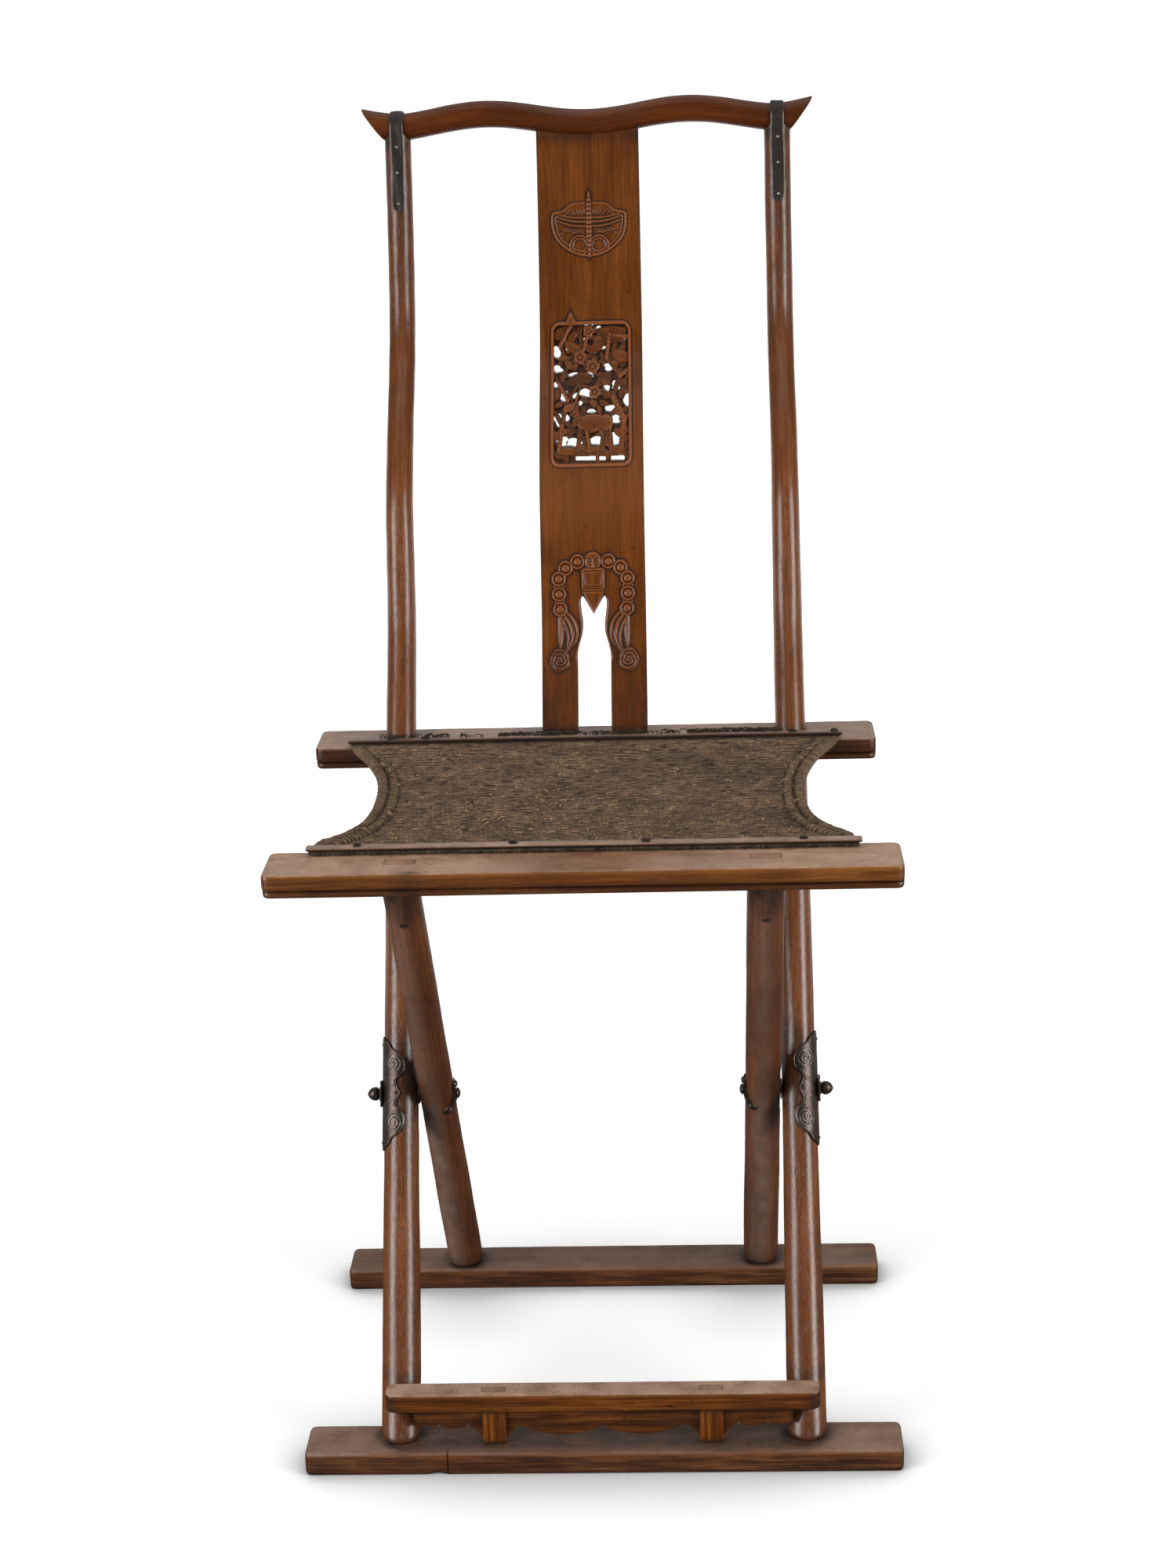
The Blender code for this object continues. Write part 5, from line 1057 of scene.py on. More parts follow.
def butterfly(x, z):
    """Height of the winged medallion about its centre, and the distance inside its outline."""
    half_x = MEDALLION_WIDTH / 2
    right = np.array(MEDALLION_SHAPE) * (half_x, MEDALLION_HEIGHT / 2)
    outline = np.vstack([right, right[::-1][1:-1] * (-1.0, 1.0)])
    for _ in range(2):
        outline = cut_corners(outline, np.roll(outline, -1, 0))
    inside = -outside_distance(x, z, outline)
    ax = np.abs(x)
    low = unit((0.0135 - z) / 0.002)
    rim = np.maximum(ridge(inside - 0.0014, 0.0014, 0.0014), ridge(inside - 0.0043, 0.0009, 0.0010))
    relief = Relief(np.where(inside > 0, low * rim + (1 - low) * hump(inside, 0.0012, 0.0008), 0.0))
    rays = 0.00040 * np.cos(np.arctan2(z + 0.004, ax + 0.001) * 40.0) * unit((z - 0.0085) / 0.003)
    field = np.where(inside > 0.0046 * low + 0.0010, 0.0004, 0.0) + rays * (inside > 0.0008)
    forms = []
    for level, rise, width in WING_SWEEPS:
        sweep = level + rise * (ax / half_x) ** 1.6 - 0.0016 * np.sin(ax * 90.0)
        forms.append(ridge(z - sweep, width, 0.0013) * (ax < 0.0300))
    for cx, cz, size in WING_EYES:
        away = np.hypot((ax - cx) / 1.2, z - cz)
        forms.append(ridge(away - size, 0.0006, 0.0012) * (z < cz + 0.0006))
        forms.append(hump(size * 0.5 - away, size * 0.5, 0.0010))
    away = np.hypot((ax - 0.0088) / 1.1, z + 0.0182)
    forms += [ridge(away - 0.0083, 0.0009, 0.0014), ridge(away - 0.0058, 0.0009, 0.0010)]
    relief.lay(inside, np.maximum(field, np.max(forms, 0)), 0.0008)
    share = unit((z + 0.029) / 0.0585)
    wide = 0.0011 + 0.0019 * np.sin(np.pi * np.clip(share, 0.02, 0.98)) ** 0.8
    segment = 1.0 - 0.45 * near(((z + 0.030) % 0.0040) - 0.0020, 0.0009)
    body = ridge(x, wide, 0.0024) * segment * (share > 0.0) * (share < 1.0)
    return np.maximum(relief.height, body), inside


# Each tassel: its bend inward, half width, start, rise and number of flutes
TASSELS = ((0.36, 0.0062, 0.02, 0.0010, 2.5), (0.02, 0.0026, 0.14, 0.0008, 1.0))


def tassel(ax, z, start, end, bend, width, t_low, rise, flutes):
    """A fluted tassel along a curve: the distance inside it, and its height."""
    best, lateral, where = np.full(ax.shape, 9.0), np.zeros(ax.shape), np.zeros(ax.shape)
    ts = np.linspace(t_low, 0.95, 44)
    path = joined(start[0] + (end[0] - start[0]) * ts - bend * BEAD_ARCH_HALF_WIDTH * np.sin(np.pi * ts**0.9),
                  start[1] - 0.002 + (end[1] - start[1] + 0.002) * ts)
    for k, (cx, cz) in enumerate(path):
        rx, rz = path[min(k + 1, len(ts) - 1)] - path[max(k - 1, 0)]
        away = np.hypot(ax - cx, z - cz)
        closer = away < best
        best = np.where(closer, away, best)
        lateral = np.where(closer, ((ax - cx) * rz - (z - cz) * rx) / math.hypot(rx, rz), lateral)
        where = np.where(closer, ts[k], where)
    wide = width * np.sin(np.pi * np.clip(where + 0.16, 0.0, 0.93)) ** 0.8
    inside = np.where(best > wide * 1.05, -0.001, wide - np.abs(lateral))
    flute = 0.00038 * np.cos(lateral / wide * np.pi * flutes) * (inside > 0.0005)
    return inside, hump(inside, 0.0012, rise) + flute


def beaded_arch(x, z):
    """Height of the ringed beads, head, block, tassels and rosettes over the opening."""
    ax = np.abs(x)
    relief = Relief(np.zeros(x.shape))
    places = [(a * BEAD_ARCH_HALF_WIDTH, BEAD_ARCH_RISE + u * BEAD_ARCH_HEIGHT) for a, u in BEAD_PLACES]
    path = [(0.004, places[0][1] + 0.001)] + places
    for start, end in zip(path, path[1:]):
        inside = 0.0044 - stroke(ax, z, start, end)[0]
        relief.lay(inside, hump(inside, 0.0012, 0.00055))
    for cx, cz in places:
        away = np.hypot(ax - cx, z - cz)
        ring = ridge(away - BEAD_SIZE * 0.82, BEAD_SIZE * 0.18, 0.0017)
        ball = hump(BEAD_SIZE * 0.58 - away, BEAD_SIZE * 0.58, 0.0019)
        relief.lay(BEAD_SIZE - away, np.maximum(0.0002, np.maximum(ring, ball)), over=True)
    end = (ROSETTE_HALF_SPACING, ROSETTE_RISE)
    for shape in TASSELS:
        relief.lay(*tassel(ax, z, places[-1], end, *shape))
    away, angle = np.hypot(ax - end[0], z - end[1]), np.arctan2(z - end[1], ax - end[0])
    inside = ROSETTE_RADIUS * (1.0 - 0.07 * (1.0 - np.cos(5 * angle)) / 2) - away
    spiral = 0.00045 * np.cos(away * 2 * np.pi / 0.0030 + angle) * (inside > 0.0008)
    centre = hump(0.0022 - away, 0.0022, 0.0007)
    relief.lay(inside, 0.0002 + hump(inside, 0.0016, 0.0010) + spiral + centre, over=True)
    dz = z - HEAD_RISE
    inside = HEAD_RADIUS - np.hypot(x, dz)
    curl = np.hypot(ax - 0.0030, dz - 0.0008)
    top = hump(inside, 0.0022, 0.0015) + 0.0004 * np.cos(curl * 2 * np.pi / 0.0028) * (curl < 0.0035)
    relief.lay(inside, top + hump(0.0011 - ax, 0.0011, 0.0006) * (dz < 0.002))
    dz = z - BLOCK_RISE
    inside = rounded_distance(x, dz, BLOCK_WIDTH / 2, BLOCK_HEIGHT / 2, BLOCK_HEIGHT / 7)
    taper = 1.0 - 0.25 * np.clip(dz / 0.01, -1, 1)
    facet = rounded_distance(x * taper, dz - 0.0008, 0.0078, 0.0066, 0.0020)
    top = hump(inside, 0.0011, 0.0015) - 0.0006 * near(facet, 0.0007) - 0.0006 * near(dz + 0.0078, 0.0007)
    relief.lay(inside, top + 0.0005 * unit(1.0 - ax / 0.0075) * (facet > 0), over=True)
    tip_top = BLOCK_RISE - BLOCK_HEIGHT / 2
    t = (tip_top - z) / (tip_top - OPENING_HEIGHT * 0.855)
    half = 0.0100 * (1.0 - t)
    inside = np.where(t < 1.0, np.minimum(half - ax, tip_top - z), 0.0)
    fold = 0.0006 * unit(1.0 - ax / np.maximum(half, 1e-4)) * (inside > 0)
    relief.lay(inside, hump(inside, 0.0010, 0.0011) + fold, over=True)
    return relief.height


def blurred(field, times):
    for _ in range(times):
        around = np.pad(field, 1, mode="edge")
        field = (around[:-2, 1:-1] + around[2:, 1:-1] + around[1:-1, :-2] + around[1:-1, 2:]) / 4
    return field


# Heights over the seat: the board's ends, the stretches that carry carving, and two forms' reach
BOARD_FOOT, BOARD_TOP = -0.009, BACK_RISE - 0.004
FINE_ZONES = ((0.0, 0.158), (0.2215, 0.350), (0.396, 0.458))
MEDALLION_ZONE = (0.39, 0.464)
ARCH_ZONE = (0.045, 0.160)


def within(z, zone):
    return (z > zone[0]) & (z < zone[1])


def splat_grid(pitch):
    """Places over the flat board, fine where it is carved."""
    half = SPLAT_WIDTH / 2
    edge = np.array([0.0, 0.00012, 0.00035, 0.0007])
    count = int((SPLAT_WIDTH - 0.0024 + pitch / 2) / pitch) + 1
    inner = np.linspace(0.0012 - half, half - 0.0012, count)
    levels, z = [], BOARD_FOOT
    while z < BOARD_TOP:
        levels.append(z)
        z += pitch if any(low <= z <= high for low, high in FINE_ZONES) else 0.0016 / FINE
    levels.append(BOARD_TOP)
    return np.meshgrid(np.concatenate([edge - half, inner, (half - edge)[::-1]]), levels)


def splat_heights(x, z, opening):
    """The whole carving: distance inside the wood, heights, and the panel's window."""
    cover, carved, window = carving(x, z - PANEL_RISE)
    border = rounded_distance(x, z - PANEL_RISE, PANEL_WIDTH / 2, PANEL_HEIGHT / 2, PANEL_CORNER)
    height = ridge(border - 0.0017, 0.0017, 0.0012) - 0.00025 * near(border + 0.0005, 0.0007)
    height = np.where(window < 0, carved, height)
    lapped = (window >= 0) & (window < 0.0007) & (carved > -0.002)
    height = np.where(lapped, np.maximum(carved, height), height)
    bud_x, bud_z = x + 0.0185, z - PANEL_RISE - PANEL_HEIGHT / 2 - 0.0015
    angle = np.arctan2(bud_z, bud_x)
    inside = 0.0062 * (0.82 + 0.18 * np.cos(3 * (angle - np.pi / 2))) - np.hypot(bud_x * 1.25, bud_z)
    bud = hump(inside, 0.003, 0.0016) - 0.0003 * near(np.sin(3 * angle), 0.3) * (inside > 0)
    height = np.where((inside > 0) & (window >= 0), np.maximum(height, bud), height)
    rows = within(z[:, 0], MEDALLION_ZONE)
    wings, wing_inside = butterfly(x[rows], z[rows] - MEDALLION_RISE)
    height[rows] = np.maximum(height[rows], wings) - 0.0003 * near(wing_inside + 0.0005, 0.0008)
    lip = ridge(opening - 0.0009, 0.0009, 0.0007) * unit((z - 0.058) / 0.006) * (z < 0.112)
    arch = np.maximum(beaded_arch(x, z), lip)
    return np.minimum(cover, opening), np.where(within(z, ARCH_ZONE), arch, height), window


def splat_marks(x, z, relief, window):
    """Darker round the carving, at the board's ends, towards its bottom and top and along its sides; dirt and
    painted shade in hollows and on the deep ground; a painted highlight on raised carving and a painted sheen
    across the middle.
    """
    soft = blurred(relief, 9)
    halo = unit(blurred(soft, 60) / 0.0007) * (relief < 0.0002) * (window > -0.0005)
    # Dirt and painted shade in the carving's hollows, and a painted highlight on its raised parts
    hollow = np.clip((soft - relief) / 0.00022, -1.0, 1.0)
    hollow = np.where(hollow < 0, hollow * (relief > 0.0002), hollow)
    # Painted shade on the panel's deep ground
    deep = unit((-0.0004 - relief) / 0.0014) * (window < 0.0005)
    worked = unit(np.abs(soft) / 0.0003) * np.where(window < 0, 1.0, 0.6)
    # The lighter band across the middle is a painted sheen
    hollow = np.clip(1.25 * hollow + 0.95 * deep + 0.14 * worked, -1.0, 1.0) - 0.30 * near(z - 0.205, 0.06)
    stain = 0.75 * near(z, 0.010) + 0.45 * near(z - BACK_RISE + 0.012, 0.012) + 0.42 * halo
    stain += 0.30 * unit((0.075 - z) / 0.06) + 0.12 * unit((z - 0.38) / 0.1)
    stain += 0.40 * near(np.hypot(x + 0.036, z - 0.150), 0.022) + 0.18 * near(x + 0.036, 0.016) * (z < 0.07)
    stain += 0.40 * near(SPLAT_WIDTH / 2 - np.abs(x), 0.0035) + 0.12 * unit(1.0 - np.abs(z - 0.05) / 0.09)
    # The dust mark here is a faint painted sheen across the middle
    return joined(np.clip(stain, 0, 0.9), 0.05 * near(z - 0.24, 0.10), hollow)


def splat():
    """The carved, pierced board as one closed skin with hole walls."""
    pitch = 0.00045 / FINE
    x, z = splat_grid(pitch)
    opening = np.full(x.shape, 0.02)
    rows = z[:, 0] < 0.135
    opening[rows] = outside_distance(x[rows], z[rows], opening_outline())
    inside, height, window = splat_heights(x, z, opening)

    # Keep the squares whose middle is wood, and draw their rim onto the true edge
    gx = np.gradient(inside, axis=1) / np.gradient(x, axis=1)
    gz = np.gradient(inside, axis=0) / np.gradient(z, axis=0)
    keep = inside[:-1, :-1] + inside[1:, :-1] + inside[:-1, 1:] + inside[1:, 1:] > 0
    used = np.zeros(x.shape, int)
    for down, left in ((0, 0), (1, 0), (0, 1), (1, 1)):
        used[down:down + keep.shape[0], left:left + keep.shape[1]] += keep
    rim = (used > 0) & (used < 4) & (np.abs(inside) < 0.0011)
    rim[0], rim[-1], rim[:, 0], rim[:, -1] = False, False, False, False
    slope = np.maximum(np.hypot(gx, gz), 0.35)
    move = np.where(rim, np.clip(-inside / slope, -pitch * 0.95, pitch * 0.95), 0.0)
    x, z = x + move * gx / slope, z + move * gz / slope
    marks = splat_marks(x, z, height, window)
    rounding = 0.0007
    fall = np.minimum(np.where(rim, 0.0, np.maximum(inside, 0.0)), SPLAT_WIDTH / 2 - np.abs(x))
    drop = rounding * (1.0 - np.sqrt(1.0 - unit(1.0 - fall / rounding) ** 2))

    index = -np.ones(x.shape, int)
    index[used > 0] = np.arange((used > 0).sum())
    px, pz, height, drop, marks = (values[used > 0] for values in (x, z, height, drop, marks))
    front = joined(index[:-1, :-1][keep], index[:-1, 1:][keep], index[1:, 1:][keep], index[1:, :-1][keep])
    edges = np.concatenate([front[:, [0, 1]], front[:, [1, 2]], front[:, [2, 3]], front[:, [3, 0]]])
    count = len(px)
    key = np.sort(edges, 1)
    _, first, number = np.unique(key[:, 0] * (count + 1) + key[:, 1], return_index=True, return_counts=True)
    a, b = edges[first[number == 1]].T
    faces = [front, front[:, ::-1] + count, joined(b, a, a + count, b + count)]

    offset = np.concatenate([-SPLAT_THICKNESS / 2 - height + drop, SPLAT_THICKNESS / 2 - drop])
    px, pz = np.tile(px, 2), np.tile(pz, 2)
    up = SEAT_HEIGHT + pz
    depth = on(SPLAT_LINE, up) + (offset + 0.0001 * ripple(px, pz, 3.0, 0.03)) * stretch_on(SPLAT_LINE, up)
    back_marks = marks * (1, 1, 0)
    skin = Skin()
    skin.add(faces, joined(px, depth, up), joined(px, offset, length_on(SPLAT_LINE, up)),
             np.concatenate([marks, back_marks]))
    return make("carved_splat", skin, SPLAT_WOOD, "back_frame", ("splat",), sharp=55)


splat()


# Bars, rails and boards

def arc(centre, start, radius, steps):
    turn = np.linspace(start, start + math.pi / 2, steps)
    return np.add(centre, joined(radius * np.cos(turn), radius * np.sin(turn)))


# The rails' stepped lower edge: (distance in from the rail's face, height over the groove)
LIP_PROFILE = ((0.0, 0.0040), (0.0009, 0.0021), (0.0030, 0.0009))
LIP_INSET_PROFILE = ((0.0022, 0.0004), (0.0024, -0.0004), (0.0010, -0.0012), (0.0, -0.0026))
LIP_FOOT_PROFILE = ((0.0, 0.0022), (0.0007, 0.0007), (0.0022, 0.0))


def bar_section(half_y, low, high, lip=None, ease=0.0035, steps=9):
    """A closed section of (depth from the middle, height) with eased corners."""
    y = half_y - ease
    top = [arc((y, high - ease), 0.0, ease, steps), arc((-y, high - ease), math.pi / 2, ease, steps)]
    if lip is None:
        return np.vstack(top + [arc((-y, low + ease), math.pi, ease, steps),
                                arc((y, low + ease), 1.5 * math.pi, ease, steps)])
    groove, inset = lip
    side = [(half_y - away, groove + up) for away, up in LIP_PROFILE]
    side += [(half_y - inset - away, groove + up) for away, up in LIP_INSET_PROFILE]
    side += [(half_y - inset - away, low + up) for away, up in LIP_FOOT_PROFILE]
    return np.vstack(top + [np.multiply(side, (-1, 1)), side[::-1]])


def refine(section, pitch):
    """Add points so that no step round a closed section is longer than pitch."""
    out = []
    for a, b in zip(section, np.roll(section, -1, 0)):
        count = max(int(np.linalg.norm(b - a) / pitch), 1)
        out += [a + (b - a) * t for t in np.arange(count) / count]
    return np.array(out)


def bar(name, middle_y, length, section, corner, edge, material, body, replaced, marks_at,
        shape, pitch=0.0022, x_marks=()):
    """A bar along X with a section, rounded in plan at its ends and eased at its end faces."""
    section = refine(section, 0.0016 / FINE)
    half = length / 2
    low, high = section[:, 1].min(), section[:, 1].max()
    middle_z, half_y = (low + high) / 2, np.abs(section[:, 0]).max()
    curve = corner * (1 - np.cos(np.linspace(0, math.pi / 2, 10)))
    straight = np.linspace(corner, half, int((half - corner) / pitch * FINE) + 2)
    away = np.unique(np.round(np.concatenate([curve, straight]), 6))
    for mark in x_marks:
        away = np.unique(np.concatenate([away, half - abs(mark) + np.linspace(-0.0012, 0.0012, 7)]))
    away = away[(away >= 0) & (away <= half)]
    x = np.concatenate([-half + away, (half - away)[::-1][1:]])[:, None]
    gone = half - np.abs(x)
    bend = np.sqrt(np.maximum(corner**2 - np.maximum(corner - gone, 0.0) ** 2, 0.0))
    lowered = edge * (1 - np.sqrt(np.maximum(1 - np.maximum(1 - gone / edge, 0.0) ** 2, 0.0)))
    over, up = section[:, 0], section[:, 1] - middle_z
    points = joined(x, middle_y + over * (half_y - corner + bend) / half_y,
                    middle_z + up * (1 - lowered / ((high - low) / 2)))
    points = shape(points)
    return solid(name, points, joined(over, up, x), marks_at(points), material, body, replaced, 42)


def worn(points, seed, top, amount=0.00022):
    """Slight waviness of an old board's top."""
    out = points.copy()
    x, y, z = axes(points)
    out[..., 2] -= amount * unit((z - top + 0.004) / 0.004) * (1 + ripple(x, y, seed, 0.02))
    return out


def ring_mark(x, y, centre_x, centre_y, rx, ry, reach):
    """A dark halo just outside an oval."""
    away = (np.hypot((x - centre_x) / rx, (y - centre_y) / ry) - 1.0) * min(rx, ry)
    return np.where(away > -0.002, near(np.maximum(away, 0.0), reach), 1.0)


def post_rings(x, y, spacing, line, level, rx, ry, reach):
    """Dark halos where two sticks pass into a board."""
    return sum(ring_mark(x, y, side * spacing / 2, on(line, level), rx, ry, reach) for _, side in SIDES)


RAIL_GROOVE_Z = LEG_TOP_Z + 0.0065


def rear_rail_marks(points):
    x, y, z = axes(points)
    top = unit((z - SEAT_HEIGHT + 0.0016) / 0.0013)
    stain = 0.8 * top * post_rings(x, y, STILE_SPACING, STILE_LINE, SEAT_HEIGHT,
                                   STILE_SEAT_RADIUS, STILE_SEAT_RADIUS * 1.13, 0.0035)
    stain += 1.4 * near(np.abs(x) - 0.031, 0.018) * near(y - STILE_SEAT_Y, 0.008) * top
    face = (y < SEAT_RAIL_PITCH + 0.003) * unit((SEAT_HEIGHT - 0.004 - z) / 0.004)
    stain += 0.75 * near(np.abs(x) - 0.2080, 0.026) * face
    # Painted shade in the groove under the moulding
    stain += 0.5 * near(z - RAIL_GROOVE_Z, 0.0022)
    stain += 0.35 * top * near(y - SEAT_RAIL_PITCH - 0.014, 0.006) * (np.abs(x) < 0.21)
    edge = -0.5 * near(z - SEAT_HEIGHT + 0.0016, 0.0016) * (y < SEAT_RAIL_PITCH + 0.004)
    return joined(np.clip(stain, 0, 0.9), top * (0.88 + 0.12 * ripple(x, y, 2.0, 0.03)), edge)


def front_rail_marks(points):
    x, y, z = axes(points)
    top = unit((z - SEAT_HEIGHT + 0.0016) / 0.0013)
    rubbed = near(x - 0.010, 0.16) * 0.62 * (0.75 + 0.25 * ripple(x, y, 5.0, 0.02))
    # Painted shade in the groove under the moulding
    stain = 0.55 * near(z - RAIL_GROOVE_Z, 0.0020)
    stain += 0.75 * near(x + 0.134, 0.020) * (y < 0.006) * (0.6 + 0.4 * ripple(x, z, 8.0, 0.006))
    stain += 0.35 * top * near(x + 0.133, 0.020) * near(y - 0.004, 0.012)
    stain += 0.45 * top * near(y - SEAT_RAIL_WIDTH + 0.0125, 0.0030) * (np.abs(x) < 0.222)
    stain += 0.30 * near(np.abs(x) - SEAT_RAIL_LENGTH / 2, 0.006)
    # Painted shade on the lip and underside below the groove
    stain += 0.42 * unit((LEG_TOP_Z + 0.0070 - z) / 0.0012)
    edge = -0.9 * near(z - SEAT_HEIGHT + 0.0022, 0.0022) * (y < 0.004)
    edge = edge * (0.7 + 0.3 * ripple(x, z, 3.3, 0.012))
    return joined(np.clip(stain, 0, 0.85), unit(top * np.clip(0.95 - rubbed, 0.25, 1.0)), edge)


LIP_INSET = 0.0045
RAIL_CORNER, RAIL_EDGE = 0.007, 0.0028
rail_section = bar_section(
    SEAT_RAIL_WIDTH / 2, LEG_TOP_Z, SEAT_HEIGHT, (RAIL_GROOVE_Z, LIP_INSET), 0.0030)
bar("rear_rail_wood", STILE_SEAT_Y, SEAT_RAIL_LENGTH, rail_section, RAIL_CORNER, RAIL_EDGE,
    RAIL_WOOD, "back_frame", ("rear_seat_rail",), rear_rail_marks, lambda p: worn(p, 2.0, SEAT_HEIGHT))
bar("front_rail_wood", LEG_TOP_Y, SEAT_RAIL_LENGTH, rail_section, RAIL_CORNER, RAIL_EDGE,
    FRONT_RAIL_WOOD, "seat_frame", ("front_seat_rail",), front_rail_marks,
    lambda p: worn(p, 6.0, SEAT_HEIGHT))

CRACK_X, CHIP_X = -0.1330, -0.1415


def front_bar_shape(points):
    """Worn wavy front edge, a crack and a chip in the front foot bar."""
    out = worn(points, 9.0, FOOT_BAR_HEIGHT, 0.0003)
    x, y, z = axes(points)
    front = near(y - FRONT_BAR_SETBACK, 0.010) * unit((z - 0.010) / 0.010)
    scoop = unit(0.3 + ripple(x, 0.0, 11.0, 0.028)) * (np.abs(x) < 0.20)
    face = y < FRONT_BAR_SETBACK + 0.004
    out[..., 2] -= 0.0016 * front * scoop
    out[..., 1] += 0.0006 * front * (1 + ripple(x, z, 12.0, 0.012))
    out[..., 1] += 0.0014 * near(x - CRACK_X, 0.0007) * face * (z > 0.002)
    out[..., 1] += 0.0032 * near(x - CHIP_X, 0.0095) * unit((0.0042 - z) / 0.0042) * face
    return out


def foot_bar_marks(setback, spacing, line, front):
    def marks(points):
        x, y, z = axes(points)
        top = unit((z - FOOT_BAR_HEIGHT + 0.0026) / 0.0018)
        ends = unit((np.abs(x) - 0.16) / 0.06) if front else 0.12
        dust = top * (0.52 + 0.40 * ends + 0.14 * ripple(x, y, setback * 30, 0.02))
        stain = 0.85 * top * post_rings(x, y, spacing, line, FOOT_BAR_HEIGHT, 0.0165, 0.018, 0.010)
        if front:
            face = y < FRONT_BAR_SETBACK + 0.006
            # Painted shadow of the footrest on the middle of the bar's top
            under = near(np.maximum(np.abs(x) - 0.165, 0), 0.02) * near(y - FRONT_BAR_SETBACK - 0.018, 0.020)
            stain += 0.75 * top * under + 0.9 * near(x - CRACK_X, 0.0011) * face
            stain += 0.75 * near(x - CHIP_X, 0.009) * (z < 0.0045) * face
        stain += 0.30 * near(z, 0.005) + 0.22 * unit(ripple(x, y + z, 21.0 + setback, 0.006) - 0.25)
        stain += 0.25 * near(np.abs(x) - FOOT_BAR_LENGTH / 2, 0.004)
        edge = -0.4 * near(z - FOOT_BAR_HEIGHT + 0.0025, 0.0025) * (y < setback + 0.005)
        return joined(np.clip(stain, 0, 0.9), dust, edge)
    return marks


FOOT_BAR_CORNER, FOOT_BAR_EDGE = 0.006, 0.0032
bar_outline = bar_section(FOOT_BAR_WIDTH / 2, 0.0, FOOT_BAR_HEIGHT, None, FOOT_BAR_EDGE)
bar("front_bar_wood", FRONT_BAR_SETBACK + FOOT_BAR_WIDTH / 2, FOOT_BAR_LENGTH, bar_outline,
    FOOT_BAR_CORNER, FOOT_BAR_EDGE, BAR_WOOD, "back_frame", ("front_foot_bar",),
    foot_bar_marks(FRONT_BAR_SETBACK, STILE_SPACING, STILE_LINE, True), front_bar_shape, x_marks=(CRACK_X,))
bar("rear_bar_wood", REAR_BAR_SETBACK + FOOT_BAR_WIDTH / 2, FOOT_BAR_LENGTH, bar_outline,
    FOOT_BAR_CORNER, FOOT_BAR_EDGE, BAR_WOOD, "seat_frame", ("rear_foot_bar",),
    foot_bar_marks(REAR_BAR_SETBACK, LEG_SPACING, LEG_LINE, False),
    lambda p: worn(p, 14.0, FOOT_BAR_HEIGHT, 0.0003))

REST_TOP = REST_UNDERSIDE + REST_HEIGHT
STRUT_INNER_X, STRUT_OUTER_X = (STRUT_SPACING - STRUT_WIDTH) / 2, (STRUT_SPACING + STRUT_WIDTH) / 2


def rest_marks(points):
    x, y, z = axes(points)
    top = unit((z - REST_TOP + 0.0018) / 0.0014)
    rings = post_rings(x, y, STILE_SPACING, STILE_LINE, REST_TOP, STILE_FOOT_RADIUS, 0.0186, 0.006)
    stain = 0.45 * near(z - REST_UNDERSIDE, 0.004) + 0.7 * top * rings
    stain += 0.6 * near(np.abs(x) - 0.181, 0.010) * (1 - top)
    edge = -0.45 * near(z - REST_TOP + 0.0022, 0.0022) * (y < FRONT_BAR_SETBACK + REST_SETBACK + 0.004)
    return joined(np.clip(stain, 0, 0.9), top * (0.90 + 0.10 * ripple(x, y, 17.0, 0.02)), edge)


rest_section = refine(bar_section(REST_DEPTH / 2, REST_UNDERSIDE, REST_TOP, None, 0.0028), 0.0009)
bar("rest_board_wood", FRONT_BAR_SETBACK + REST_SETBACK + REST_DEPTH / 2, REST_LENGTH, rest_section,
    0.0087, 0.0026, REST_WOOD, "back_frame", ("footrest_board",), rest_marks,
    lambda p: worn(p, 18.0, REST_TOP), 0.0014, (STRUT_INNER_X, STRUT_OUTER_X))


# Struts and aprons

def strut(label, side):
    """A short square post with eased edges, its grain upright."""
    x = side * STRUT_SPACING / 2
    section = bar_section(STRUT_DEPTH / 2, -STRUT_WIDTH / 2, STRUT_WIDTH / 2, None, 0.0012, 5)
    over, across = refine(section, 0.0009 / FINE).T
    z = np.linspace(FOOT_BAR_HEIGHT + GAP, REST_UNDERSIDE - GAP, int(26 * FINE) + 2)[:, None]
    stain = 0.75 * near(z - FOOT_BAR_HEIGHT, 0.006) + 0.55 * near(z - REST_UNDERSIDE, 0.005)
    marks = joined(stain, 0, -0.4 * near(np.abs(across) - STRUT_WIDTH / 2, 0.0016))
    middle_y = FRONT_BAR_SETBACK + STRUT_SETBACK + STRUT_DEPTH / 2
    solid(f"rest_strut_{label}", joined(x + across, middle_y + over, z), joined(across, over, z), marks,
          REST_WOOD, "back_frame", (f"footrest_strut_{label}",))


def centre_drop(share):
    """The middle apron's depth at a place from its middle, -1 to 1, as a share of its full drop."""
    along = abs(share)
    if along > 0.82:
        return 1.0 - 0.46 * math.sin((1.0 - along) / 0.18 * math.pi / 2)
    return 0.54 + 0.32 * math.sin(math.pi * along / 0.82) ** 0.7


def side_drop(share):
    """A side apron's depth at a place from its strut, 0 to 1, as a share of its full drop."""
    if share < 0.22:
        return 1.0 - 0.42 * math.sin(share / 0.22 * math.pi / 2)
    if share < 0.66:
        return 0.52 + 0.10 * math.sin((share - 0.22) / 0.44 * math.pi)
    return 0.57 - 0.03 * (share - 0.66) / 0.34


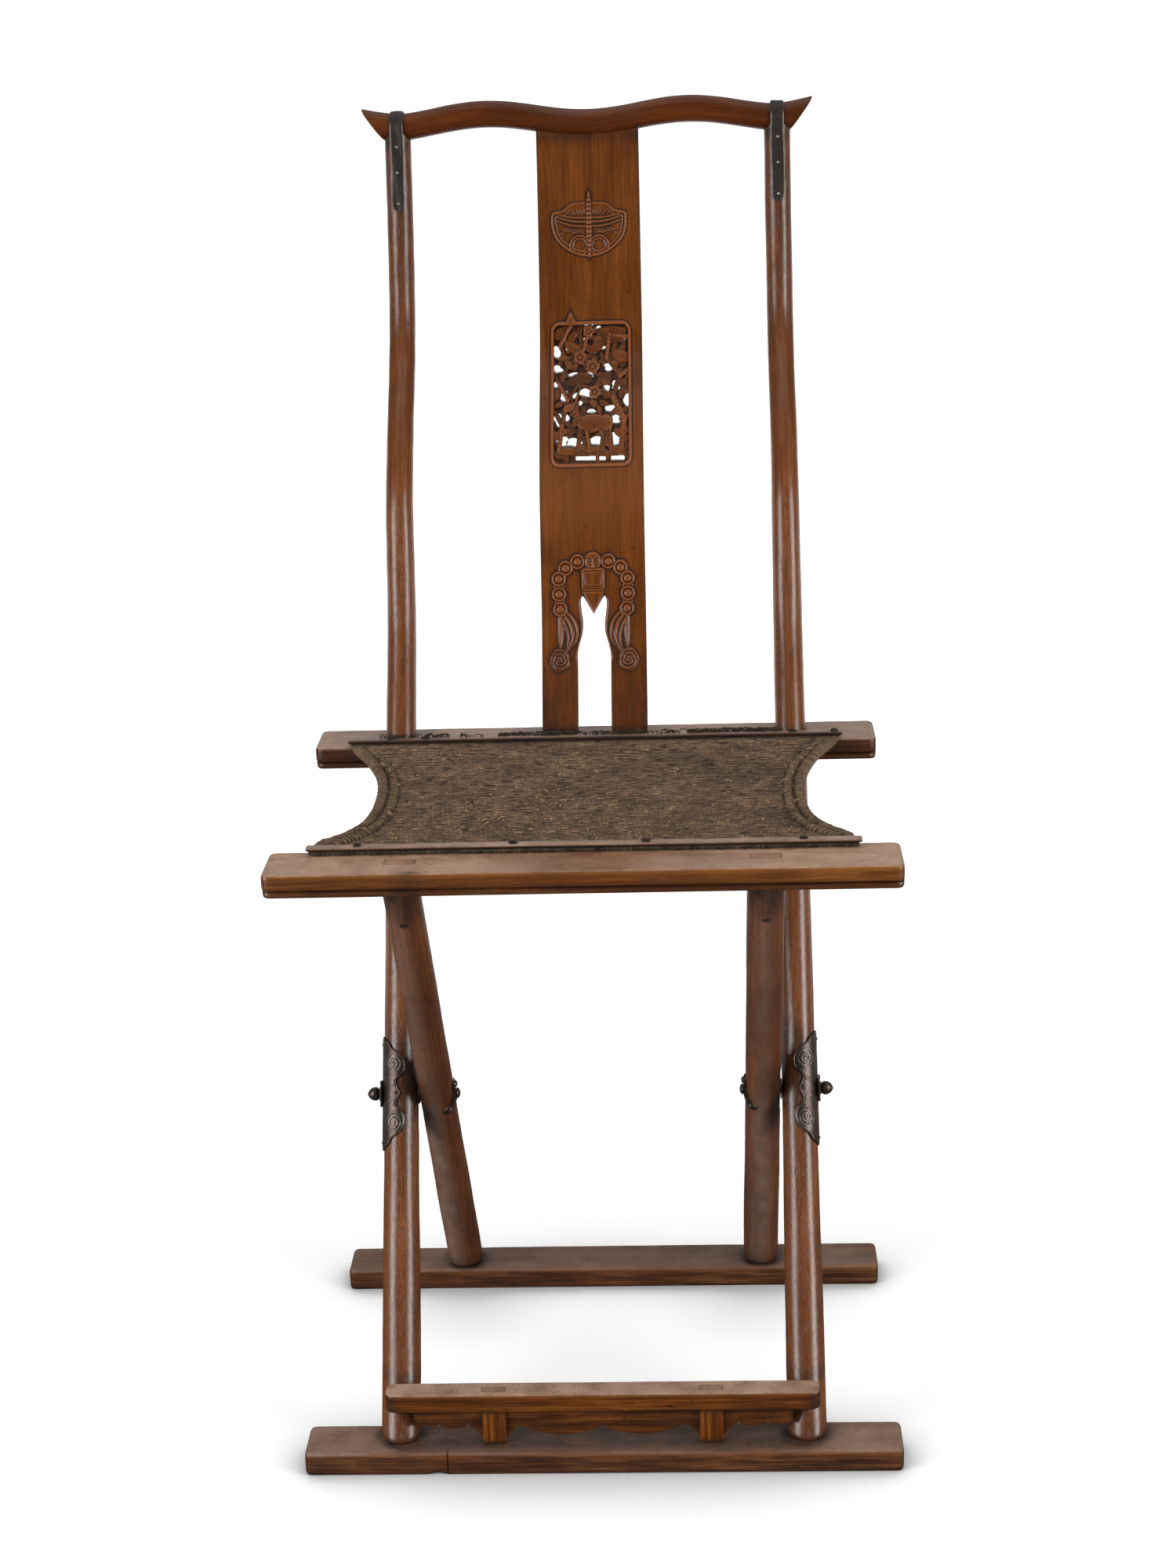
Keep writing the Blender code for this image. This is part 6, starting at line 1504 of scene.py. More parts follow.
def apron(name, near_x, far_x, drop, replaced):
    """A thin shaped board whose lower edge is softly rounded."""
    top = REST_UNDERSIDE - GAP
    front = FRONT_BAR_SETBACK + STRUT_SETBACK + APRON_SETBACK
    turn = np.linspace(0, np.pi, 9)[1:5]
    fall = np.append(0.0, np.linspace(0.15, 1.0, 10))
    points = []
    for share in np.linspace(0, 1, int(150 * FINE)):
        low = top - min(APRON_DROP * drop(share), top - FOOT_BAR_HEIGHT - GAP)
        ease = min(0.0016, (top - low) / 3)
        over = np.append(0 * fall, ease * (1 - np.cos(turn)))
        up = np.append(top + (low + ease - top) * fall, low + ease * (1 - np.sin(turn)))
        over, up = np.append(over, APRON_THICKNESS - over[::-1]), np.append(up, up[::-1])
        points.append(joined(near_x + (far_x - near_x) * share, front + over, up))
    points = np.array(points)
    x, y, z = axes(points)
    ends = np.minimum(np.abs(x - near_x), np.abs(x - far_x))
    stain = 0.30 + 0.6 * near(z - top, 0.005) + 0.5 * near(ends, 0.004)
    low = z.min(axis=1, keepdims=True)
    marks = joined(np.clip(stain, 0, 0.85), 0, -0.35 * near(z - low, 0.002))
    solid(name, points, joined(y, z, x), marks, REST_WOOD, "back_frame", (replaced,))


APRON_LAP = 0.001
inner_end, outer_start = STRUT_INNER_X + APRON_LAP, STRUT_OUTER_X - APRON_LAP
apron("rest_apron_centre", -inner_end, inner_end, lambda t: centre_drop(2 * t - 1), "footrest_apron_centre")
for label, side in SIDES:
    strut(label, side)
    apron(f"rest_apron_{label}", side * outer_start, side * (STILE_SPACING / 2 - APRON_WING), side_drop,
          f"footrest_apron_{label}")


# Ironwork and pegs

def peg(name, x, z, angle, size, tone):
    """The round end of a peg on a short leg's skin."""
    lean = math.atan(slope_on(LEG_LINE, z))
    cross = np.array([0.0, math.cos(lean), -math.sin(lean)])
    out = np.array([math.cos(angle), 0, 0]) + cross * math.sin(angle)
    skin = Skin()
    skin.dome(np.array([x, on(LEG_LINE, z), z]) + out * (leg_radius(z) - 0.0006), out, size, 0.0009, 18, tone)
    make(name, skin, END_WOOD, "seat_frame")


STRAP_NAILS_Z = (1.0665, 1.0440, 1.0165)


def strap(label, side):
    """A thin iron strap, rounded below, bent over the crest rail and nailed to the stile."""
    middle = side * STILE_SPACING / 2
    lift = GAP + STRAP_THICKNESS / 2
    levels = np.linspace(CREST_Z - STRAP_DROP, CREST_Z, int(46 * FINE))[:-1]
    reach = stile_radius(levels) * stretch_on(STILE_LINE, levels) + lift
    front, back = (joined(on(STILE_LINE, levels) + way * reach, levels) for way in (-1, 1))
    reach = crest_line(STILE_SPACING / 2)[2] + lift + STRAP_FIT
    turn = np.linspace(math.pi, 0, int(36 * FINE))
    bend = joined(CREST_Y + reach * np.cos(turn), CREST_Z + reach * np.sin(turn))
    way = np.concatenate([front, bend, back[::-1]])
    for _ in range(4):
        way[1:-1] = way[1:-1] * 0.5 + (way[:-2] + way[2:]) * 0.25
    run = np.gradient(way, axis=0)
    run /= np.linalg.norm(run, axis=1)[:, None]
    out = joined(-run[:, 1], run[:, 0])
    if out[0, 0] > 0:
        out = -out
    along = run_along(way)
    half = STRAP_WIDTH / 2
    end = np.minimum(np.minimum(along, along[-1] - along), half)
    wide = np.maximum(np.sqrt(half**2 - (half - end) ** 2), half * 0.22)
    across = np.linspace(-1, 1, 15)
    thick = STRAP_THICKNESS / 2
    above = thick * (1 - 0.75 * np.maximum(np.abs(across) - 0.82, 0) / 0.18)
    across, above = np.append(across, across[::-1]), np.append(above, -above[::-1])
    bulge = 0.0002 * np.sin(3.1 * across + along[:, None] * 90 + side) * (above > 0)
    y, z = axes(way[:, None] + out[:, None] * (above + bulge)[..., None])
    x = middle + across * wide[:, None]
    solid(f"strap_plate_{label}", joined(x, y, z), joined(x, y, along[:, None]),
          joined(0, 0.25 * near(np.abs(across) - 1.0, 0.14), 0 * x), STRAP_IRON, "back_frame",
          (f"strap_iron_{label}",))
    nails = Skin()
    for nail_z in STRAP_NAILS_Z:
        k = int(np.argmin(np.abs(way[: len(front), 1] - nail_z)))
        for index in (k, len(way) - 1 - k):
            base = (middle, *(way[index] + out[index] * (thick - 0.0002)))
            nails.dome(base, (0.0, *out[index]), 0.0014, 0.0008, 16)
    make(f"strap_nails_{label}", nails, BRIGHT_IRON, "back_frame")


def wrap_point(line, radius_at, x, side, lift, along, around):
    """Points over a leaning stick: along it, round it from its outer side, and off its skin."""
    lean = math.atan(slope_on(line, PIVOT_Z))
    axis = np.array([0.0, math.sin(lean), math.cos(lean)])
    cross = np.array([0.0, math.cos(lean), -math.sin(lean)])
    centre = np.array([x, PIVOT_Y, PIVOT_Z]) + axis * along[..., None]
    radius = radius_at(centre[..., 2]) + lift
    out = np.array([side, 0.0, 0.0])
    return centre + out * (radius * np.cos(around))[..., None] + cross * (radius * np.sin(around))[..., None]


# How far in from its rim an iron sheet is rounded
SHEET_EASE = 0.0007


def eased_lift(edge):
    """How far a sheet's outer face stands off the stick, with its rim eased."""
    ease = SHEET_EASE * (1 - np.sqrt(1 - unit(1 - edge / SHEET_EASE) ** 2))
    return GAP + PLATE_THICKNESS - ease * 0.9


SCROLLS_AT = (-0.0245, 0.0245)
PLATE_NAILS_AT = ((0.043, 0.0), (-0.043, 0.0), (0.0, 1.35), (0.0, -1.35))


def engraved(s, a, edge):
    """Distance to the nearest engraved line: a border, two zigzags, scrolls and curls."""
    zigzag = np.abs(np.abs(s) - 0.0060 - 0.0035 * np.abs(((a / 0.0060) % 2.0) - 1.0))
    lines = [np.abs(edge - 0.0015), zigzag + (np.abs(s) > 0.012)]
    for centre in SCROLLS_AT:
        away, angle = np.hypot(s - centre, a), np.arctan2(a, s - centre)
        lines.append(np.abs((away - 0.0011 * angle / math.pi) % 0.0032 - 0.0016) + (away > 0.0100))
        for flank in (-0.0190, 0.0190):
            away, angle = np.hypot(s - centre * 1.05, a - flank), np.arctan2(a - flank, s - centre)
            lines.append(np.abs((away + 0.0012 * angle / math.pi) % 0.0030 - 0.0015) + (away > 0.0075))
    return np.min(lines, 0) + (edge < 0.0006)


def leg_plate(label, side):
    """The cusped iron sheet round the stile, engraved with scrolls, zigzags and a border."""
    stile = (STILE_LINE, stile_radius, side * STILE_SPACING / 2, side)
    share, across = np.meshgrid(
        np.linspace(-1, 1, int(150 * FINE)), np.linspace(-1, 1, int(90 * FINE)), indexing="ij")
    outline = np.array([smooth_value(PLATE_OUTLINE, abs(v)) for v in share[:, 0]])
    reach = math.pi * PLATE_REACH * 1.07 * outline[:, None]
    around, along = across * reach, share * PLATE_HALF_LENGTH
    side_away = (1 - np.abs(across)) * reach * STILE_FOOT_RADIUS
    edge = np.minimum(side_away, (1 - np.abs(share)) * PLATE_HALF_LENGTH)
    away = engraved(along, around * STILE_FOOT_RADIUS * 0.93, edge)
    line = near(away, 0.00075)
    rim = near(away, 0.0019) - line
    front = wrap_point(*stile, eased_lift(edge) - 0.00045 * line + 0.00010 * rim, along, around)
    back = wrap_point(*stile, GAP, along, around)
    points = np.concatenate([front, back[:, ::-1]], 1)
    tone = joined(unit(0.5 * near(edge, 0.0012) + line), 0.35 * rim, 0)
    solid(f"engraved_plate_{label}", points, points, np.concatenate([tone, 0 * tone], 1), PLATE_IRON,
          "back_frame", (f"leg_plate_{label}",), 50)
    nails = Skin()
    for s, a in np.array(PLATE_NAILS_AT):
        base = wrap_point(*stile, GAP + PLATE_THICKNESS - 0.0001, s, a)
        nails.dome(base, base - wrap_point(*stile, -0.004, s, a), 0.0014, 0.0009, 14)
    make(f"plate_nails_{label}", nails, PLATE_IRON, "back_frame")


def lathe(side, x, radius, turn):
    """Rings of a radius round the pivot axis, at a distance from the chair's middle."""
    return joined(side * x, PIVOT_Y + radius * np.cos(turn), PIVOT_Z + radius * np.sin(turn))


# The acorn finial: (share of its length, share of its radius)
ACORN = (
    (0.0, 0.76), (0.0, 0.92), (0.04, 0.95), (0.08, 0.86), (0.11, 0.78), (0.15, 0.84), (0.20, 0.97),
    (0.27, 1.04), (0.34, 1.05), (0.37, 1.0), (0.41, 1.03), (0.50, 1.02), (0.60, 0.96), (0.70, 0.86),
    (0.80, 0.71), (0.88, 0.55), (0.94, 0.38), (0.985, 0.18), (1.0, 0.03),
)
# The petalled washer: (share of its radius, share of its thickness)
PETAL_RINGS = ((0.42, 0.0), (0.7, 0.0), (1.0, 0.0), (1.0, 0.55), (0.93, 0.95), (0.74, 0.80),
               (0.62, 0.60), (0.52, 0.85), (0.42, 1.0))
PIN_RADIUS = 0.0040


def pin(label, side):
    """The pivot pin with a domed inner head and an acorn finial."""
    inner = LEG_SPACING / 2 - leg_radius(PIVOT_Z) - PLATE_THICKNESS - 2 * GAP
    outer = STILE_SPACING / 2 + stile_radius(PIVOT_Z) + PLATE_THICKNESS + 2 * GAP
    seat = outer + PETAL_THICKNESS + GAP
    profile = [(inner - 0.0032 * math.sin(a), 0.0050 * math.cos(a)) for a in np.linspace(1.52, 0.0, 9)]
    profile += [(inner, PIN_RADIUS), (seat, PIN_RADIUS)]
    profile += [(seat + FINIAL_LENGTH * u, FINIAL_RADIUS * w) for u, w in ACORN]
    x, radius = np.array(profile).T[..., None]
    rows = lathe(side, x, radius, circle(48))
    groove = 0.6 * (np.abs(x - seat - FINIAL_LENGTH * 0.12) < 0.0006)
    marks = joined(groove, 0.08 * (x > seat + FINIAL_LENGTH * 0.2), 0 * rows[..., 0])
    solid(f"acorn_pin_{label}", rows, rows, marks, PLATE_IRON, "back_frame", (f"pivot_pin_{label}",))


def petals(label, side):
    """The washer under the finial, with eight petals."""
    seat = STILE_SPACING / 2 + stile_radius(PIVOT_Z) + PLATE_THICKNESS + 2 * GAP
    turn = circle(96)
    share, height = np.array(PETAL_RINGS + PETAL_RINGS[:1]).T[..., None]
    gap = 0.13 * (1.0 - np.cos(8 * turn)) / 2
    radius = PETAL_RADIUS * share * (1.0 - gap * np.minimum(share * 1.1, 1.0))
    dip = 0.35 * (share > 0.5) * (height > 0.1) * unit(-np.cos(8 * turn))
    x = seat + PETAL_THICKNESS * np.maximum(height - dip, 0.12 * (height > 0.1))
    rows = lathe(side, x, radius, turn)
    solid(f"petal_plate_{label}", rows, rows, joined(0.5 * (dip > 0.1), 0.25 * (share > 0.9), 0), PLATE_IRON,
          "back_frame", (f"petal_washer_{label}",), caps=False)


TREFOIL_HOLE, LOBE_AT, BOSS_RADIUS = 0.0042, 0.0158, 0.0031


def trefoil(label, side):
    """Three bossed lobes of thin iron wrapped round the short leg under the pin's head."""
    leg = (LEG_LINE, leg_radius, side * LEG_SPACING / 2, -side)
    share, turn = np.meshgrid(np.linspace(0.0, 1.0, int(44 * FINE)), circle(int(120 * FINE)), indexing="ij")
    third = 2 * math.pi / 3
    swing = (turn + third / 2) % third - third / 2
    width = 0.0086 + 0.0122 * np.exp(-(swing / 0.36) ** 4) - TREFOIL_HOLE
    reach = TREFOIL_HOLE + width * share
    along, arc_length = reach * np.cos(turn), reach * np.sin(turn)
    edge = width * (1.0 - share)
    boss = np.min([np.hypot(along - LOBE_AT * math.cos(third * k), arc_length - LOBE_AT * math.sin(third * k))
                   for k in range(3)], 0)
    cut = near(boss - 0.0042, 0.0006) + near(edge - 0.0012, 0.0005) * (boss > 0.0048)
    lift = eased_lift(edge) + 0.0022 * np.sqrt(unit(1.0 - (boss / BOSS_RADIUS) ** 2)) - 0.0003 * cut
    around = arc_length / leg_radius(PIVOT_Z)
    front, back = wrap_point(*leg, lift, along, around), wrap_point(*leg, GAP, along, around)
    tone = joined(unit(cut), 0.5 * near(boss, 0.002), 0)
    points, marks = (np.concatenate([a, b, a[:1]]) for a, b in ((front, back[::-1]), (tone, 0 * tone)))
    solid(f"bossed_trefoil_{label}", points, points, marks, PLATE_IRON, "seat_frame",
          (f"trefoil_plate_{label}",), 50, False)


for label, side in SIDES:
    strap(label, side)
    leg_plate(label, side)
    trefoil(label, side)
    pin(label, side)
    petals(label, side)
    peg(f"leg_peg_{label}", side * LEG_SPACING / 2, LEG_PEG_Z, -math.pi / 2, 0.0038, (0.5, 0.0, 0.3))
    for place in frame["nodes"][f"pivot_washer_{label}"].material_slots:
        place.material = PLATE_IRON
peg("foot_plug", -LEG_SPACING / 2, 0.0335, -1.45, 0.0034, (0.35, 0.0, 0.2))


# Woven seat

SPAN_LOW, SPAN_HIGH = SEAT_RAIL_WIDTH, SEAT_RAIL_PITCH
WEB_REST = SEAT_HEIGHT + GAP + WEB_THICKNESS / 2


def web_at(y):
    """The webbing's height and half width at a depth, and that depth as a share, -1 to 1, of the span."""
    share = (y - (SPAN_LOW + SPAN_HIGH) / 2) / ((SPAN_HIGH - SPAN_LOW) / 2)
    held = np.clip(share, -1, 1)
    half = SEAT_WAIST_HALF_WIDTH + (SEAT_HALF_WIDTH - SEAT_WAIST_HALF_WIDTH) * np.abs(held) ** 2.6
    return WEB_REST - SEAT_SAG * (1.0 - held**2), half, share


def seat_cloth():
    """The sagging plain weave between the rails."""
    y = np.linspace(SPAN_LOW - WEB_HEM, SPAN_HIGH + WEB_HEM, int(240 * FINE))[:, None]
    level, half, share = web_at(y)
    half = half - 0.004
    x = half * np.linspace(-1, 1, int(420 * FINE))
    y = y + 0 * x
    free = near(np.maximum(np.abs(share) - 0.93, 0.0), 0.07)
    lumps = 0.0007 * ripple(x, y, 4.0, 0.016) + 0.0004 * ripple(x, y, 8.0, 0.006)
    cross = 0.00022 * np.sin(y * 2 * np.pi / 0.0045 + 1.5 * ripple(x, y, 2.0, 0.02))
    z = level + (lumps + cross) * free
    stain = 0.8 * near(np.maximum(1.0 - np.abs(share), 0.0), 0.03) + 0.0875 * near(half - np.abs(x), 0.016)
    # Painted shade on the weave beside the inner rolled cord
    stain = stain + 0.75 * near(half + 0.004 - np.abs(x) - 0.0175, 0.0028) * free
    stain = stain + 0.30 * near(x - 0.10, 0.10) * near(y - 0.27, 0.06)
    worn_tan = 0.55 * near(x + 0.05, 0.14) * near(y - 0.13, 0.09)
    worn_tan += 0.25 * near(y - 0.07, 0.03) * near(x - 0.05, 0.12)
    thick = WEB_THICKNESS / 2 - 0.0002
    faces = ((joined(x, y, z + thick), joined(x, y, z - thick)), 2 * [joined(x, y, 0)],
             2 * [joined(np.clip(stain, 0, 0.9), worn_tan, 0)])
    points, grain, marks = (np.concatenate([above, below[:, ::-1]], 1) for above, below in faces)
    return solid("woven_seat", points, grain, marks, WEB, None, ("seat_webbing",), 60)


def curl(x, y, z, size, turn, lean, deep=1.0, high=1.0):
    """A round curl about a point, turned by lean."""
    over = size * np.cos(turn)
    return joined(x + over * math.cos(lean), y + deep * over * math.sin(lean), z + high * size * np.sin(turn))


# The two rolled cords of each selvedge: distance in from the edge, radius, and seed
EDGE_ROLLS = ((0.0041, 0.0042, 1.0), (0.0136, 0.0037, 2.0))
ROLL_END = 0.0011


def selvedge(label, side):
    """Two rolled cords along a side of the seat, wrapped with thread."""
    skin = Skin()
    y = np.linspace(SPAN_LOW - WEB_HEM + 0.002, SPAN_HIGH + WEB_HEM - 0.002, int(260 * FINE))
    level, half, share = web_at(y)
    free = near(np.maximum(np.minimum(np.abs(share), 1.0) - 0.90, 0.0), 0.10)
    for (inset, size, seed), tone in zip(EDGE_ROLLS, ((0.18, 0.10, 0.0), (0.05, 0.2, 0.0))):
        x = side * (half - inset + 0.0005 * ripple(y, 0, seed + side, 0.012))
        radius = ROLL_END + (size - ROLL_END) * free
        radius = radius * (1 + 0.10 * np.sin(y * 2 * np.pi / 0.0031 + 2 * ripple(y, 0, seed, 0.01)))
        z = level + (0.0002 + 0.0004 * ripple(y, 0, seed + 3, 0.02)) * free
        skin.tube(joined(x, y, z), radius, 16, tone)
    rolls = make(f"rolled_edge_{label}", skin, CORD, None)
    stitches = Skin()
    random = np.random.default_rng(11 + side)
    turn = np.linspace(0.0, 1.0, 26)
    inward = -0.0004 + 0.0182 * turn
    for place in np.arange(SPAN_LOW + 0.004, SPAN_HIGH - 0.004, 0.0046):
        place += random.uniform(-0.0012, 0.0012)
        level, half, share = web_at(place)
        free = near(max(abs(share) - 0.90, 0.0), 0.10)
        rise = np.zeros(len(turn))
        for inset, size, _ in EDGE_ROLLS:
            reach = ROLL_END + (size - ROLL_END) * free + 0.0005
            rise = np.maximum(rise, np.sqrt(np.maximum(reach**2 - (inward - inset) ** 2, 0.0)))
        y = place + 0.0032 * (0.5 - turn) + random.uniform(-0.0006, 0.0006) + random.uniform(-0.001, 0.001)
        radius = 0.0005 + random.uniform(-0.0001, 0.0002)
        stitches.tube(joined(side * (half - inward), y, level + rise + 0.0001), radius, 6,
                      (random.uniform(0, 0.35), random.uniform(0, 0.30) ** 1.5, 0))
    for _ in range(46 if side > 0 else 26):
        place = random.uniform(SPAN_LOW + 0.02, SPAN_HIGH - 0.02)
        level, half, _ = web_at(place)
        x = side * (half - random.uniform(0.004, 0.021))
        size = random.uniform(0.0016, 0.0034)
        turn = np.linspace(0, random.uniform(3.5, 8.0), 22)
        path = curl(x, place + 0.0004 * turn, level + 0.0036, size * (1 - 0.05 * turn), turn,
                    random.uniform(-1.2, 1.2), high=0.55)
        stitches.tube(path, 0.00042, 6, (random.uniform(0, 0.3), random.uniform(0, 0.9) ** 2, 0))
    return [rolls, make(f"edge_threads_{label}", stitches, CORD, None)]


def tufts():
    """Frayed tan ends and small loops scattered over the weave."""
    skin = Skin()
    random = np.random.default_rng(23)
    for _ in range(int(520 * FINE)):
        if random.random() < 0.55:
            x, y = random.normal(-0.05, 0.07), random.normal(0.135, 0.05)
        else:
            x, y = random.uniform(-0.17, 0.17), random.uniform(0.063, 0.32)
        level, half, share = web_at(y)
        if abs(share) > 0.97 or abs(x) > half - 0.022:
            continue
        size = random.uniform(0.0009, 0.0028)
        turn = np.linspace(0, random.uniform(1.5, 5.0), 10)
        path = curl(x + 0.0003 * turn, y, level + WEB_THICKNESS / 2 - 0.0001, size, turn,
                    random.uniform(0, math.pi), high=0)
        path[:, 2] += size * 0.5 * np.abs(np.sin(turn))
        skin.tube(path, random.uniform(0.00020, 0.00042), 5, (0.0, random.uniform(0.1, 1.0) ** 1.3, 0))
    return make("frayed_tufts", skin, CORD, None)


web_pieces = [seat_cloth()]
for label, side in SIDES:
    web_pieces += selvedge(label, side)
web_pieces.append(tufts())
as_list(web_pieces[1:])
for piece in web_pieces:
    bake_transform(piece)


# Battens, their nails and the frayed cord ends behind them

BATTEN_LOW = SEAT_HEIGHT + WEB_THICKNESS + 2 * GAP
BATTEN_TOP = BATTEN_LOW + BATTEN_HEIGHT


def batten(name, middle_y, seed, body, replaced):
    section = bar_section(BATTEN_WIDTH / 2, BATTEN_LOW, BATTEN_TOP, None, 0.0010, 5)

    def marks(points):
        _, y, z = axes(points)
        top = unit((z - BATTEN_TOP + 0.0012) / 0.001)
        if body == "seat_frame":
            face = unit((z - BATTEN_LOW - 0.0008) / 0.0010)
            stain = 0.7 * (1 - face) + 0.35 * near(y - middle_y - BATTEN_WIDTH / 2, 0.0022)
            return joined(stain, 0.55 * face + 0.35 * top, -0.3 * face)
        stain = 0.7 * near(y - middle_y + BATTEN_WIDTH / 2, 0.0022) + 0.6 * (1 - top)
        return joined(np.clip(stain, 0, 0.85), 0.8 * top, -0.2 * top)

    def shape(points):
        out = points.copy()
        x = points[..., 0]
        out[..., 2] += 0.00035 * ripple(x, 0, seed, 0.03) - 0.0003
        out[..., 1] += 0.0005 * ripple(x, 0, seed + 4, 0.05)
        return out

    bar(name, middle_y, BATTEN_LENGTH, section, 0.0018, 0.0009, RAIL_WOOD, body, (replaced,),
        marks, shape, 0.003)


front_batten_y = SEAT_RAIL_WIDTH - BATTEN_SETBACK - BATTEN_WIDTH / 2
rear_batten_y = SEAT_RAIL_PITCH + BATTEN_SETBACK + BATTEN_WIDTH / 2
batten("front_strip", front_batten_y, 5.0, "seat_frame", "front_batten")
batten("rear_strip", rear_batten_y, 9.0, "back_frame", "rear_batten")


def knots(name, places, middle_y, body):
    """Dark nail heads in tarred knots on a batten."""
    skin = Skin()
    random = np.random.default_rng(31)
    for x in places:
        skin.dome((x, middle_y, BATTEN_TOP - 0.0006), (0, -0.25, 1), 0.0034, 0.0022, 18, (0.5, 0, 0))
        for _ in range(5):
            turn = np.linspace(0, random.uniform(3, 7), 16)
            size = random.uniform(0.0020, 0.0036)
            path = joined(x + size * np.cos(turn), middle_y + size * 0.8 * np.sin(turn),
                          BATTEN_TOP + 0.0004 + 0.0006 * np.sin(turn * 1.7 + x * 50))
            skin.tube(path, 0.00042, 6, (0.4, 0.0, 0))
    make(name, skin, DARK_CORD, body)


knots("front_knots", (-0.179, -0.055, 0.050, 0.174), front_batten_y, "seat_frame")
knots("rear_knots", (-0.182, -0.150, 0.176, 0.213), rear_batten_y, "back_frame")


def fringe(name, middle_y, clusters, body, seed, rise, length, thick=1.0):
    """Dark curly cord ends that stand behind or before a batten."""
    skin = Skin()
    random = np.random.default_rng(seed)
    for low, high, count in clusters:
        for _ in range(int(count * (0.5 + 0.5 * FINE))):
            x = random.uniform(low, high)
            size = random.uniform(0.0010, length)
            turn = np.linspace(0, random.uniform(2.5, 7.0), 16)
            lean = random.uniform(-1.3, 1.3)
            path = curl(x, middle_y + random.uniform(-0.0012, 0.0012), SEAT_HEIGHT + rise + 0.55 * size,
                        size, turn, lean, 0.5, 0.55)
            skin.tube(path, thick * random.uniform(0.00028, 0.00045), 5,
                      (random.uniform(0.1, 0.7), random.uniform(0, 0.12), 0))
    make(name, skin, DARK_CORD, body)


# Each cluster of cord ends: from, to and their number
REAR_CLUSTERS = ((-0.085, -0.030, 84), (-0.030, 0.010, 30), (0.010, 0.034, 30), (0.034, 0.085, 20),
                 (0.085, 0.112, 66), (0.112, 0.165, 96), (-0.19, -0.10, 36))
fringe("rear_fringe", rear_batten_y + 0.0028, REAR_CLUSTERS, "back_frame", 41, 0.0050, 0.0042, 1.35)
fringe("front_fringe", front_batten_y - 0.0060, ((-0.214, 0.214, 150),), "seat_frame", 43, 0.0003, 0.0014)


# Floor, light and camera

def rays(tree):
    """1 for the rays that the camera sees straight or through glass, and 1 for reflected rays."""
    path = put(tree, "ShaderNodeLightPath").socket.node.outputs
    kinds = ("Camera", "Transmission", "Glossy")
    camera_ray, through, glossy = (Field(tree, path[f"Is {kind} Ray"]) for kind in kinds)
    return camera_ray.calc("MAXIMUM", through), glossy


def floor():
    """A pale floor that shows white to the camera, with the chair's soft shadow on it from the lamps and a
    painted contact shadow close by.
    """
    mesh = bpy.data.meshes.new("floor")
    size = 40.0
    corners = [(-size, -size, 0), (size, -size, 0), (size, size, 0), (-size, size, 0)]
    mesh.from_pydata(corners, [], [(0, 1, 2, 3)])
    made = link(bpy.data.objects.new("floor", mesh))
    material, tree, shader = new_material("pale_floor")
    place = put(tree, "ShaderNodeTexCoord", output="Object")
    pale = place.noise(3.0, 2.0).mix((0.44, 0.44, 0.44), (0.45, 0.45, 0.45))
    away = put(tree, "ShaderNodeVectorMath", {0: place}, "Value", operation="LENGTH")
    depth = place.split()[1]
    seen, glossy = rays(tree)
    dim = glossy * (1.0 - depth.spread(0.5, 1.6))
    # Painted contact shadow: the floor's glow dims where the chair is close above it
    painted_contact_shadow = put(tree, "ShaderNodeAmbientOcclusion", {"Distance": 0.11}, "AO", samples=12)
    level = away.spread(0.50, 1.5, 0.52, 1.0) * painted_contact_shadow.spread(0.60, 0.97, 0.08, 1.0)
    seen = seen.calc("MAXIMUM", glossy * depth.spread(0.5, 1.6, 0.01, 0.9))
    give(shader.inputs["Base Color"], dim.mix(pale, (0.05, 0.05, 0.05)))
    give(shader.inputs["Emission Strength"], seen * level)
    shader.inputs["Emission Color"].default_value = (1, 1, 1, 1)
    shader.inputs["Roughness"].default_value = 0.9
    shader.inputs["Specular IOR Level"].default_value = 0.1
    mesh.materials.append(material)


def lamp(name, place, target, size, power):
    data = bpy.data.lights.new(name, "AREA")
    data.shape = "RECTANGLE"
    data.size, data.size_y = size
    data.energy = power
    made = link(bpy.data.objects.new(name, data))
    made.location = place
    made.rotation_euler = (Vector(target) - Vector(place)).to_track_quat("-Z", "Y").to_euler()


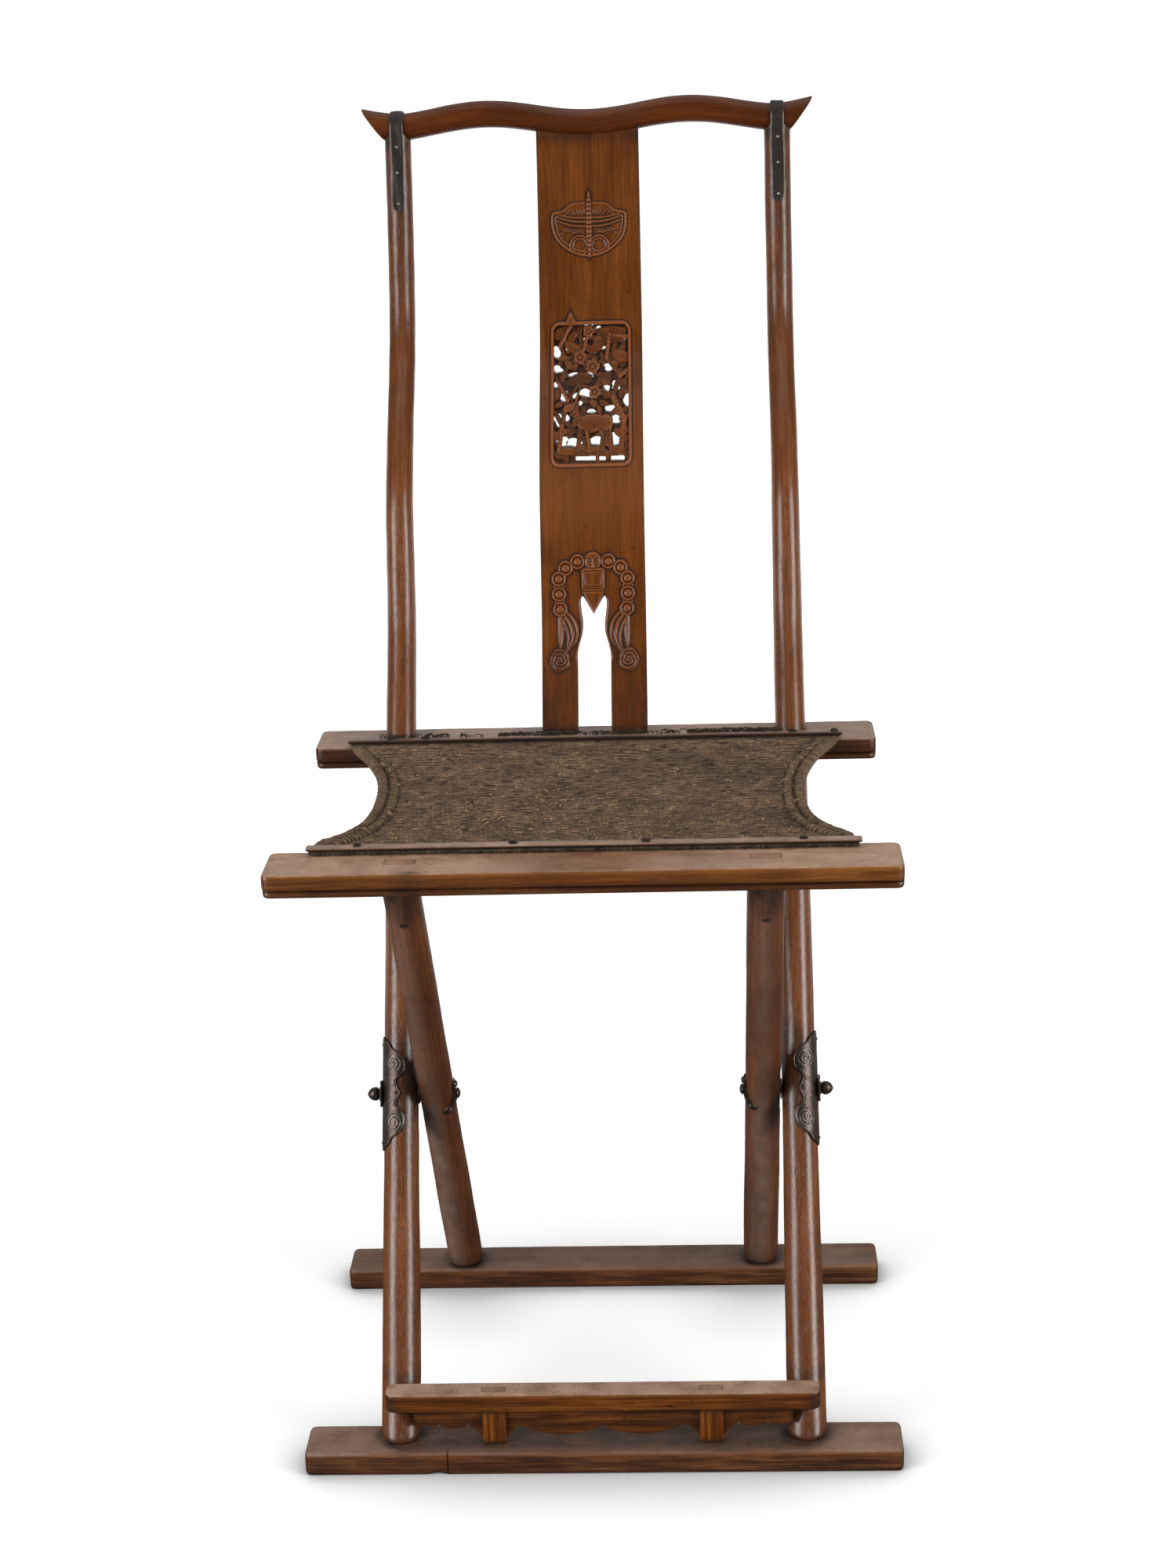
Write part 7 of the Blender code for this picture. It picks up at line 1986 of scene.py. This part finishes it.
def world():
    """Grey light all round, a white backdrop to the camera and, behind the chair, to reflections."""
    made = bpy.data.worlds.new("studio")
    bpy.context.scene.world = made
    made.use_nodes = True
    tree = made.node_tree
    tree.nodes.clear()
    seen, glossy = rays(tree)
    behind = put(tree, "ShaderNodeTexCoord", output="Generated").split()[1]
    soft = glossy.mix((0.565, 0.565, 0.565), behind.spread(0.86, 0.96, 0.05, 1.0))
    light = put(tree, "ShaderNodeBackground", {"Color": seen.mix(soft, (1.0, 1.0, 1.0)), "Strength": 1.0})
    give(tree.nodes.new("ShaderNodeOutputWorld").inputs[0], light)


# The photograph's view, solved from the chair's own lines
CAMERA_PLACE = (0.0938, -2.2532, 1.275)
YAW, PITCH, ROLL = math.radians(-2.53), math.radians(18.17), math.radians(-1.85)
FOCAL_LENGTH_PIXELS = 3424
PHOTO_HEIGHT_PIXELS = 2000
SENSOR = 36


def camera():
    data = bpy.data.cameras.new("camera")
    made = link(bpy.data.objects.new("camera", data))
    right = Vector((math.cos(YAW), -math.sin(YAW), 0.0))
    level = Vector((math.sin(YAW), math.cos(YAW), 0.0))
    ahead = level * math.cos(PITCH) + Vector((0, 0, -1)) * math.sin(PITCH)
    down = ahead.cross(right)
    turned_right = right * math.cos(ROLL) - down * math.sin(ROLL)
    turned_down = right * math.sin(ROLL) + down * math.cos(ROLL)
    turn = Matrix((turned_right, -turned_down, -ahead)).transposed()
    made.matrix_world = Matrix.Translation(CAMERA_PLACE) @ turn.to_4x4()
    data.lens = FOCAL_LENGTH_PIXELS * SENSOR / PHOTO_HEIGHT_PIXELS
    data.sensor_width = SENSOR
    data.clip_start = 0.05
    bpy.context.scene.camera = made


floor()
world()
camera()
lamp("left_box", (-1.90, -1.38, 1.02), (0, 0.05, 0.6), (1.05, 2.0), 60)
lamp("right_box", (2.10, -1.25, 1.08), (0, 0.05, 0.6), (0.90, 2.0), 63)
lamp("top_box", (0.0, 0.6, 3.2), (0, 0.0, 0.3), (3.4, 3.4), 24)
bpy.context.scene.view_settings.view_transform = "Standard"
